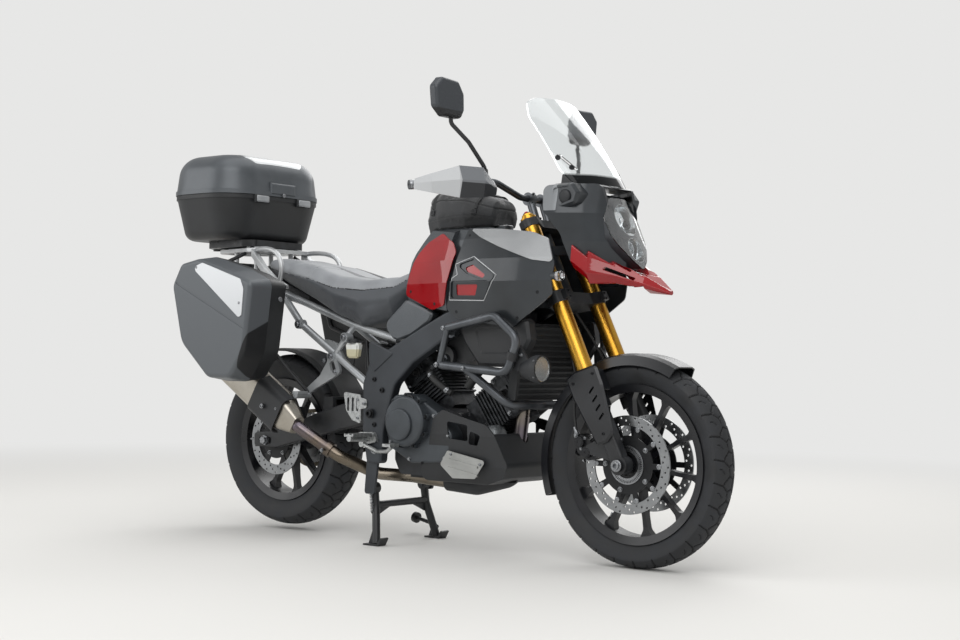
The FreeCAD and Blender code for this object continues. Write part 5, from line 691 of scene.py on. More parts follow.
# The filler cap: a knurled disc with a grip bar across it.
cap_at = Vector((-790, -206.0, 512))
turned(bm, cap_at, (0, -1, 0), [(-1, 0), (-1, 19), (4, 19), (6, 17), (6, 12), (3, 11), (3, 0)], 10, 1)
turned(bm, cap_at + Vector((-13, -6, 0)), (1, 0, 0), [(0, 0), (0, 3.6), (26, 3.6), (26, 0)], 12, 1)
for lean, across in ((55.0, 8.0), (-35.0, -8.0)):
    up = (on_cylinder(lean, 0, 0, 0, 1) - CRANK).normalized()
    ahead_dir = (on_cylinder(lean, 0, 1, 0, 0) - CRANK).normalized()
    for side in (-1, 1):
        for along in (-58.0, 0.0, 58.0):
            hex_bolt(bm, on_cylinder(lean, across, along * 0.98, side * 68.0, 317.0), up, 5.0, 0)
        for along in (-62.0, 62.0):
            hex_bolt(bm, on_cylinder(lean, across, along, side * 84.6, 246.0), (0, side, 0), 6.0, 0)
            hex_bolt(bm, on_cylinder(lean, across, along, side * 84.6, 286.0), (0, side, 0), 4.6, 0)
    boot = on_cylinder(lean, across, 0, -90.6, 268)
    turned(bm, boot, (0, -1, 0), [(-1, 0), (-1, 16), (4, 16), (6, 11), (24, 10), (26, 8), (26, 0)], 20, 2)
put("engine_bolts_and_caps", bm, "chassis", "engine_black", zinc_steel, black_steel, dark_rubber_and_groove_shade)

# The oil filter: a drawn steel can, painted silver-grey and dusty.
# It is screwed into the crankcase's front wall.
filter_paint, tree, surface, spot = finish("steel_drawn_grey_paint", Base_Color="#8b8f92", Metallic=0.4)
dusty = noise(tree, spot, 14, 5.0)
shade(tree, surface, "Base Color", dusty.outputs["Fac"], "#73777a", "#a1a5a7")
shade(tree, surface, "Roughness", dusty.outputs["Fac"], 0.34, 0.55)
bm = bmesh.new()
can = [(0, 0), (0, 33), (8, 35), (58, 35), (66, 33), (72, 28), (75, 18), (76, 0)]
turned(bm, (-578, -62, 392), (1, 0, 0.12), can, 40, 0)
put("oil_filter", bm, "chassis", "engine_black", filter_paint)


# Coolant pipe on the engine: moulded rubber pressed over metal stubs on its right side.
# A screwed steel band holds each end.
def swept(bm, points, radius, sides=12, slot=0, closed=False):
    """Adds a round tube that follows points, with its ends closed unless it is a loop."""
    points = [Vector(p) for p in points]
    count = len(points)
    rings = []
    side_dir = None
    for i, point in enumerate(points):
        before = points[i - 1] if i or closed else point
        after = points[(i + 1) % count] if i < count - 1 or closed else point
        along = (after - before).normalized()
        if side_dir is None:
            side_dir = along.orthogonal()
        side_dir = (side_dir - along * side_dir.dot(along)).normalized()
        other = along.cross(side_dir)
        turns = [2 * math.pi * j / sides for j in range(sides)]
        rings.append(
            [bm.verts.new(point + (side_dir * math.cos(a) + other * math.sin(a)) * radius) for a in turns]
        )
    for i in range(count if closed else count - 1):
        near, far = rings[i], rings[(i + 1) % count]
        for j in range(sides):
            k = (j + 1) % sides
            bm.faces.new((near[j], near[k], far[k], far[j])).material_index = slot
    if not closed:
        bm.faces.new(rings[0]).material_index = slot
        bm.faces.new(rings[-1]).material_index = slot


def curved(points, steps=6):
    """Points on a smooth line through the given ones."""
    points = [Vector(p) for p in points]
    line = []
    for i in range(len(points) - 1):
        a, b = points[i], points[i + 1]
        before = points[i - 1] if i else a * 2 - b
        after = points[i + 2] if i + 2 < len(points) else b * 2 - a
        for j in range(steps):
            t = j / steps
            part = 2 * a + (b - before) * t + (2 * before - 5 * a + 4 * b - after) * t**2
            line.append((part + (3 * a - before - 3 * b + after) * t**3) / 2)
    return line + [points[-1]]


bm = bmesh.new()
pipe = curved([(-764, -132, 604), (-740, -140, 582), (-700, -140, 556), (-668, -132, 536)])
swept(bm, pipe, 13.0, 20, 0)
for place, ahead_dir in ((pipe[3], pipe[4] - pipe[3]), (pipe[-4], pipe[-3] - pipe[-4])):
    band = [(-6, 13.0), (-6, 15.0), (6, 15.0), (6, 13.0)]
    turned(bm, place, ahead_dir, band, 24, 1)
    socket_bolt(bm, place + Vector((0, -14.6, 0)), (0, -1, 0), 3.6, 1)
put("coolant_pipe", bm, "chassis", "hose_rubber", hose_rubber, zinc_steel)

# Air box, belly pan, tail and covers: moulded polypropylene, flat black, clipped or screwed on.
# A fine leather grain, 1.4 mm across, breaks up the gloss.
soft_black, tree, surface, spot = finish(
    "polypropylene_moulded_grain", Base_Color="#1f2022", Roughness=0.55
)
cells = cells_of(tree, spot, 1.4)
relief(tree, surface, cells.outputs["Distance"], 0.14)
faded = noise(tree, spot, 130, 4.0)
shade(tree, surface, "Base Color", faded.outputs["Fac"], "#1a1b1d", "#292b2e")
shade(tree, surface, "Roughness", faded.outputs["Fac"], 0.48, 0.62)
dress(soft_black, "airbox", "belly_pan", "rear_hugger", "tail_unit", "muffler_covers", "radiator_shrouds")

# Belly plates: stamped aluminium, brushed along the ribs, held by two bright screws each.
# Three black screws a side hold the pan itself.
plate_metal, tree, surface, spot = finish("aluminium_brushed_plate", Base_Color="#b3b4b2", Metallic=1.0)
drawn = add(tree, "ShaderNodeMapping", {"Vector": spot}, vector_type="POINT")
drawn.inputs["Rotation"].default_value = (0, math.radians(-9), 0)
drawn.inputs["Scale"].default_value = (0.04, 1, 1)
brush = noise(tree, drawn.outputs[0], 0.8, 3.0)
shade(tree, surface, "Roughness", brush.outputs["Fac"], 0.28, 0.5)
relief(tree, surface, brush.outputs["Fac"], 0.03)
stain = noise(tree, spot, 90, 3.0)
shade(tree, surface, "Base Color", stain.outputs["Fac"], "#979896", "#aaaba9")
dress(plate_metal, "belly_plates")
bm = bmesh.new()
for side in (1, -1):
    for x, z in ((-616, 336), (-492, 308)):
        socket_bolt(bm, (x, side * 195.2, z), (0, side, 0), 4.0, 0)
    for x, z in ((-742, 300), (-540, 470), (-470, 440)):
        socket_bolt(bm, (x, side * 192.4, z), (0, side, 0), 4.2, 1)
put("belly_bolts", bm, "chassis", "plate_silver", zinc_steel, black_steel)


# Exhaust: bent stainless tube, tinted brown and violet by heat near the head, then a satin canister.
# The canister is clamped to the tubes and hangs on the frame from two bolts, its end cap held by screws.
header_steel, tree, surface, spot = finish(
    "stainless_heat_tinted", Metallic=1.0, Roughness=0.3, Base_Color="#8a7f70"
)
height = add(tree, "ShaderNodeSeparateXYZ", {0: spot})
smoke = noise(tree, spot, 70, 5.0)
heat = add(tree, "ShaderNodeMath", {0: smoke.outputs["Fac"]}, operation="MULTIPLY_ADD")
heat.inputs[1].default_value = 0.16
tree.links.new(height.outputs["Z"], heat.inputs[2])
tint = add(tree, "ShaderNodeValToRGB", {"Fac": heat.outputs[0]})
HEAT_COLOURS = (
    (0.30, "#847c70"), (0.36, "#736a5d"), (0.42, "#6a6058"), (0.49, "#6e6770"), (0.56, "#857e73")
)
while len(tint.color_ramp.elements) < len(HEAT_COLOURS):
    tint.color_ramp.elements.new(0.5)
for stop, (place, colour) in zip(tint.color_ramp.elements, HEAT_COLOURS):
    stop.position = place
    stop.color = linear(colour)
tree.links.new(tint.outputs["Color"], surface.inputs["Base Color"])
shade(tree, surface, "Roughness", smoke.outputs["Fac"], 0.2, 0.42)
dress(header_steel, "exhaust_pipes")

MUFFLER_LEAN = math.radians(32.0)
can_steel, tree, surface, spot = finish("stainless_satin_canister", Base_Color="#b1aca2", Metallic=1.0)
drawn = add(tree, "ShaderNodeMapping", {"Vector": spot}, vector_type="POINT")
drawn.inputs["Rotation"].default_value = (0, -MUFFLER_LEAN, 0)
drawn.inputs["Scale"].default_value = (0.05, 1, 1)
grind = noise(tree, drawn.outputs[0], 0.9, 3.0)
shade(tree, surface, "Roughness", grind.outputs["Fac"], 0.26, 0.44)
cloud = noise(tree, spot, 140, 4.0)
shade(tree, surface, "Base Color", cloud.outputs["Fac"], "#a19b90", "#bdb8af")
dress(can_steel, "muffler")


def on_muffler(along, across, up):
    """A place on the canister: ahead of the start of its taper, across and up, before it is leaned."""
    x = along * math.cos(MUFFLER_LEAN) + up * math.sin(MUFFLER_LEAN)
    z = -along * math.sin(MUFFLER_LEAN) + up * math.cos(MUFFLER_LEAN)
    return Vector((x - 1382, across - 228, z + 452))


bm = bmesh.new()
can_back = (on_muffler(-1, 0, 0) - on_muffler(0, 0, 0)).normalized()
socket_bolt(bm, on_muffler(-46, -62.4, -6), (0, -1, 0), 6.5, 0)
socket_bolt(bm, on_muffler(10, -50.6, 20), (0, -1, 0), 5.0, 0)
for across, up in ((-34.0, -46.0), (24.0, -50.0), (-34.0, 44.0), (34.0, 40.0)):
    socket_bolt(bm, on_muffler(-383.6, across * 0.84, up * 0.84), can_back, 3.6, 1)
clamp = Vector((-1184, -193.5, 322))
hex_bolt(bm, clamp + Vector((0, -30, 0)), (0, -1, 0), 5.5, 0)
put("exhaust_bolts", bm, "chassis", "exhaust_silver", zinc_steel, black_steel)


# Frame: twin steel beams, welded and painted satin dark grey, with castings bolted on.
# The subframe behind it is of steel tube, painted silver, and bolted to the beams.
frame_paint, tree, surface, spot = finish("steel_painted_dark_satin", Base_Color="#33363a", Roughness=0.4)
surface.inputs["Metallic"].default_value = 0.35
mist = noise(tree, spot, 1.5, 2.0)
relief(tree, surface, mist.outputs["Fac"], 0.04)
tone = noise(tree, spot, 160, 4.0)
shade(tree, surface, "Base Color", tone.outputs["Fac"], "#2c2f33", "#3c4045")
shade(tree, surface, "Roughness", tone.outputs["Fac"], 0.34, 0.48)
dress(frame_paint, "main_frame")
silver_paint, tree, surface, spot = finish("steel_painted_silver", Base_Color="#a6a9ac", Metallic=0.55)
mist = noise(tree, spot, 1.5, 2.0)
relief(tree, surface, mist.outputs["Fac"], 0.04)
tone = noise(tree, spot, 90, 4.0)
shade(tree, surface, "Base Color", tone.outputs["Fac"], "#999c9f", "#b6b9bb")
shade(tree, surface, "Roughness", tone.outputs["Fac"], 0.3, 0.44)
dress(silver_paint, "subframe")

# Stands and case carriers: bent steel tube, welded and dipped in black enamel.
# The enamel shines where it is rubbed.
black_enamel, tree, surface, spot = finish("steel_enamelled_black", Base_Color="#1a1b1d", Roughness=0.35)
run = noise(tree, spot, 6, 3.0)
relief(tree, surface, run.outputs["Fac"], 0.05)
scuff = noise(tree, spot, 35, 6.0)
shade(tree, surface, "Base Color", scuff.outputs["Fac"], "#161719", "#2a2c2f", 0.4, 0.8)
shade(tree, surface, "Roughness", scuff.outputs["Fac"], 0.26, 0.5)
dress(black_enamel, "centre_stand", "side_stand", "case_rails")

# Pegs, heel plates and pedals: cast aluminium, left bare and dull with dirt.
# They are bolted to the frame, with its castings' other bolts.
peg_metal, tree, surface, spot = finish("aluminium_cast_bare", Base_Color="#aeb0b0", Metallic=0.9)
dirt = noise(tree, spot, 9, 5.0)
shade(tree, surface, "Base Color", dirt.outputs["Fac"], "#8c8e8e", "#c0c2c2")
shade(tree, surface, "Roughness", dirt.outputs["Fac"], 0.34, 0.56)
relief(tree, surface, dirt.outputs["Fac"], 0.1)
dress(peg_metal, "rider_pegs")

FRAME_BOLTS = (  # x, y, z, radius, finish: 0 bright, 1 black
    (-985.0, 192.4, 458.0, 13.0, 1),
    (-972.0, 186.4, 577.0, 7.0, 1),
    (-969.0, 186.4, 420.0, 7.0, 1),
    (-968.0, 186.4, 330.0, 9.0, 0),
    (-935.0, 186.4, 540.0, 8.0, 1),
    (-1374.0, 166.4, 770.0, 9.5, 0),
    (-1142.0, 166.4, 722.0, 9.5, 0),
    (-1204.0, 166.4, 654.0, 9.5, 0),
    (-1236.0, 168.4, 639.0, 6.0, 0),
    (-1182.0, 168.4, 598.0, 6.0, 0),
    (-1014.0, 194.4, 491.0, 5.0, 0),
    (-1046.0, 190.4, 504.0, 4.5, 0),
    (-1046.0, 190.4, 440.0, 4.5, 0),
    (-616.0, 190.0, 742.0, 8.0, 1),
)
bm = bmesh.new()
for side in (1, -1):
    for x, y, z, radius, tone_index in FRAME_BOLTS:
        socket_bolt(bm, (x, side * y, z), (0, side, 0), radius, tone_index)
    spindle = [(-1, 0), (-1, 19), (2, 19), (2, 15), (11, 15), (13, 13), (13, 0)]
    turned(bm, (REAR_AXLE[0], side * 150.0, REAR_AXLE[1]), (0, side, 0), spindle, 6, 0)
    adjuster = [(0, 0), (0, 5.5), (6, 5.5), (6, 3.5), (30, 3.5), (30, 0)]
    turned(bm, (REAR_AXLE[0] - 62, side * 131, REAR_AXLE[1]), (-1, 0, 0), adjuster, 6, 0)
put("frame_bolts", bm, "chassis", "frame_dark", zinc_steel, black_steel)

# Rear shock absorber: a steel damper inside a wound coil spring with a dark baked coat.
# It is bolted between the frame's tie above and the swingarm below.
spring_steel, tree, surface, spot = finish("steel_sprung_dark_coat", Base_Color="#2a2b2e", Roughness=0.32)
skin_noise = noise(tree, spot, 3, 3.0)
shade(tree, surface, "Roughness", skin_noise.outputs["Fac"], 0.26, 0.42)


def wound(foot, run, radius, coils, steps):
    """Points along a spring from its foot, with this run, radius, number of coils and points to a coil."""
    u = run.orthogonal().normalized()
    v = run.normalized().cross(u)
    line = []
    for i in range(coils * steps + 1):
        turn = 2 * math.pi * i / steps
        line.append(foot + run * (i / (coils * steps)) + (u * math.cos(turn) + v * math.sin(turn)) * radius)
    return line


SHOCK_FOOT, SHOCK_HEAD = Vector((-1110, 0, 476)), Vector((-1060, 0, 706))
shock_dir = (SHOCK_HEAD - SHOCK_FOOT).normalized()
shock_long = (SHOCK_HEAD - SHOCK_FOOT).length
bm = bmesh.new()
damper = [(0, 0), (0, 15), (12, 18), (14, 40), (20, 40), (22, 9), (140, 9), (142, 24), (170, 26)]
damper += [
    (shock_long - back, radius) for back, radius in ((24, 26), (20, 40), (12, 40), (8, 16), (0, 14), (0, 0))
]
turned(bm, SHOCK_FOOT, shock_dir, damper, 28, 1)
swept(bm, wound(SHOCK_FOOT + shock_dir * 24, shock_dir * (shock_long - 50), 33, 7, 24), 5.5, 10, 0)
put("rear_shock", bm, "chassis", "frame_dark", spring_steel, black_steel)

# Return springs of the centre stand: close-wound, zinc-plated steel wire.
# Each is hooked between a post on the leg and one higher up.
bm = bmesh.new()
SPRINGS = (((-1004, -150, 112), (-1012, -150, 186)), ((-1004, 150, 112), (-1012, 150, 186)))
for foot, head in SPRINGS:
    swept(bm, wound(Vector(foot), Vector(head) - Vector(foot), 6, 14, 12), 1.4, 6, 0)
put("stand_springs", bm, "centre_stand", "frame_dark", zinc_steel)

# Rear brake reservoir: a blow-moulded cup of milky polypropylene with a black screwed cap.
# The fluid shows as a yellower lower half, and a rubber hose leaves below.
milky, tree, surface, spot = finish("polypropylene_milky", Base_Color="#dfe0dc", Roughness=0.35, IOR=1.49)
surface.inputs["Subsurface Weight"].default_value = 0.4
surface.inputs["Subsurface Radius"].default_value = (0.006, 0.006, 0.005)
fluid = add(tree, "ShaderNodeSeparateXYZ", {0: spot})
shade(tree, surface, "Base Color", fluid.outputs["Z"], "#c9c3a6", "#e2e3df", 0.678, 0.682)
bm = bmesh.new()
cup = bmesh.ops.create_cube(bm, size=1.0)["verts"]
for vert in cup:
    low = vert.co.z < 0
    vert.co.x = -1110 + vert.co.x * (52 if low else 66)
    vert.co.y = -146 + vert.co.y * (24 if low else 30)
    vert.co.z = 676 + vert.co.z * 54
bmesh.ops.bevel(bm, geom=bm.edges[:], offset=6, segments=3, affect="EDGES")
turned(bm, (-1110, -146, 702), (0, 0, 1), [(0, 0), (0, 20), (10, 20), (12, 18), (12, 0)], 24, 1)
turned(bm, (-1110, -146, 650), (0, 0, -1), [(-2, 0), (-2, 6), (8, 6), (8, 0)], 16, 1)
swept(
    bm, curved([(-1110, -146, 646), (-1112, -146, 620), (-1090, -142, 590), (-1060, -132, 560)]), 5.0, 12, 2
)
put("brake_reservoir", bm, "chassis", "case_black", milky, soft_black, hose_rubber)


# Painted bodywork: injection-moulded ABS, sprayed gloss red or satin metallic grey, under a clear lacquer.
# The panels are held by tabs from behind and by screws and push pins at their corners.
red_lacquer, tree, surface, spot = finish(
    "abs_painted_gloss_red", Base_Color="#a00a14", Roughness=0.2, IOR=1.5
)
surface.inputs["Specular IOR Level"].default_value = 0.15
surface.inputs["Coat Weight"].default_value = 1.0
surface.inputs["Coat Roughness"].default_value = 0.03
# The lacquer's faint ripple, 7 mm across, bends the lamps' reflections.
ripple = noise(tree, spot, 7, 1.0)
relief(tree, surface, ripple.outputs["Fac"], 0.035)
depth_tone = noise(tree, spot, 200, 2.0)
shade(tree, surface, "Base Color", depth_tone.outputs["Fac"], "#8c030c", "#a00813")
dress(red_lacquer, "tank_panels", "beak")

# Satin metallic paint: aluminium flakes under the lacquer, drawn 0.8 mm wide, since real ones are too fine.
METALLICS = (  # name, colours, metallic, roughness, nodes
    ("abs_painted_dark_metallic", "#282b2e", "#363a3e", 0.45, 0.34, ("side_cowls",)),
    ("abs_painted_mid_metallic", "#45494d", "#54585c", 0.5, 0.32, ("fuel_tank", "side_panels")),
    ("abs_painted_silver_metallic", "#a6a8aa", "#b9bbbd", 0.5, 0.3, ("spear_panels",)),
)
for name, dark, light, metallic, roughness, panels in METALLICS:
    metal_paint, tree, surface, spot = finish(name, Metallic=metallic, Roughness=roughness, IOR=1.5)
    surface.inputs["Coat Weight"].default_value = 0.35
    surface.inputs["Coat Roughness"].default_value = 0.12
    flakes = cells_of(tree, spot, 0.8, "F1")
    relief(tree, surface, flakes.outputs["Distance"], 0.03)
    cloud = noise(tree, spot, 180, 3.0)
    shade(tree, surface, "Base Color", cloud.outputs["Fac"], dark, light)
    shade(tree, surface, "Roughness", flakes.outputs["Distance"], roughness - 0.05, roughness + 0.07)
    dress(metal_paint, *panels)

# The nose's rear edge over the lamp's corner is sprayed light grey, and a dark dome sits in each recess.
NOSE_EDGE, NOSE_EDGE_HIGH = -206, 1.128  # ahead in millimetres, height in metres
nose_paint = bpy.data.materials["abs_painted_dark_metallic"].copy()
nose_paint.name = "abs_painted_two_tone_nose"
tree = nose_paint.node_tree
surface = tree.nodes["Principled BSDF"]
split = add(tree, "ShaderNodeSeparateXYZ", {0: add(tree, "ShaderNodeTexCoord").outputs["Object"]})
behind = add(tree, "ShaderNodeMath", {0: split.outputs["X"]}, operation="LESS_THAN")
behind.inputs[1].default_value = at(NOSE_EDGE, 0, 0).x
high = add(tree, "ShaderNodeMath", {0: split.outputs["Z"]}, operation="GREATER_THAN")
high.inputs[1].default_value = NOSE_EDGE_HIGH
corner = add(tree, "ShaderNodeMath", {0: behind.outputs[0], 1: high.outputs[0]}, operation="MULTIPLY")
dark_paint = surface.inputs["Base Color"].links[0].from_socket
both = add(tree, "ShaderNodeMixRGB", {"Fac": corner.outputs[0], "Color1": dark_paint})
both.inputs["Color2"].default_value = linear("#85888b")
tree.links.new(both.outputs["Color"], surface.inputs["Base Color"])
dress(nose_paint, "nose_cowl")
bm = bmesh.new()
for side in (1, -1):
    dome = [(-2, 0), (-2, 22), (1, 22), (5, 19.5), (8.5, 14), (10.4, 7), (11, 0)]
    turned(bm, (-178, side * 180.0, 1172), (0, side, 0), dome, 40, 0)
put("nose_domes", bm, "chassis", "black_plastic", soft_black)

# The filler cap on the tank: a turned aluminium ring with a hinged lid and a blank lock cover.
# Six small socket screws hold the ring on the tank.
cap_metal, tree, surface, spot = finish(
    "aluminium_turned_satin", Base_Color="#9fa1a3", Metallic=1.0, Roughness=0.3
)
turn_marks = noise(tree, spot, 1.5, 2.0)
shade(tree, surface, "Roughness", turn_marks.outputs["Fac"], 0.24, 0.4)
bm = bmesh.new()
ring_outline = [(0, 0), (0, 33), (3, 33), (4.5, 31), (4.5, 24), (3, 23), (3, 8), (5, 7), (5, 0)]
turned(bm, (-560, 0, 1103.6), (0, 0, 1), ring_outline, 48, 0)
for i in range(6):
    turn = math.radians(i * 60 + 30)
    socket_bolt(bm, (-560 + 28 * math.cos(turn), 28 * math.sin(turn), 1108), (0, 0, 1), 2.4, 0)
put("tank_filler_cap", bm, "chassis", "tank_grey", cap_metal)

# Panel fasteners: black push pins in the panels' corners.
# Each sits on the skin where a line across the machine meets it.
BODY_BOLTS = (  # ahead, up and radius
    (-560.0, 1062.0, 3.4),
    (-590.0, 808.0, 4.0),
    (-250.0, 868.0, 4.0),
    (-330.0, 786.0, 4.0),
    (-700.0, 836.0, 4.0),
    (-830.0, 880.0, 3.6),
)


def surface_of(*names):
    """The nodes' faces as one tree to find points on, in millimetres from under the front axle."""
    points, faces = [], []
    for name in names:
        mesh = nodes[name].data
        base = len(points)
        points += [
            Vector((v.co.x * 1000 - AXLE_AHEAD, v.co.y * 1000, v.co.z * 1000)) for v in mesh.vertices
        ]
        faces += [[base + i for i in face.vertices] for face in mesh.polygons]
    return BVHTree.FromPolygons(points, faces)


body_skin = surface_of("side_cowls", "tank_panels", "spear_panels")
bm = bmesh.new()
for side in (1, -1):
    for x, z, radius in BODY_BOLTS:
        hit, normal = body_skin.ray_cast(Vector((x, side * 320, z)), Vector((0, -side, 0)))[:2]
        if hit is not None:
            outward = normal if normal.y * side > 0 else -normal
            pin = [(-0.6, 0), (-0.6, radius * 1.5), (0.5, radius * 1.4), (0.9, radius)]
            pin += [(0.3, radius * 0.6), (0.3, 0)]
            turned(bm, hit, outward, pin, 18, 0)
put("panel_pins", bm, "chassis", "cowl_grey", black_steel)

# Silver trim: one thin painted bead moulded round both openings in each side cowl.
# It follows the cowl's own skin.
VENT_TRIM = ((-592, 965), (-510, 988), (-404, 925), (-458, 843), (-617, 847), (-610, 915), (-578, 930))
cowl_tree = surface_of("side_cowls")
bead_material = bpy.data.materials["abs_painted_silver_metallic"]
bm = bmesh.new()
for side in (1, -1):
    bead = []
    for begin, end in zip(VENT_TRIM, VENT_TRIM[1:] + VENT_TRIM[:1]):
        for i in range(8):
            x = begin[0] + (end[0] - begin[0]) * i / 8
            z = begin[1] + (end[1] - begin[1]) * i / 8
            hit = cowl_tree.ray_cast(Vector((x, side * 420, z)), Vector((0, -side, 0)))[0]
            if hit is not None:
                bead.append(hit)
    swept(bm, bead, 1.7, 8, 0, closed=True)
put("cowl_trim", bm, "chassis", "plate_silver", bead_material)

# Crash bars: bent steel tube in a baked dark silver coat, with the faint ripple such a coat has.
# They are clamped and bolted to the frame.
bar_coat, tree, surface, spot = finish("powder_coat_dark_silver", Base_Color="#505357", Metallic=0.75)
peel = noise(tree, spot, 1.6, 1.0)
relief(tree, surface, peel.outputs["Fac"], 0.04)
rub = noise(tree, spot, 70, 5.0)
shade(tree, surface, "Base Color", rub.outputs["Fac"], "#46494d", "#5f6266")
shade(tree, surface, "Roughness", rub.outputs["Fac"], 0.26, 0.4)
dress(bar_coat, "crash_bars")
bm = bmesh.new()
for side in (1, -1):
    socket_bolt(bm, (-616, side * 246, 753), (0, side, 0), 6.0, 0)
    socket_bolt(bm, (-644, side * 245, 632), (0, side, 0), 6.5, 0)
    socket_bolt(bm, (-522, side * 256, 622), (0, side, 0), 5.5, 0)
put("crash_bar_bolts", bm, "chassis", "bar_silver", zinc_steel)

# Radiator: an aluminium core, brazed and painted black, behind black moulded slats.
# Its fins are 2.5 mm apart, and drawn 4 mm apart so that they show.
FIN_APART = 0.004
core_metal, tree, surface, spot = finish("aluminium_brazed_black_core", Base_Color="#1c1d1f", Metallic=0.3)
split = add(tree, "ShaderNodeSeparateXYZ", {0: spot})
pitch = add(tree, "ShaderNodeMath", {0: split.outputs["Y"]}, operation="MULTIPLY")
pitch.inputs[1].default_value = 2 * math.pi / FIN_APART
waves = add(tree, "ShaderNodeMath", {0: pitch.outputs[0]}, operation="SINE")
relief(tree, surface, waves.outputs[0], 0.5)
# The core is painted darker between the fins and lighter on their crests: painted shade and highlight.
shade(tree, surface, "Base Color", waves.outputs[0], "#121314", "#303336", -0.5, 0.8)
dress(core_metal, "radiator")

# Radiator hose: moulded rubber that drops from the top tank to the pipe on the engine.
# A screwed steel band clamps it.
bm = bmesh.new()
hose_places = [
    (-376, -150, 742), (-410, -158, 730), (-470, -150, 690), (-540, -136, 620), (-600, -128, 560)
]
hose_line = curved(hose_places, 8)
swept(bm, hose_line, 15.0, 18, 0)
turned(bm, hose_line[4], hose_line[5] - hose_line[4], [(-6, 15), (-6, 17.4), (6, 17.4), (6, 15)], 26, 1)
put("radiator_hose", bm, "chassis", "hose_rubber", hose_rubber, zinc_steel)


# Seat: moulded polyurethane foam on a plastic base, under stretched vinyl with a sewn top panel.
# The foam is swelled as pressurised cloth from a slightly smaller form, and the seams are pressed in after.
SEAT_ROWS = (  # ahead, half width and height of the seam along the top panel
    (-868.0, 62.0, 956.0),
    (-950.0, 112.0, 904.0),
    (-1080.0, 140.0, 893.0),
    (-1210.0, 140.0, 906.0),
    (-1330.0, 136.0, 940.0),
    (-1500.0, 118.0, 966.0),
    (-1606.0, 86.0, 984.0),
)
CLOTH_STEPS = 20


def evened(name, node, voxel, shrink):
    """A soft solid's mesh, remeshed into even squares and drawn in a little, in metres."""
    mesh = nodes[node].data.copy()
    piece = bpy.data.objects.new(name, mesh)
    scene.collection.objects.link(piece)
    mesh.materials.clear()
    bm = bmesh.new()
    bm.from_mesh(mesh)
    bmesh.ops.remove_doubles(bm, verts=bm.verts, dist=0.00002)
    bm.to_mesh(mesh)
    bm.free()
    squares = piece.modifiers.new("squares", "REMESH")
    squares.mode = "VOXEL"
    squares.voxel_size = voxel / 1000
    depsgraph = bpy.context.evaluated_depsgraph_get()
    even = bpy.data.meshes.new_from_object(piece.evaluated_get(depsgraph))
    piece.modifiers.clear()
    piece.data = even
    places, normals = places_of(even), normals_of(even)
    set_places(even, places - normals * shrink / 1000)
    return piece


def places_of(mesh):
    """The mesh's points as rows of metres."""
    flat = np.empty(len(mesh.vertices) * 3, dtype=np.float32)
    mesh.vertices.foreach_get("co", flat)
    return flat.reshape(-1, 3)


def normals_of(mesh):
    """The outward direction at each point of the mesh."""
    flat = np.empty(len(mesh.vertices) * 3, dtype=np.float32)
    mesh.vertex_normals.foreach_get("vector", flat)
    return flat.reshape(-1, 3)


def set_places(mesh, places):
    """Moves the mesh's points to these rows of metres."""
    mesh.vertices.foreach_set("co", np.ascontiguousarray(places, dtype=np.float32).reshape(-1))
    mesh.update()


def swelled(piece, pressure, cap):
    """Blows the form up as cloth for some steps. No point moves further than a cap in millimetres."""
    before = places_of(piece.data).copy()
    cloth = piece.modifiers.new("cloth", "CLOTH")
    cloth.settings.use_pressure = True
    cloth.settings.uniform_pressure_force = pressure
    cloth.settings.effector_weights.gravity = 0.0
    cloth.settings.tension_stiffness = 20.0
    cloth.settings.compression_stiffness = 20.0
    cloth.settings.quality = 4
    cloth.point_cache.frame_start, cloth.point_cache.frame_end = 1, CLOTH_STEPS
    for step in range(1, CLOTH_STEPS + 1):
        scene.frame_set(step)
    depsgraph = bpy.context.evaluated_depsgraph_get()
    after = places_of(piece.evaluated_get(depsgraph).to_mesh()).copy()
    piece.evaluated_get(depsgraph).to_mesh_clear()
    piece.modifiers.clear()
    scene.frame_set(1)
    moved = after - before
    far = np.linalg.norm(moved, axis=1)
    moved *= np.minimum(1.0, cap / 1000 / np.maximum(far, 1e-9))[:, None]
    set_places(piece.data, before + moved)


def divided(piece):
    """One pass of subdivision, worked into the mesh."""
    smooth = piece.modifiers.new("smooth", "SUBSURF")
    smooth.levels = smooth.render_levels = 1
    depsgraph = bpy.context.evaluated_depsgraph_get()
    fine = bpy.data.meshes.new_from_object(piece.evaluated_get(depsgraph))
    piece.modifiers.clear()
    piece.data = fine


def pressed(piece, gap, width, depth):
    """Presses a sewn channel into the form where the given gap to its line, in millimetres, is small."""
    places, normals = places_of(piece.data), normals_of(piece.data)
    share = np.clip(1 - np.abs(gap) / width, 0, 1)
    set_places(piece.data, places - normals * (depth / 1000 * share * share * (3 - 2 * share))[:, None])


def face_means(mesh, values):
    """The mean over each face's corners of a value known at the points."""
    return np.array([values[list(face.vertices)].mean() for face in mesh.polygons])


# Vinyl-coated cloth: a leathery grain 1.1 mm across with a soft sheen; the top panel's lighter grey is a
# painted reflection.
vinyl_side, tree, surface, spot = finish(
    "vinyl_embossed_dark_grey", Base_Color="#3b3f43", Roughness=0.5, IOR=1.5
)
surface.inputs["Sheen Weight"].default_value = 0.15
pebble = cells_of(tree, spot, 1.1)
relief(tree, surface, pebble.outputs["Distance"], 0.14)
rubbed = noise(tree, spot, 120, 4.0)
shade(tree, surface, "Base Color", rubbed.outputs["Fac"], "#3a3d42", "#4a4e53")
shade(tree, surface, "Roughness", rubbed.outputs["Fac"], 0.44, 0.58)
# The top panel's lighter grey is a painted reflection of the bright surroundings.
vinyl_top_painted_reflection, tree, surface, spot = finish(
    "vinyl_embossed_top_painted_reflection", Base_Color="#8a8d91", Roughness=0.5, IOR=1.5
)
surface.inputs["Sheen Weight"].default_value = 0.2
pebble = cells_of(tree, spot, 1.3)
relief(tree, surface, pebble.outputs["Distance"], 0.18)
rubbed = noise(tree, spot, 90, 4.0)
shade(tree, surface, "Base Color", rubbed.outputs["Fac"], "#808387", "#94979b")
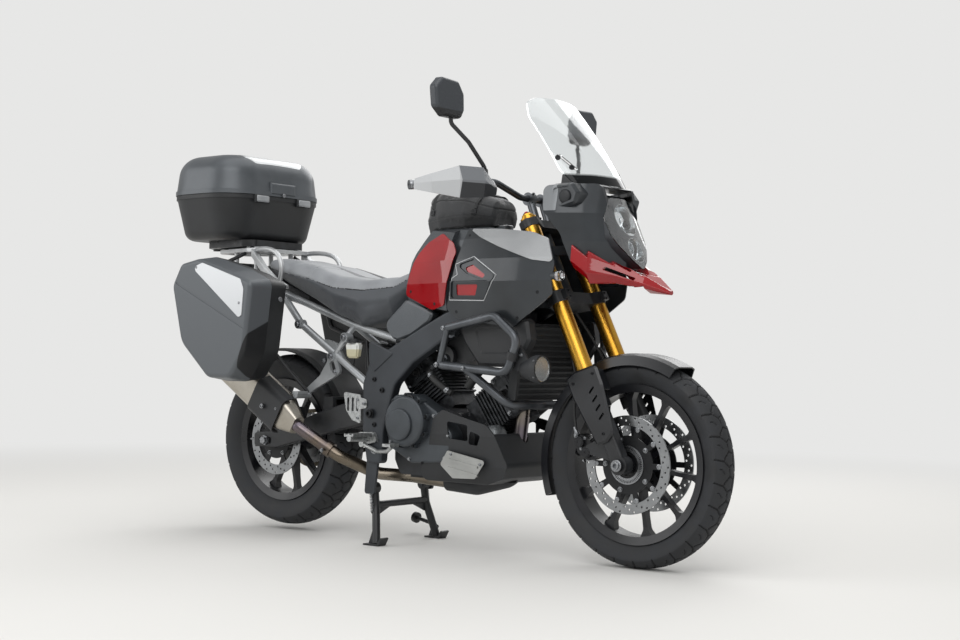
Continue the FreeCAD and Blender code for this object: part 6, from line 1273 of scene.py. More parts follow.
shade(tree, surface, "Roughness", rubbed.outputs["Fac"], 0.42, 0.56)
seam_thread, tree, surface, spot = finish("polyester_thread_dark", Base_Color="#17181a", Roughness=0.8)
twist = noise(tree, spot, 1.5, 2.0)
relief(tree, surface, twist.outputs["Fac"], 0.2)
shade(tree, surface, "Base Color", twist.outputs["Fac"], "#101112", "#232527")

seat = evened("seat_cover", "seat", 6.5, 3.5)
swelled(seat, 4.0, 4.0)
divided(seat)
places = places_of(seat.data) * 1000 + np.array((-AXLE_AHEAD, 0.0, 0.0))
row_x, row_y, row_z = np.array(SEAT_ROWS)[::-1].T
seam_y = np.interp(places[:, 0], row_x, row_y)
seam_z = np.interp(places[:, 0], row_x, row_z)
# The seam runs along the upper edge, and a cross seam parts the rider's place from the passenger's.
SEAM_WIDE = 1.3
over = places[:, 2] - seam_z + (np.abs(places[:, 1]) - seam_y) * 0.35
FAR_AWAY = 99.0
edge_gap = np.where(np.abs(places[:, 1]) > seam_y * 0.7, over, FAR_AWAY)
pressed(seat, edge_gap, 5.0, 2.2)
cross_x = -1302.0 - 0.0016 * places[:, 1] ** 2
cross_gap = np.where(over > 0, places[:, 0] - cross_x, FAR_AWAY)
pressed(seat, cross_gap, 5.0, 2.0)
seat.data.materials.append(vinyl_side)
seat.data.materials.append(vinyl_top_painted_reflection)
seat.data.materials.append(seam_thread)
seam_near = np.minimum(face_means(seat.data, np.abs(cross_gap)), face_means(seat.data, np.abs(edge_gap)))
# Faces above the seam take the lighter vinyl, the top panel's painted reflection.
kind = np.where(face_means(seat.data, over) > 0, 1, 0)
kind = np.where(seam_near < SEAM_WIDE, 2, kind).astype(np.int32)
seat.data.polygons.foreach_set("material_index", kind)
seat.data.polygons.foreach_set("use_smooth", np.ones(len(seat.data.polygons), dtype=bool))
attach(seat, "chassis")
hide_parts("seat")


# Tank bag: a sewn bag of coated nylon over foam, with a zip round its lid, swelled as the saddle is.
# Two webbing straps with buckles hold it down on the tank.
nylon, tree, surface, spot = finish(
    "nylon_woven_coated_black", Base_Color="#1d1e20", Roughness=0.65, IOR=1.53
)
surface.inputs["Sheen Weight"].default_value = 0.3
# The weave is drawn 1.6 mm apart, since the real 0.5 mm threads are too fine to show.
THREAD_APART = 0.0016
threads = []
for axis_name in ("X", "Y", "Z"):
    split = add(tree, "ShaderNodeSeparateXYZ", {0: spot})
    turn = add(tree, "ShaderNodeMath", {0: split.outputs[axis_name]}, operation="MULTIPLY")
    turn.inputs[1].default_value = 2 * math.pi / (2 * THREAD_APART)
    threads.append(add(tree, "ShaderNodeMath", {0: turn.outputs[0]}, operation="SINE").outputs[0])
first = add(tree, "ShaderNodeMath", {0: threads[0], 1: threads[1]}, operation="MULTIPLY")
weave = add(tree, "ShaderNodeMath", {0: first.outputs[0], 1: threads[2]}, operation="ADD")
relief(tree, surface, weave.outputs[0], 0.18)
use = noise(tree, spot, 70, 4.0)
shade(tree, surface, "Base Color", use.outputs["Fac"], "#17181a", "#27292c")
shade(tree, surface, "Roughness", use.outputs["Fac"], 0.55, 0.72)
webbing, tree, surface, spot = finish("nylon_webbing_black", Base_Color="#141517", Roughness=0.6)
ribs = noise(tree, spot, 1.8, 2.0)
relief(tree, surface, ribs.outputs["Fac"], 0.3)
shade(tree, surface, "Base Color", ribs.outputs["Fac"], "#0f1011", "#202224")

bag = evened("tank_bag_cover", "tank_bag", 5.0, 2.5)
swelled(bag, 4.0, 5.0)
divided(bag)
places = places_of(bag.data) * 1000 + np.array((-AXLE_AHEAD, 0.0, 0.0))
LINE_X = (-800, -740, -640, -552)
lid_line = np.interp(places[:, 0], LINE_X, (1178, 1192, 1188, 1162))
zip_gap = places[:, 2] - lid_line
ZIP_WIDE = 2.6
pressed(bag, zip_gap, 4.0, 1.8)
low_line = np.interp(places[:, 0], LINE_X, (1118, 1128, 1138, 1130))
pressed(bag, places[:, 2] - low_line, 3.0, 1.0)
bag.data.materials.append(nylon)
bag.data.materials.append(webbing)
on_zip = face_means(bag.data, np.abs(zip_gap)) < ZIP_WIDE
bag.data.polygons.foreach_set("material_index", on_zip.astype(np.int32))
bag.data.polygons.foreach_set("use_smooth", np.ones(len(bag.data.polygons), dtype=bool))
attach(bag, "chassis")
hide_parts("tank_bag")

# The bag's straps, of woven webbing, lie on its own surface, with a moulded buckle at each end.
# A corded handle is sewn to the lid.
bag_points = [vert.co.copy() for vert in bag.data.vertices]
bag_tree = BVHTree.FromPolygons(bag_points, [list(face.vertices) for face in bag.data.polygons])
BAG_MIDDLE = 1150


def laid_on(start, direction):
    """Where a ray from a place in millimetres meets the bag, in millimetres, and its outward side there."""
    hit, normal = bag_tree.ray_cast(at(*start), Vector(direction))[:2]
    if hit is None:
        return None
    outward = normal if normal.dot(Vector(direction)) < 0 else -normal
    return Vector((hit.x * 1000 - AXLE_AHEAD, hit.y * 1000, hit.z * 1000)), outward


def ribbon(bm, line, wide_dir, width, thick, slot=0):
    """Adds a flat strap along places and outward sides on a surface."""
    rows = []
    for place, outward in line:
        w = Vector(wide_dir) * width / 2
        rows.append([
            bm.verts.new(place - w - outward * 0.5),
            bm.verts.new(place - w + outward * thick),
            bm.verts.new(place + w + outward * thick),
            bm.verts.new(place + w - outward * 0.5),
        ])
    for near, far in zip(rows, rows[1:]):
        for i in range(4):
            j = (i + 1) % 4
            bm.faces.new((near[i], near[j], far[j], far[i])).material_index = slot
    bm.faces.new(rows[0]).material_index = slot
    bm.faces.new(rows[-1]).material_index = slot


bm = bmesh.new()
for x in (-764.0, -606.0):
    line = []
    for i in range(41):
        turn = math.radians(-84 + 168 * i / 40)
        direction = Vector((0, -math.sin(turn), -math.cos(turn)))
        start = Vector((x, 0, BAG_MIDDLE)) - direction * 260
        found = laid_on(start, direction)
        if found is not None:
            line.append(found)
    ribbon(bm, line, (1, 0, 0), 20.0, 1.6, 0)
    for side in (1, -1):
        found = laid_on((x, side * 300, BAG_MIDDLE), (0, -side, 0))
        if found is not None:
            place, outward = found
            buckle = [(0, 0), (0, 12), (4, 12), (5, 11), (5, 6), (3.4, 5.4), (3.4, 0)]
            turned(bm, place + outward, outward, buckle, 4, 1)
handle_line = []
for i in range(16):
    found = laid_on((-690, 40 * math.cos(math.pi * i / 15), 1400), (0, 0, -1))
    if found is not None:
        place, outward = found
        handle_line.append(place + outward * (3 + 14 * math.sin(math.pi * i / 15)))
swept(bm, handle_line, 4.0, 10, 0)
put("tank_bag_straps", bm, "chassis", "bag_fabric", webbing, soft_black)


# Rack: a pressure-cast aluminium plate under the top case, painted light silver.
# Eight zinc-plated bolts hold it down along its edges.
rack_metal, tree, surface, spot = finish("aluminium_cast_silver_paint", Base_Color="#bcbec0", Metallic=0.6)
cast_skin = noise(tree, spot, 1.2, 3.0)
relief(tree, surface, cast_skin.outputs["Fac"], 0.08)
cloud = noise(tree, spot, 80, 4.0)
shade(tree, surface, "Base Color", cloud.outputs["Fac"], "#b0b2b4", "#c9cbcc")
shade(tree, surface, "Roughness", cloud.outputs["Fac"], 0.3, 0.44)
dress(rack_metal, "rear_rack")
bm = bmesh.new()
for side in (1, -1):
    for x, y in ((-1650, 96), (-1765, 84), (-1836, 84), (-1894, 44)):
        socket_bolt(bm, (x, side * y, 1060.4), (0, 0, 1), 5.0, 0)
put("rack_bolts", bm, "chassis", "rack_silver", zinc_steel)

# Grab rails: bent aluminium tube, painted as the rack is.
# Each runs from under the rack round to the saddle's side.
RAIL = (
    (-1652, 124, 1048),
    (-1606, 140, 1054),
    (-1545, 152, 1050),
    (-1496, 158, 1030),
    (-1472, 158, 985),
    (-1480, 158, 926),
)
bm = bmesh.new()
for side in (1, -1):
    rail = [(x, side * y, z) for x, y, z in RAIL]
    swept(bm, curved(rail, 8), 9.0, 14, 0)
put("grab_rails", bm, "chassis", "rack_silver", rack_metal)


# Top case: two moulded shells that meet at a beaded seam, black below and painted dark grey above.
# A silver cap is glued over the lid, which is held by two latches and a lock.
case_black, tree, surface, spot = finish("polypropylene_moulded_case", Base_Color="#1d1e20", Roughness=0.5)
# The leather grain is drawn 2 mm across, a little coarser than the real 1.2 mm.
hide = cells_of(tree, spot, 2.0)
relief(tree, surface, hide.outputs["Distance"], 0.2)
faded = noise(tree, spot, 140, 4.0)
shade(tree, surface, "Base Color", faded.outputs["Fac"], "#18191b", "#26282a")
shade(tree, surface, "Roughness", faded.outputs["Fac"], 0.42, 0.56)
dress(case_black, "top_case_base", "side_case_bases")
case_grey, tree, surface, spot = finish("abs_painted_satin_grey", Base_Color="#54585c", Metallic=0.3)
mist = noise(tree, spot, 1.4, 2.0)
relief(tree, surface, mist.outputs["Fac"], 0.05)
cloud = noise(tree, spot, 160, 3.0)
shade(tree, surface, "Base Color", cloud.outputs["Fac"], "#4c5054", "#5d6165")
shade(tree, surface, "Roughness", cloud.outputs["Fac"], 0.32, 0.44)
dress(case_grey, "top_case_lid")
silver_skin, tree, surface, spot = finish("aluminium_satin_trim", Base_Color="#c9cbcc", Metallic=0.85)
satin = add(tree, "ShaderNodeMapping", {"Vector": spot}, vector_type="POINT")
satin.inputs["Scale"].default_value = (0.06, 1, 1)
strokes = noise(tree, satin.outputs[0], 0.9, 3.0)
shade(tree, surface, "Roughness", strokes.outputs["Fac"], 0.3, 0.46)
relief(tree, surface, strokes.outputs["Fac"], 0.02)
pale = noise(tree, spot, 120, 3.0)
shade(tree, surface, "Base Color", pale.outputs["Fac"], "#bfc1c2", "#d3d5d6")

CASE_BACK, CASE_FRONT = -2035.0, -1635.0
lid_tree = surface_of("top_case_lid")
# The cap's edge from above, as ahead and half width: broad over the front slope, drawn in behind.
CAP_EDGE = ((-1664, 120), (-1690, 150), (-1742, 152), (-1790, 128), (-1850, 108), (-1905, 96), (-1926, 84))
cap_x, cap_y = np.array(CAP_EDGE, dtype=float)[::-1].T
CAP_ROWS, CAP_COLUMNS = 46, 40
bm = bmesh.new()
grid = []
for i in range(CAP_ROWS + 1):
    x = CAP_EDGE[0][0] + (CAP_EDGE[-1][0] - CAP_EDGE[0][0]) * i / CAP_ROWS
    half = float(np.interp(x, cap_x, cap_y))
    row = []
    for j in range(CAP_COLUMNS + 1):
        y = half * (2 * j / CAP_COLUMNS - 1)
        bow = 14 * (1 - (y / half) ** 2) if i == 0 else 0.0
        hit, normal = lid_tree.ray_cast(Vector((x + bow, y, 1500)), Vector((0, 0, -1)))[:2]
        edge = i in (0, CAP_ROWS) or j in (0, CAP_COLUMNS)
        row.append(bm.verts.new(hit + normal * (-0.4 if edge else 1.2)))
    grid.append(row)
for i in range(CAP_ROWS):
    for j in range(CAP_COLUMNS):
        bm.faces.new((grid[i][j], grid[i + 1][j], grid[i + 1][j + 1], grid[i][j + 1]))
put("top_case_cap", bm, "top_case_lid", "plate_silver", silver_skin)


def case_edge(z, inset, steps=10):
    """The top case's rounded plan at one height, drawn in by an inset, as places in millimetres."""
    x0, x1, half, corner = CASE_BACK + inset, CASE_FRONT - inset, 270.0 - inset, 146.0 - inset
    loop = []
    for cx, cy, begin in ((x1, half, 0), (x0, half, 90), (x0, -half, 180), (x1, -half, 270)):
        mx = cx - corner if cx == x1 else cx + corner
        my = cy - corner if cy == half else cy + corner
        for i in range(steps + 1):
            turn = math.radians(begin + 90.0 * i / steps)
            loop.append(Vector((mx + corner * math.cos(turn), my + corner * math.sin(turn), z)))
    return loop


# The lid's seal is a rubber bead in the seam.
bm = bmesh.new()
swept(bm, case_edge(1262.2, 3.2), 1.6, 8, 0, closed=True)
put("top_case_seal", bm, "chassis", "case_black", dark_rubber_and_groove_shade)
# Two painted latches on the seam face the saddle, with a turned steel lock between them.
bm = bmesh.new()
for y in (-110.0, 110.0):
    block = bmesh.ops.create_cube(bm, size=1.0)["verts"]
    for vert in block:
        tall = 22 if vert.co.x > 0 else 28
        vert.co = Vector((-1629.5 + vert.co.x * 9, y + vert.co.y * 62, 1247 + vert.co.z * tall))
    faces = list({face for vert in block for face in vert.link_faces})
    edges = list({edge for face in faces for edge in face.edges})
    bmesh.ops.bevel(bm, geom=edges, offset=2.5, segments=3, affect="EDGES")
put("top_case_latches", bm, "chassis", "case_grey", silver_paint)
bm = bmesh.new()
lock = [(0, 0), (0, 8), (1.4, 8), (2, 7.2), (2, 4), (1.2, 3.6), (1.2, 0)]
turned(bm, (-1629.8, 0, 1268), (1, 0, 0), lock, 28, 0)
put("top_case_lock", bm, "top_case_lid", "plate_silver", zinc_steel)

# Side cases: moulded black shells on steel carriers, with the outer lid painted grey behind a crease.
# A silver plate on each lid is held by two rivets.
LID_GREY_LINE = ((-1318.0, 766.0), (-1401.0, 565.0))
PLATE_OUT = 0.4626  # how far out the plate's face begins, in metres
lid_finish, tree, surface, spot = finish("abs_moulded_two_tone_lid", Base_Color="#54585c", Metallic=0.25)
line_x = LID_GREY_LINE[1][0] - LID_GREY_LINE[0][0]
line_z = LID_GREY_LINE[1][1] - LID_GREY_LINE[0][1]
line_long = math.hypot(line_x, line_z)
ahead_of_line = add(tree, "ShaderNodeVectorMath", {0: spot}, operation="DOT_PRODUCT")
ahead_of_line.inputs[1].default_value = (-line_z / line_long, 0, line_x / line_long)
line_foot = at(LID_GREY_LINE[0][0], 0, LID_GREY_LINE[0][1])
start_share = (-line_z * line_foot.x + line_x * line_foot.z) / line_long
split = add(tree, "ShaderNodeSeparateXYZ", {0: spot})
outward_share = add(tree, "ShaderNodeMath", {0: split.outputs["Y"]}, operation="ABSOLUTE")
in_front = add(tree, "ShaderNodeMapRange", {"Value": ahead_of_line.outputs["Value"]})
in_front.inputs["From Min"].default_value = start_share - 0.0006
in_front.inputs["From Max"].default_value = start_share + 0.0006
on_plate = add(tree, "ShaderNodeMath", {0: outward_share.outputs[0]}, operation="GREATER_THAN")
on_plate.inputs[1].default_value = PLATE_OUT
tones = add(tree, "ShaderNodeMixRGB", {"Fac": in_front.outputs["Result"]})
tones.inputs["Color1"].default_value = linear("#585c60")
tones.inputs["Color2"].default_value = linear("#1f2022")
plated = add(tree, "ShaderNodeMixRGB", {"Fac": on_plate.outputs[0], "Color1": tones.outputs["Color"]})
plated.inputs["Color2"].default_value = linear("#c2c4c6")
tree.links.new(plated.outputs["Color"], surface.inputs["Base Color"])
shade(tree, surface, "Metallic", on_plate.outputs[0], 0.25, 0.85, 0.0, 1.0)
shade(tree, surface, "Roughness", on_plate.outputs[0], 0.42, 0.34, 0.0, 1.0)
hide = cells_of(tree, spot, 2.0)
grained = add(tree, "ShaderNodeMath", {0: hide.outputs["Distance"]}, operation="MULTIPLY")
tree.links.new(in_front.outputs["Result"], grained.inputs[1])
relief(tree, surface, grained.outputs[0], 0.2)
dress(lid_finish, "side_case_lid_left", "side_case_lid_right")
for side, name, body in (
    (1, "case_rivets_left", "side_case_lid_left"),
    (-1, "case_rivets_right", "side_case_lid_right"),
):
    bm = bmesh.new()
    for x, z in ((-1592.0, 966.0), (-1366.0, 836.0)):
        rivet = [(-0.6, 0), (-0.6, 5.2), (0.6, 5.0), (1.6, 3.8), (2.1, 2.0), (2.2, 0)]
        turned(bm, (x, side * 464.0, z), (0, side, 0), rivet, 20, 0)
    put(name, bm, body, "plate_silver", zinc_steel)
bm = bmesh.new()
for side in (1, -1):
    lock = [(0, 0), (0, 9), (1.2, 9), (1.8, 8.2), (1.8, 4), (1.0, 3.6), (1.0, 0)]
    turned(bm, (-1297.0, side * 330, 852), (1, 0, 0.2), lock, 24, 1)
    for z in (700.0, 880.0):
        turned(bm, (-1441.0, side * 278, z), (0, side, 0), [(0, 0), (0, 11), (8, 11), (8, 0)], 18, 0)
put("case_fixings", bm, "chassis", "case_black", soft_black, zinc_steel)


# Lamps in front: clear polycarbonate lenses over silvered bowls with a dark bezel, and a projector below.
# The lenses are moulded and glued to housings that are screwed to the nose or clamped to the bars.
lens_clear, tree, surface, spot = finish(
    "polycarbonate_clear", Base_Color="#fbfcfc", Roughness=0.02, IOR=1.58
)
surface.inputs["Transmission Weight"].default_value = 1.0
split = add(tree, "ShaderNodeSeparateXYZ", {0: spot})
# The fog lamps' lenses, which sit below 0.7 m, are fluted every 5 mm. The headlamp's is smooth.
FLUTE_APART, FOG_BELOW = 0.005, 0.7
flutes = add(tree, "ShaderNodeMath", {0: split.outputs["Y"]}, operation="MULTIPLY")
flutes.inputs[1].default_value = 2 * math.pi / FLUTE_APART
flute_wave = add(tree, "ShaderNodeMath", {0: flutes.outputs[0]}, operation="SINE")
below = add(tree, "ShaderNodeMath", {0: split.outputs["Z"]}, operation="LESS_THAN")
below.inputs[1].default_value = FOG_BELOW
fluted = add(tree, "ShaderNodeMath", {0: flute_wave.outputs[0], 1: below.outputs[0]}, operation="MULTIPLY")
relief(tree, surface, fluted.outputs[0], 0.15)
dress(lens_clear, "lamp_lenses")

# The headlamp's bowl is vacuum-silvered round both lamps and satin dark grey between them.
bowl_finish, tree, surface, spot = finish("plastic_silvered_and_satin", Base_Color="#2b2d30", IOR=1.5)
LAMP_HEIGHTS = (1006.0, 1104.0)  # the projector and the upper lamp
LAMP_RADII = (39.0, 51.0)
shares = []
for z, radius in zip(LAMP_HEIGHTS, LAMP_RADII):
    offset = add(tree, "ShaderNodeVectorMath", {0: spot}, operation="SUBTRACT")
    offset.inputs[1].default_value = (0, 0, z / 1000)
    flat = add(tree, "ShaderNodeVectorMath", {0: offset.outputs[0]}, operation="MULTIPLY")
    flat.inputs[1].default_value = (0, 1, 1)
    gap = add(tree, "ShaderNodeVectorMath", {0: flat.outputs[0]}, operation="LENGTH")
    near = add(tree, "ShaderNodeMath", {0: gap.outputs["Value"]}, operation="LESS_THAN")
    near.inputs[1].default_value = radius / 1000
    shares.append(near.outputs[0])
silvered = add(tree, "ShaderNodeMath", {0: shares[0], 1: shares[1]}, operation="MAXIMUM")
shade(tree, surface, "Base Color", silvered.outputs[0], "#3a3d41", "#d5d8da", 0.0, 1.0)
shade(tree, surface, "Metallic", silvered.outputs[0], 0.2, 1.0, 0.0, 1.0)
shade(tree, surface, "Roughness", silvered.outputs[0], 0.35, 0.1, 0.0, 1.0)
facets = cells_of(tree, spot, 9, "F1")
relief(tree, surface, facets.outputs["Distance"], 0.5)
dress(bowl_finish, "headlamp")

chrome, tree, surface, spot = finish(
    "plastic_vacuum_silvered", Base_Color="#dfe2e4", Metallic=1.0, Roughness=0.08
)
pebbles = cells_of(tree, spot, 7, "F1")
relief(tree, surface, pebbles.outputs["Distance"], 0.6)
projector_glass, tree, surface, spot = finish(
    "glass_pressed_projector", Base_Color="#eef2f4", Roughness=0.02
)
surface.inputs["Transmission Weight"].default_value = 0.6
surface.inputs["IOR"].default_value = 1.52
swirl = noise(tree, spot, 20, 2.0)
shade(tree, surface, "Base Color", swirl.outputs["Fac"], "#7d8a92", "#a9b4ba")

# The projector has a chromed ring and a domed glass, and the upper lamp a bulb's hood on three arms.
LENS_LEAN, LENS_FOOT, LENS_DEPTH = 0.42, 943, 33
low_hub, high_hub = [Vector((-(z - LENS_FOOT) * LENS_LEAN - LENS_DEPTH, 0, z)) for z in LAMP_HEIGHTS]
bm = bmesh.new()
turned(bm, low_hub, (1, 0, 0), [(0, 24.6), (0, 29), (6, 29), (7, 28), (7, 24.6), (2, 24.2)], 40, 0)
turned(bm, low_hub, (1, 0, 0), [(0, 0), (0, 24), (3, 24), (9, 20), (13, 13), (15, 6), (15.4, 0)], 40, 1)
turned(bm, high_hub, (1, 0, 0), [(0, 0), (0, 11), (14, 11), (20, 9), (22, 5), (22, 0)], 28, 0)
for i in range(3):
    turn = math.radians(i * 120 + 90)
    start = high_hub + Vector((4, 10 * math.cos(turn), 10 * math.sin(turn)))
    end = start + Vector((-2, 36 * math.cos(turn), 36 * math.sin(turn)))
    swept(bm, [start, end], 1.8, 8, 0)
put("headlamp_inner", bm, "chassis", "lamp_clear", chrome, projector_glass)

# Front indicators and fog lamps: a satin silvered dish behind each lens.
# Small bolts round the fog lamps' black housings hold the lenses, and two hold each lamp's arm.
INDICATOR = (-176.0, 212.0, 918.0)
FOG = (-233.0, 210.0, 624.0)
dish_silver, tree, surface, spot = finish("plastic_silvered_satin_dish", Base_Color="#e6e8ea", Metallic=0.6)
waver = noise(tree, spot, 8, 1.0)
shade(tree, surface, "Base Color", waver.outputs["Fac"], "#d9dcde", "#eceef0")
shade(tree, surface, "Roughness", waver.outputs["Fac"], 0.3, 0.4)
bm = bmesh.new()
for side in (1, -1):
    x, y, z = INDICATOR
    dish = [(0, 0), (0, 13.8), (0.8, 13.8), (0.6, 5), (0.6, 0)]
    turned(bm, (x - 4.4, side * y, z), (1, 0, 0), dish, 24, 0)
    fog_dish = [(0, 0), (0, 39.4), (0.9, 39.4), (0.5, 14), (0.5, 0)]
    turned(bm, (FOG[0] - 9.0, side * FOG[1], FOG[2]), (1, 0, 0), fog_dish, 40, 0)
put("lamp_dishes", bm, "chassis", "lamp_clear", dish_silver)
dress(soft_black, "fog_lamps")
bm = bmesh.new()
for side in (1, -1):
    for angle in (35, 145, 215, 325):
        out = Vector((0, math.cos(math.radians(angle)), math.sin(math.radians(angle))))
        place = Vector((FOG[0] - 8, side * FOG[1], FOG[2])) + out * 44.0
        socket_bolt(bm, place, out, 3.4, 0)
    socket_bolt(bm, (-300, side * 234.4, 668), (0, side, 0), 5.0, 0)
    socket_bolt(bm, (-286, side * 234.4, 628), (0, side, 0), 4.0, 0)
put("fog_lamp_bolts", bm, "chassis", "black_plastic", zinc_steel)

# Tail lamp and rear indicators: red and amber acrylic, set into the tail and its arms.
# The prisms moulded inside are 4 mm apart.
PRISM_APART = 0.004
red_acrylic, tree, surface, spot = finish(
    "acrylic_moulded_red", Base_Color="#8e1014", Roughness=0.12, IOR=1.49
)
surface.inputs["Transmission Weight"].default_value = 0.35
split = add(tree, "ShaderNodeSeparateXYZ", {0: spot})
prism_turn = add(tree, "ShaderNodeMath", {0: split.outputs["Y"]}, operation="MULTIPLY")
prism_turn.inputs[1].default_value = 2 * math.pi / PRISM_APART
prisms = add(tree, "ShaderNodeMath", {0: prism_turn.outputs[0]}, operation="SINE")
relief(tree, surface, prisms.outputs[0], 0.3)
outboard = add(tree, "ShaderNodeMath", {0: split.outputs["Y"]}, operation="ABSOLUTE")
shade(tree, surface, "Base Color", outboard.outputs[0], "#9a0f14", "#d98a3a", 0.110, 0.114)
dress(red_acrylic, "tail_lamps")


# Windscreen: one sheet of clear polycarbonate, faintly smoked, with a black printed band at its foot.
# It is bowed while hot, and four screws in round collars hold it.
BAND_TOP = (1.244, 1.252)  # the heights over which the band fades, in metres
screen_sheet, tree, surface, spot = finish("polycarbonate_smoked_sheet", Base_Color="#f2f5f6", IOR=1.4)
surface.inputs["Roughness"].default_value = 0.05
surface.inputs["Specular IOR Level"].default_value = 0.2
split = add(tree, "ShaderNodeSeparateXYZ", {0: spot})
haze = noise(tree, spot, 60, 4.0)
band = add(tree, "ShaderNodeMath", {0: haze.outputs["Fac"]}, operation="MULTIPLY_ADD")
band.inputs[1].default_value = 0.004
tree.links.new(split.outputs["Z"], band.inputs[2])
shade(tree, surface, "Transmission Weight", band.outputs[0], 0.25, 1.0, *BAND_TOP)
shade(tree, surface, "Base Color", band.outputs[0], "#17191b", "#eef2f3", *BAND_TOP)
dress(screen_sheet, "windscreen")
bm = bmesh.new()
screen_face = surface_of("windscreen")
for side in (1, -1):
    for y, z in ((150.0, 1300.0), (128.0, 1268.0)):
        hit, normal = screen_face.ray_cast(Vector((200, side * (y + 7), z)), Vector((-1, 0, 0)))[:2]
        if hit is not None:
            outward = normal if normal.x > 0 else -normal
            collar = [(0, 0), (0, 9), (3, 9), (4, 8), (4, 4.4), (2.4, 4), (2.4, 0)]
            turned(bm, hit - outward, outward, collar, 24, 0)
put("screen_fixings", bm, "chassis", "screen_clear", black_steel)

# Instruments: a black moulded case, screwed behind the windscreen.
# A round dial and a flat display lie under dark glass, unlit.
dress(guard_plastic, "instrument_panel")
display_glass, tree, surface, spot = finish(
    "glass_display_unlit", Base_Color="#14191c", Roughness=0.05, IOR=1.52
)
glare = noise(tree, spot, 30, 2.0)
shade(tree, surface, "Base Color", glare.outputs["Fac"], "#11161a", "#232b30")
bm = bmesh.new()
turned(
    bm, (-256.6, 42, 1216), (-1, 0, 0.2), [(0, 0), (0, 31), (2.4, 31), (2.4, 27), (1, 26), (1, 0)], 40, 0
)
display = ((-68, 1198), (-10, 1198), (-10, 1238), (-68, 1238))
bm.faces.new([bm.verts.new((-256.4, y, z)) for y, z in display])
put("instrument_glass", bm, "chassis", "black_plastic", display_glass)


# Controls: an anodised bar, ribbed rubber grips, black levers and switch blocks, and steel bar-end weights.
# Small bolts clamp the levers and cups to the bar, and four more close the bar's own clamp.
bar_metal, tree, surface, spot = finish(
    "aluminium_anodised_grey", Base_Color="#5b5d60", Metallic=1.0, Roughness=0.34
)
fine = noise(tree, spot, 1.6, 2.0)
shade(tree, surface, "Roughness", fine.outputs["Fac"], 0.28, 0.42)
dress(bar_metal, "handlebar")
dress(guard_plastic, "hand_controls")
BAR_RISE, BAR_END = Vector((-446.0, 196.0, 1232.0)), Vector((-588.0, 432.0, 1208.0))
bar_line = BAR_END - BAR_RISE
RIBS = 26
GRIP_BEGIN, GRIP_SHARE = 0.485, 0.48  # shares of the bar from its bend to its end
bm = bmesh.new()
for side in (1, -1):
    flip = Vector((1, side, 1))
    start = (BAR_RISE + bar_line * GRIP_BEGIN) * flip
    run = bar_line * flip
    grip_long = bar_line.length * GRIP_SHARE
    step = grip_long / RIBS
    grip = [(0, 0), (0, 16.7)]
    for i in range(RIBS):
        grip += [
            (step * (i + share), radius)
            for share, radius in ((0.2, 16.8), (0.32, 18), (0.8, 18), (0.92, 16.8))
        ]
    turned(bm, start, run, grip + [(grip_long, 16.7), (grip_long, 0)], 40, 0)
    weight = [(0, 15.2), (2, 15.6), (17, 15.6), (19.6, 14), (19.6, 5), (16, 4.6), (16, 0)]
    turned(bm, BAR_END * flip, run, weight, 28, 1)
put("handlebar_grips", bm, "steering", "bar_black", dark_rubber_and_groove_shade, zinc_steel)
bm = bmesh.new()
for side in (1, -1):
    for along in (0.1, 0.2):
        spot_at = (BAR_RISE + bar_line * along) * Vector((1, side, 1)) + Vector((16, 0, 4))
        socket_bolt(bm, spot_at, (1, 0, 0.3), 3.6, 0)
    cup_at = (BAR_RISE + bar_line * 0.16) * Vector((1, side, 1)) + Vector((-4, side * 18, 40))
    for dx, dy in ((-12, -12), (12, 12)):
        socket_bolt(bm, cup_at + Vector((dx, dy, 0.4)), (0, 0, 1), 2.6, 0)
    for y in (-34.0, 34.0):
        for dx in (-15.0, 15.0):
            socket_bolt(bm, (-424 + dx, y, 1206), (0.1 if dx > 0 else -0.1, 0, 1), 4.0, 0)
put("control_bolts", bm, "steering", "bar_black", zinc_steel)

# Hand guards: moulded ABS, bolted to the bar's end and to the lever's clamp.
# They have three tones: silver at the outer end, grey above the crease and black below.
GUARD_CREASE, GUARD_END = (1.2095, 1.2105), (0.402, 0.404)  # where the tones change, in metres
guard_tones, tree, surface, spot = finish(
    "abs_moulded_three_tone", Base_Color="#6a6d71", Roughness=0.38, IOR=1.53
)
split = add(tree, "ShaderNodeSeparateXYZ", {0: spot})
outboard = add(tree, "ShaderNodeMath", {0: split.outputs["Y"]}, operation="ABSOLUTE")
upper = add(tree, "ShaderNodeMapRange", {"Value": split.outputs["Z"]})
outer = add(tree, "ShaderNodeMapRange", {"Value": outboard.outputs[0]})
for ramp, (begin, end) in ((upper, GUARD_CREASE), (outer, GUARD_END)):
    ramp.inputs["From Min"].default_value = begin
    ramp.inputs["From Max"].default_value = end
two = add(tree, "ShaderNodeMixRGB", {"Fac": upper.outputs["Result"]})
two.inputs["Color1"].default_value = linear("#26282b")
two.inputs["Color2"].default_value = linear("#74777b")
three = add(tree, "ShaderNodeMixRGB", {"Fac": outer.outputs["Result"], "Color1": two.outputs["Color"]})
three.inputs["Color2"].default_value = linear("#b4b6b8")
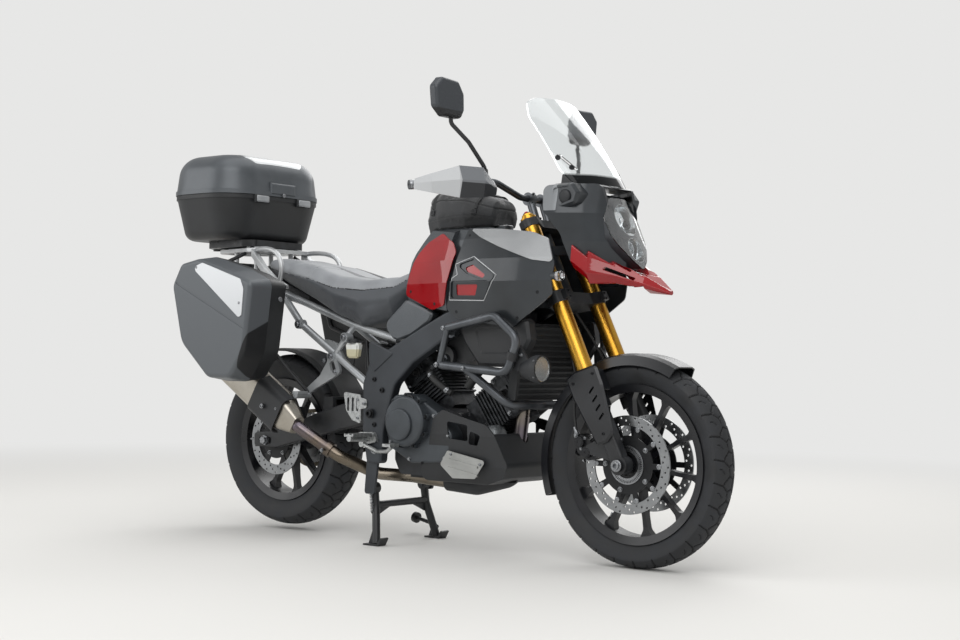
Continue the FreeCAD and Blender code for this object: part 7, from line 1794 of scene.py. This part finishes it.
tree.links.new(three.outputs["Color"], surface.inputs["Base Color"])
grain_cells = cells_of(tree, spot, 1.1)
relief(tree, surface, grain_cells.outputs["Distance"], 0.05)
dress(guard_tones, "hand_guards")


# Mirrors: a dark grey moulded back on a bent steel stalk, and silvered glass set in a rubber lip.
# The glass is glued in, and the lip is pressed round it.
mirror_back, tree, surface, spot = finish(
    "abs_moulded_mirror_back", Base_Color="#2e3135", Roughness=0.4, IOR=1.53
)
split = add(tree, "ShaderNodeSeparateXYZ", {0: spot})
shade(tree, surface, "Base Color", split.outputs["Z"], "#1b1c1e", "#35393e", 1.446, 1.448)
fuzz = cells_of(tree, spot, 1.0)
relief(tree, surface, fuzz.outputs["Distance"], 0.05)
dress(mirror_back, "mirrors")
mirror_glass, tree, surface, spot = finish(
    "glass_silvered", Base_Color="#dfe4e6", Metallic=1.0, Roughness=0.02
)
tint_noise = noise(tree, spot, 80, 1.0)
shade(tree, surface, "Base Color", tint_noise.outputs["Fac"], "#d5dcdf", "#e4e9eb")
MIRROR = (
    (324, 1424), (406, 1424), (444, 1452), (452, 1516), (420, 1548), (338, 1544), (310, 1506), (308, 1452)
)
MIRROR_MIDDLE = (380, 1486)


def mirror_ring(side, share):
    """The housing's outline on one side, drawn in to a share of its size, as across and up."""
    middle_y, middle_z = MIRROR_MIDDLE
    return [
        (side * (middle_y + (y - middle_y) * share), middle_z + (z - middle_z) * share) for y, z in MIRROR
    ]


bm = bmesh.new()
for side in (1, -1):
    pane = [bm.verts.new((-512.6, y, z)) for y, z in mirror_ring(side, 0.885)]
    bm.faces.new(pane)
    bmesh.ops.bevel(bm, geom=pane, offset=10, segments=4, affect="VERTICES")
    ring = mirror_ring(side, 0.9)
    lip = []
    for (y0, z0), (y1, z1) in zip(ring, ring[1:] + ring[:1]):
        for far in (0.12, 0.88):
            lip.append((-512.4, y0 + (y1 - y0) * far, z0 + (z1 - z0) * far))
    swept(bm, lip, 1.5, 8, 1, closed=True)
put("mirror_glass", bm, "steering", "bar_black", mirror_glass, dark_rubber_and_groove_shade)
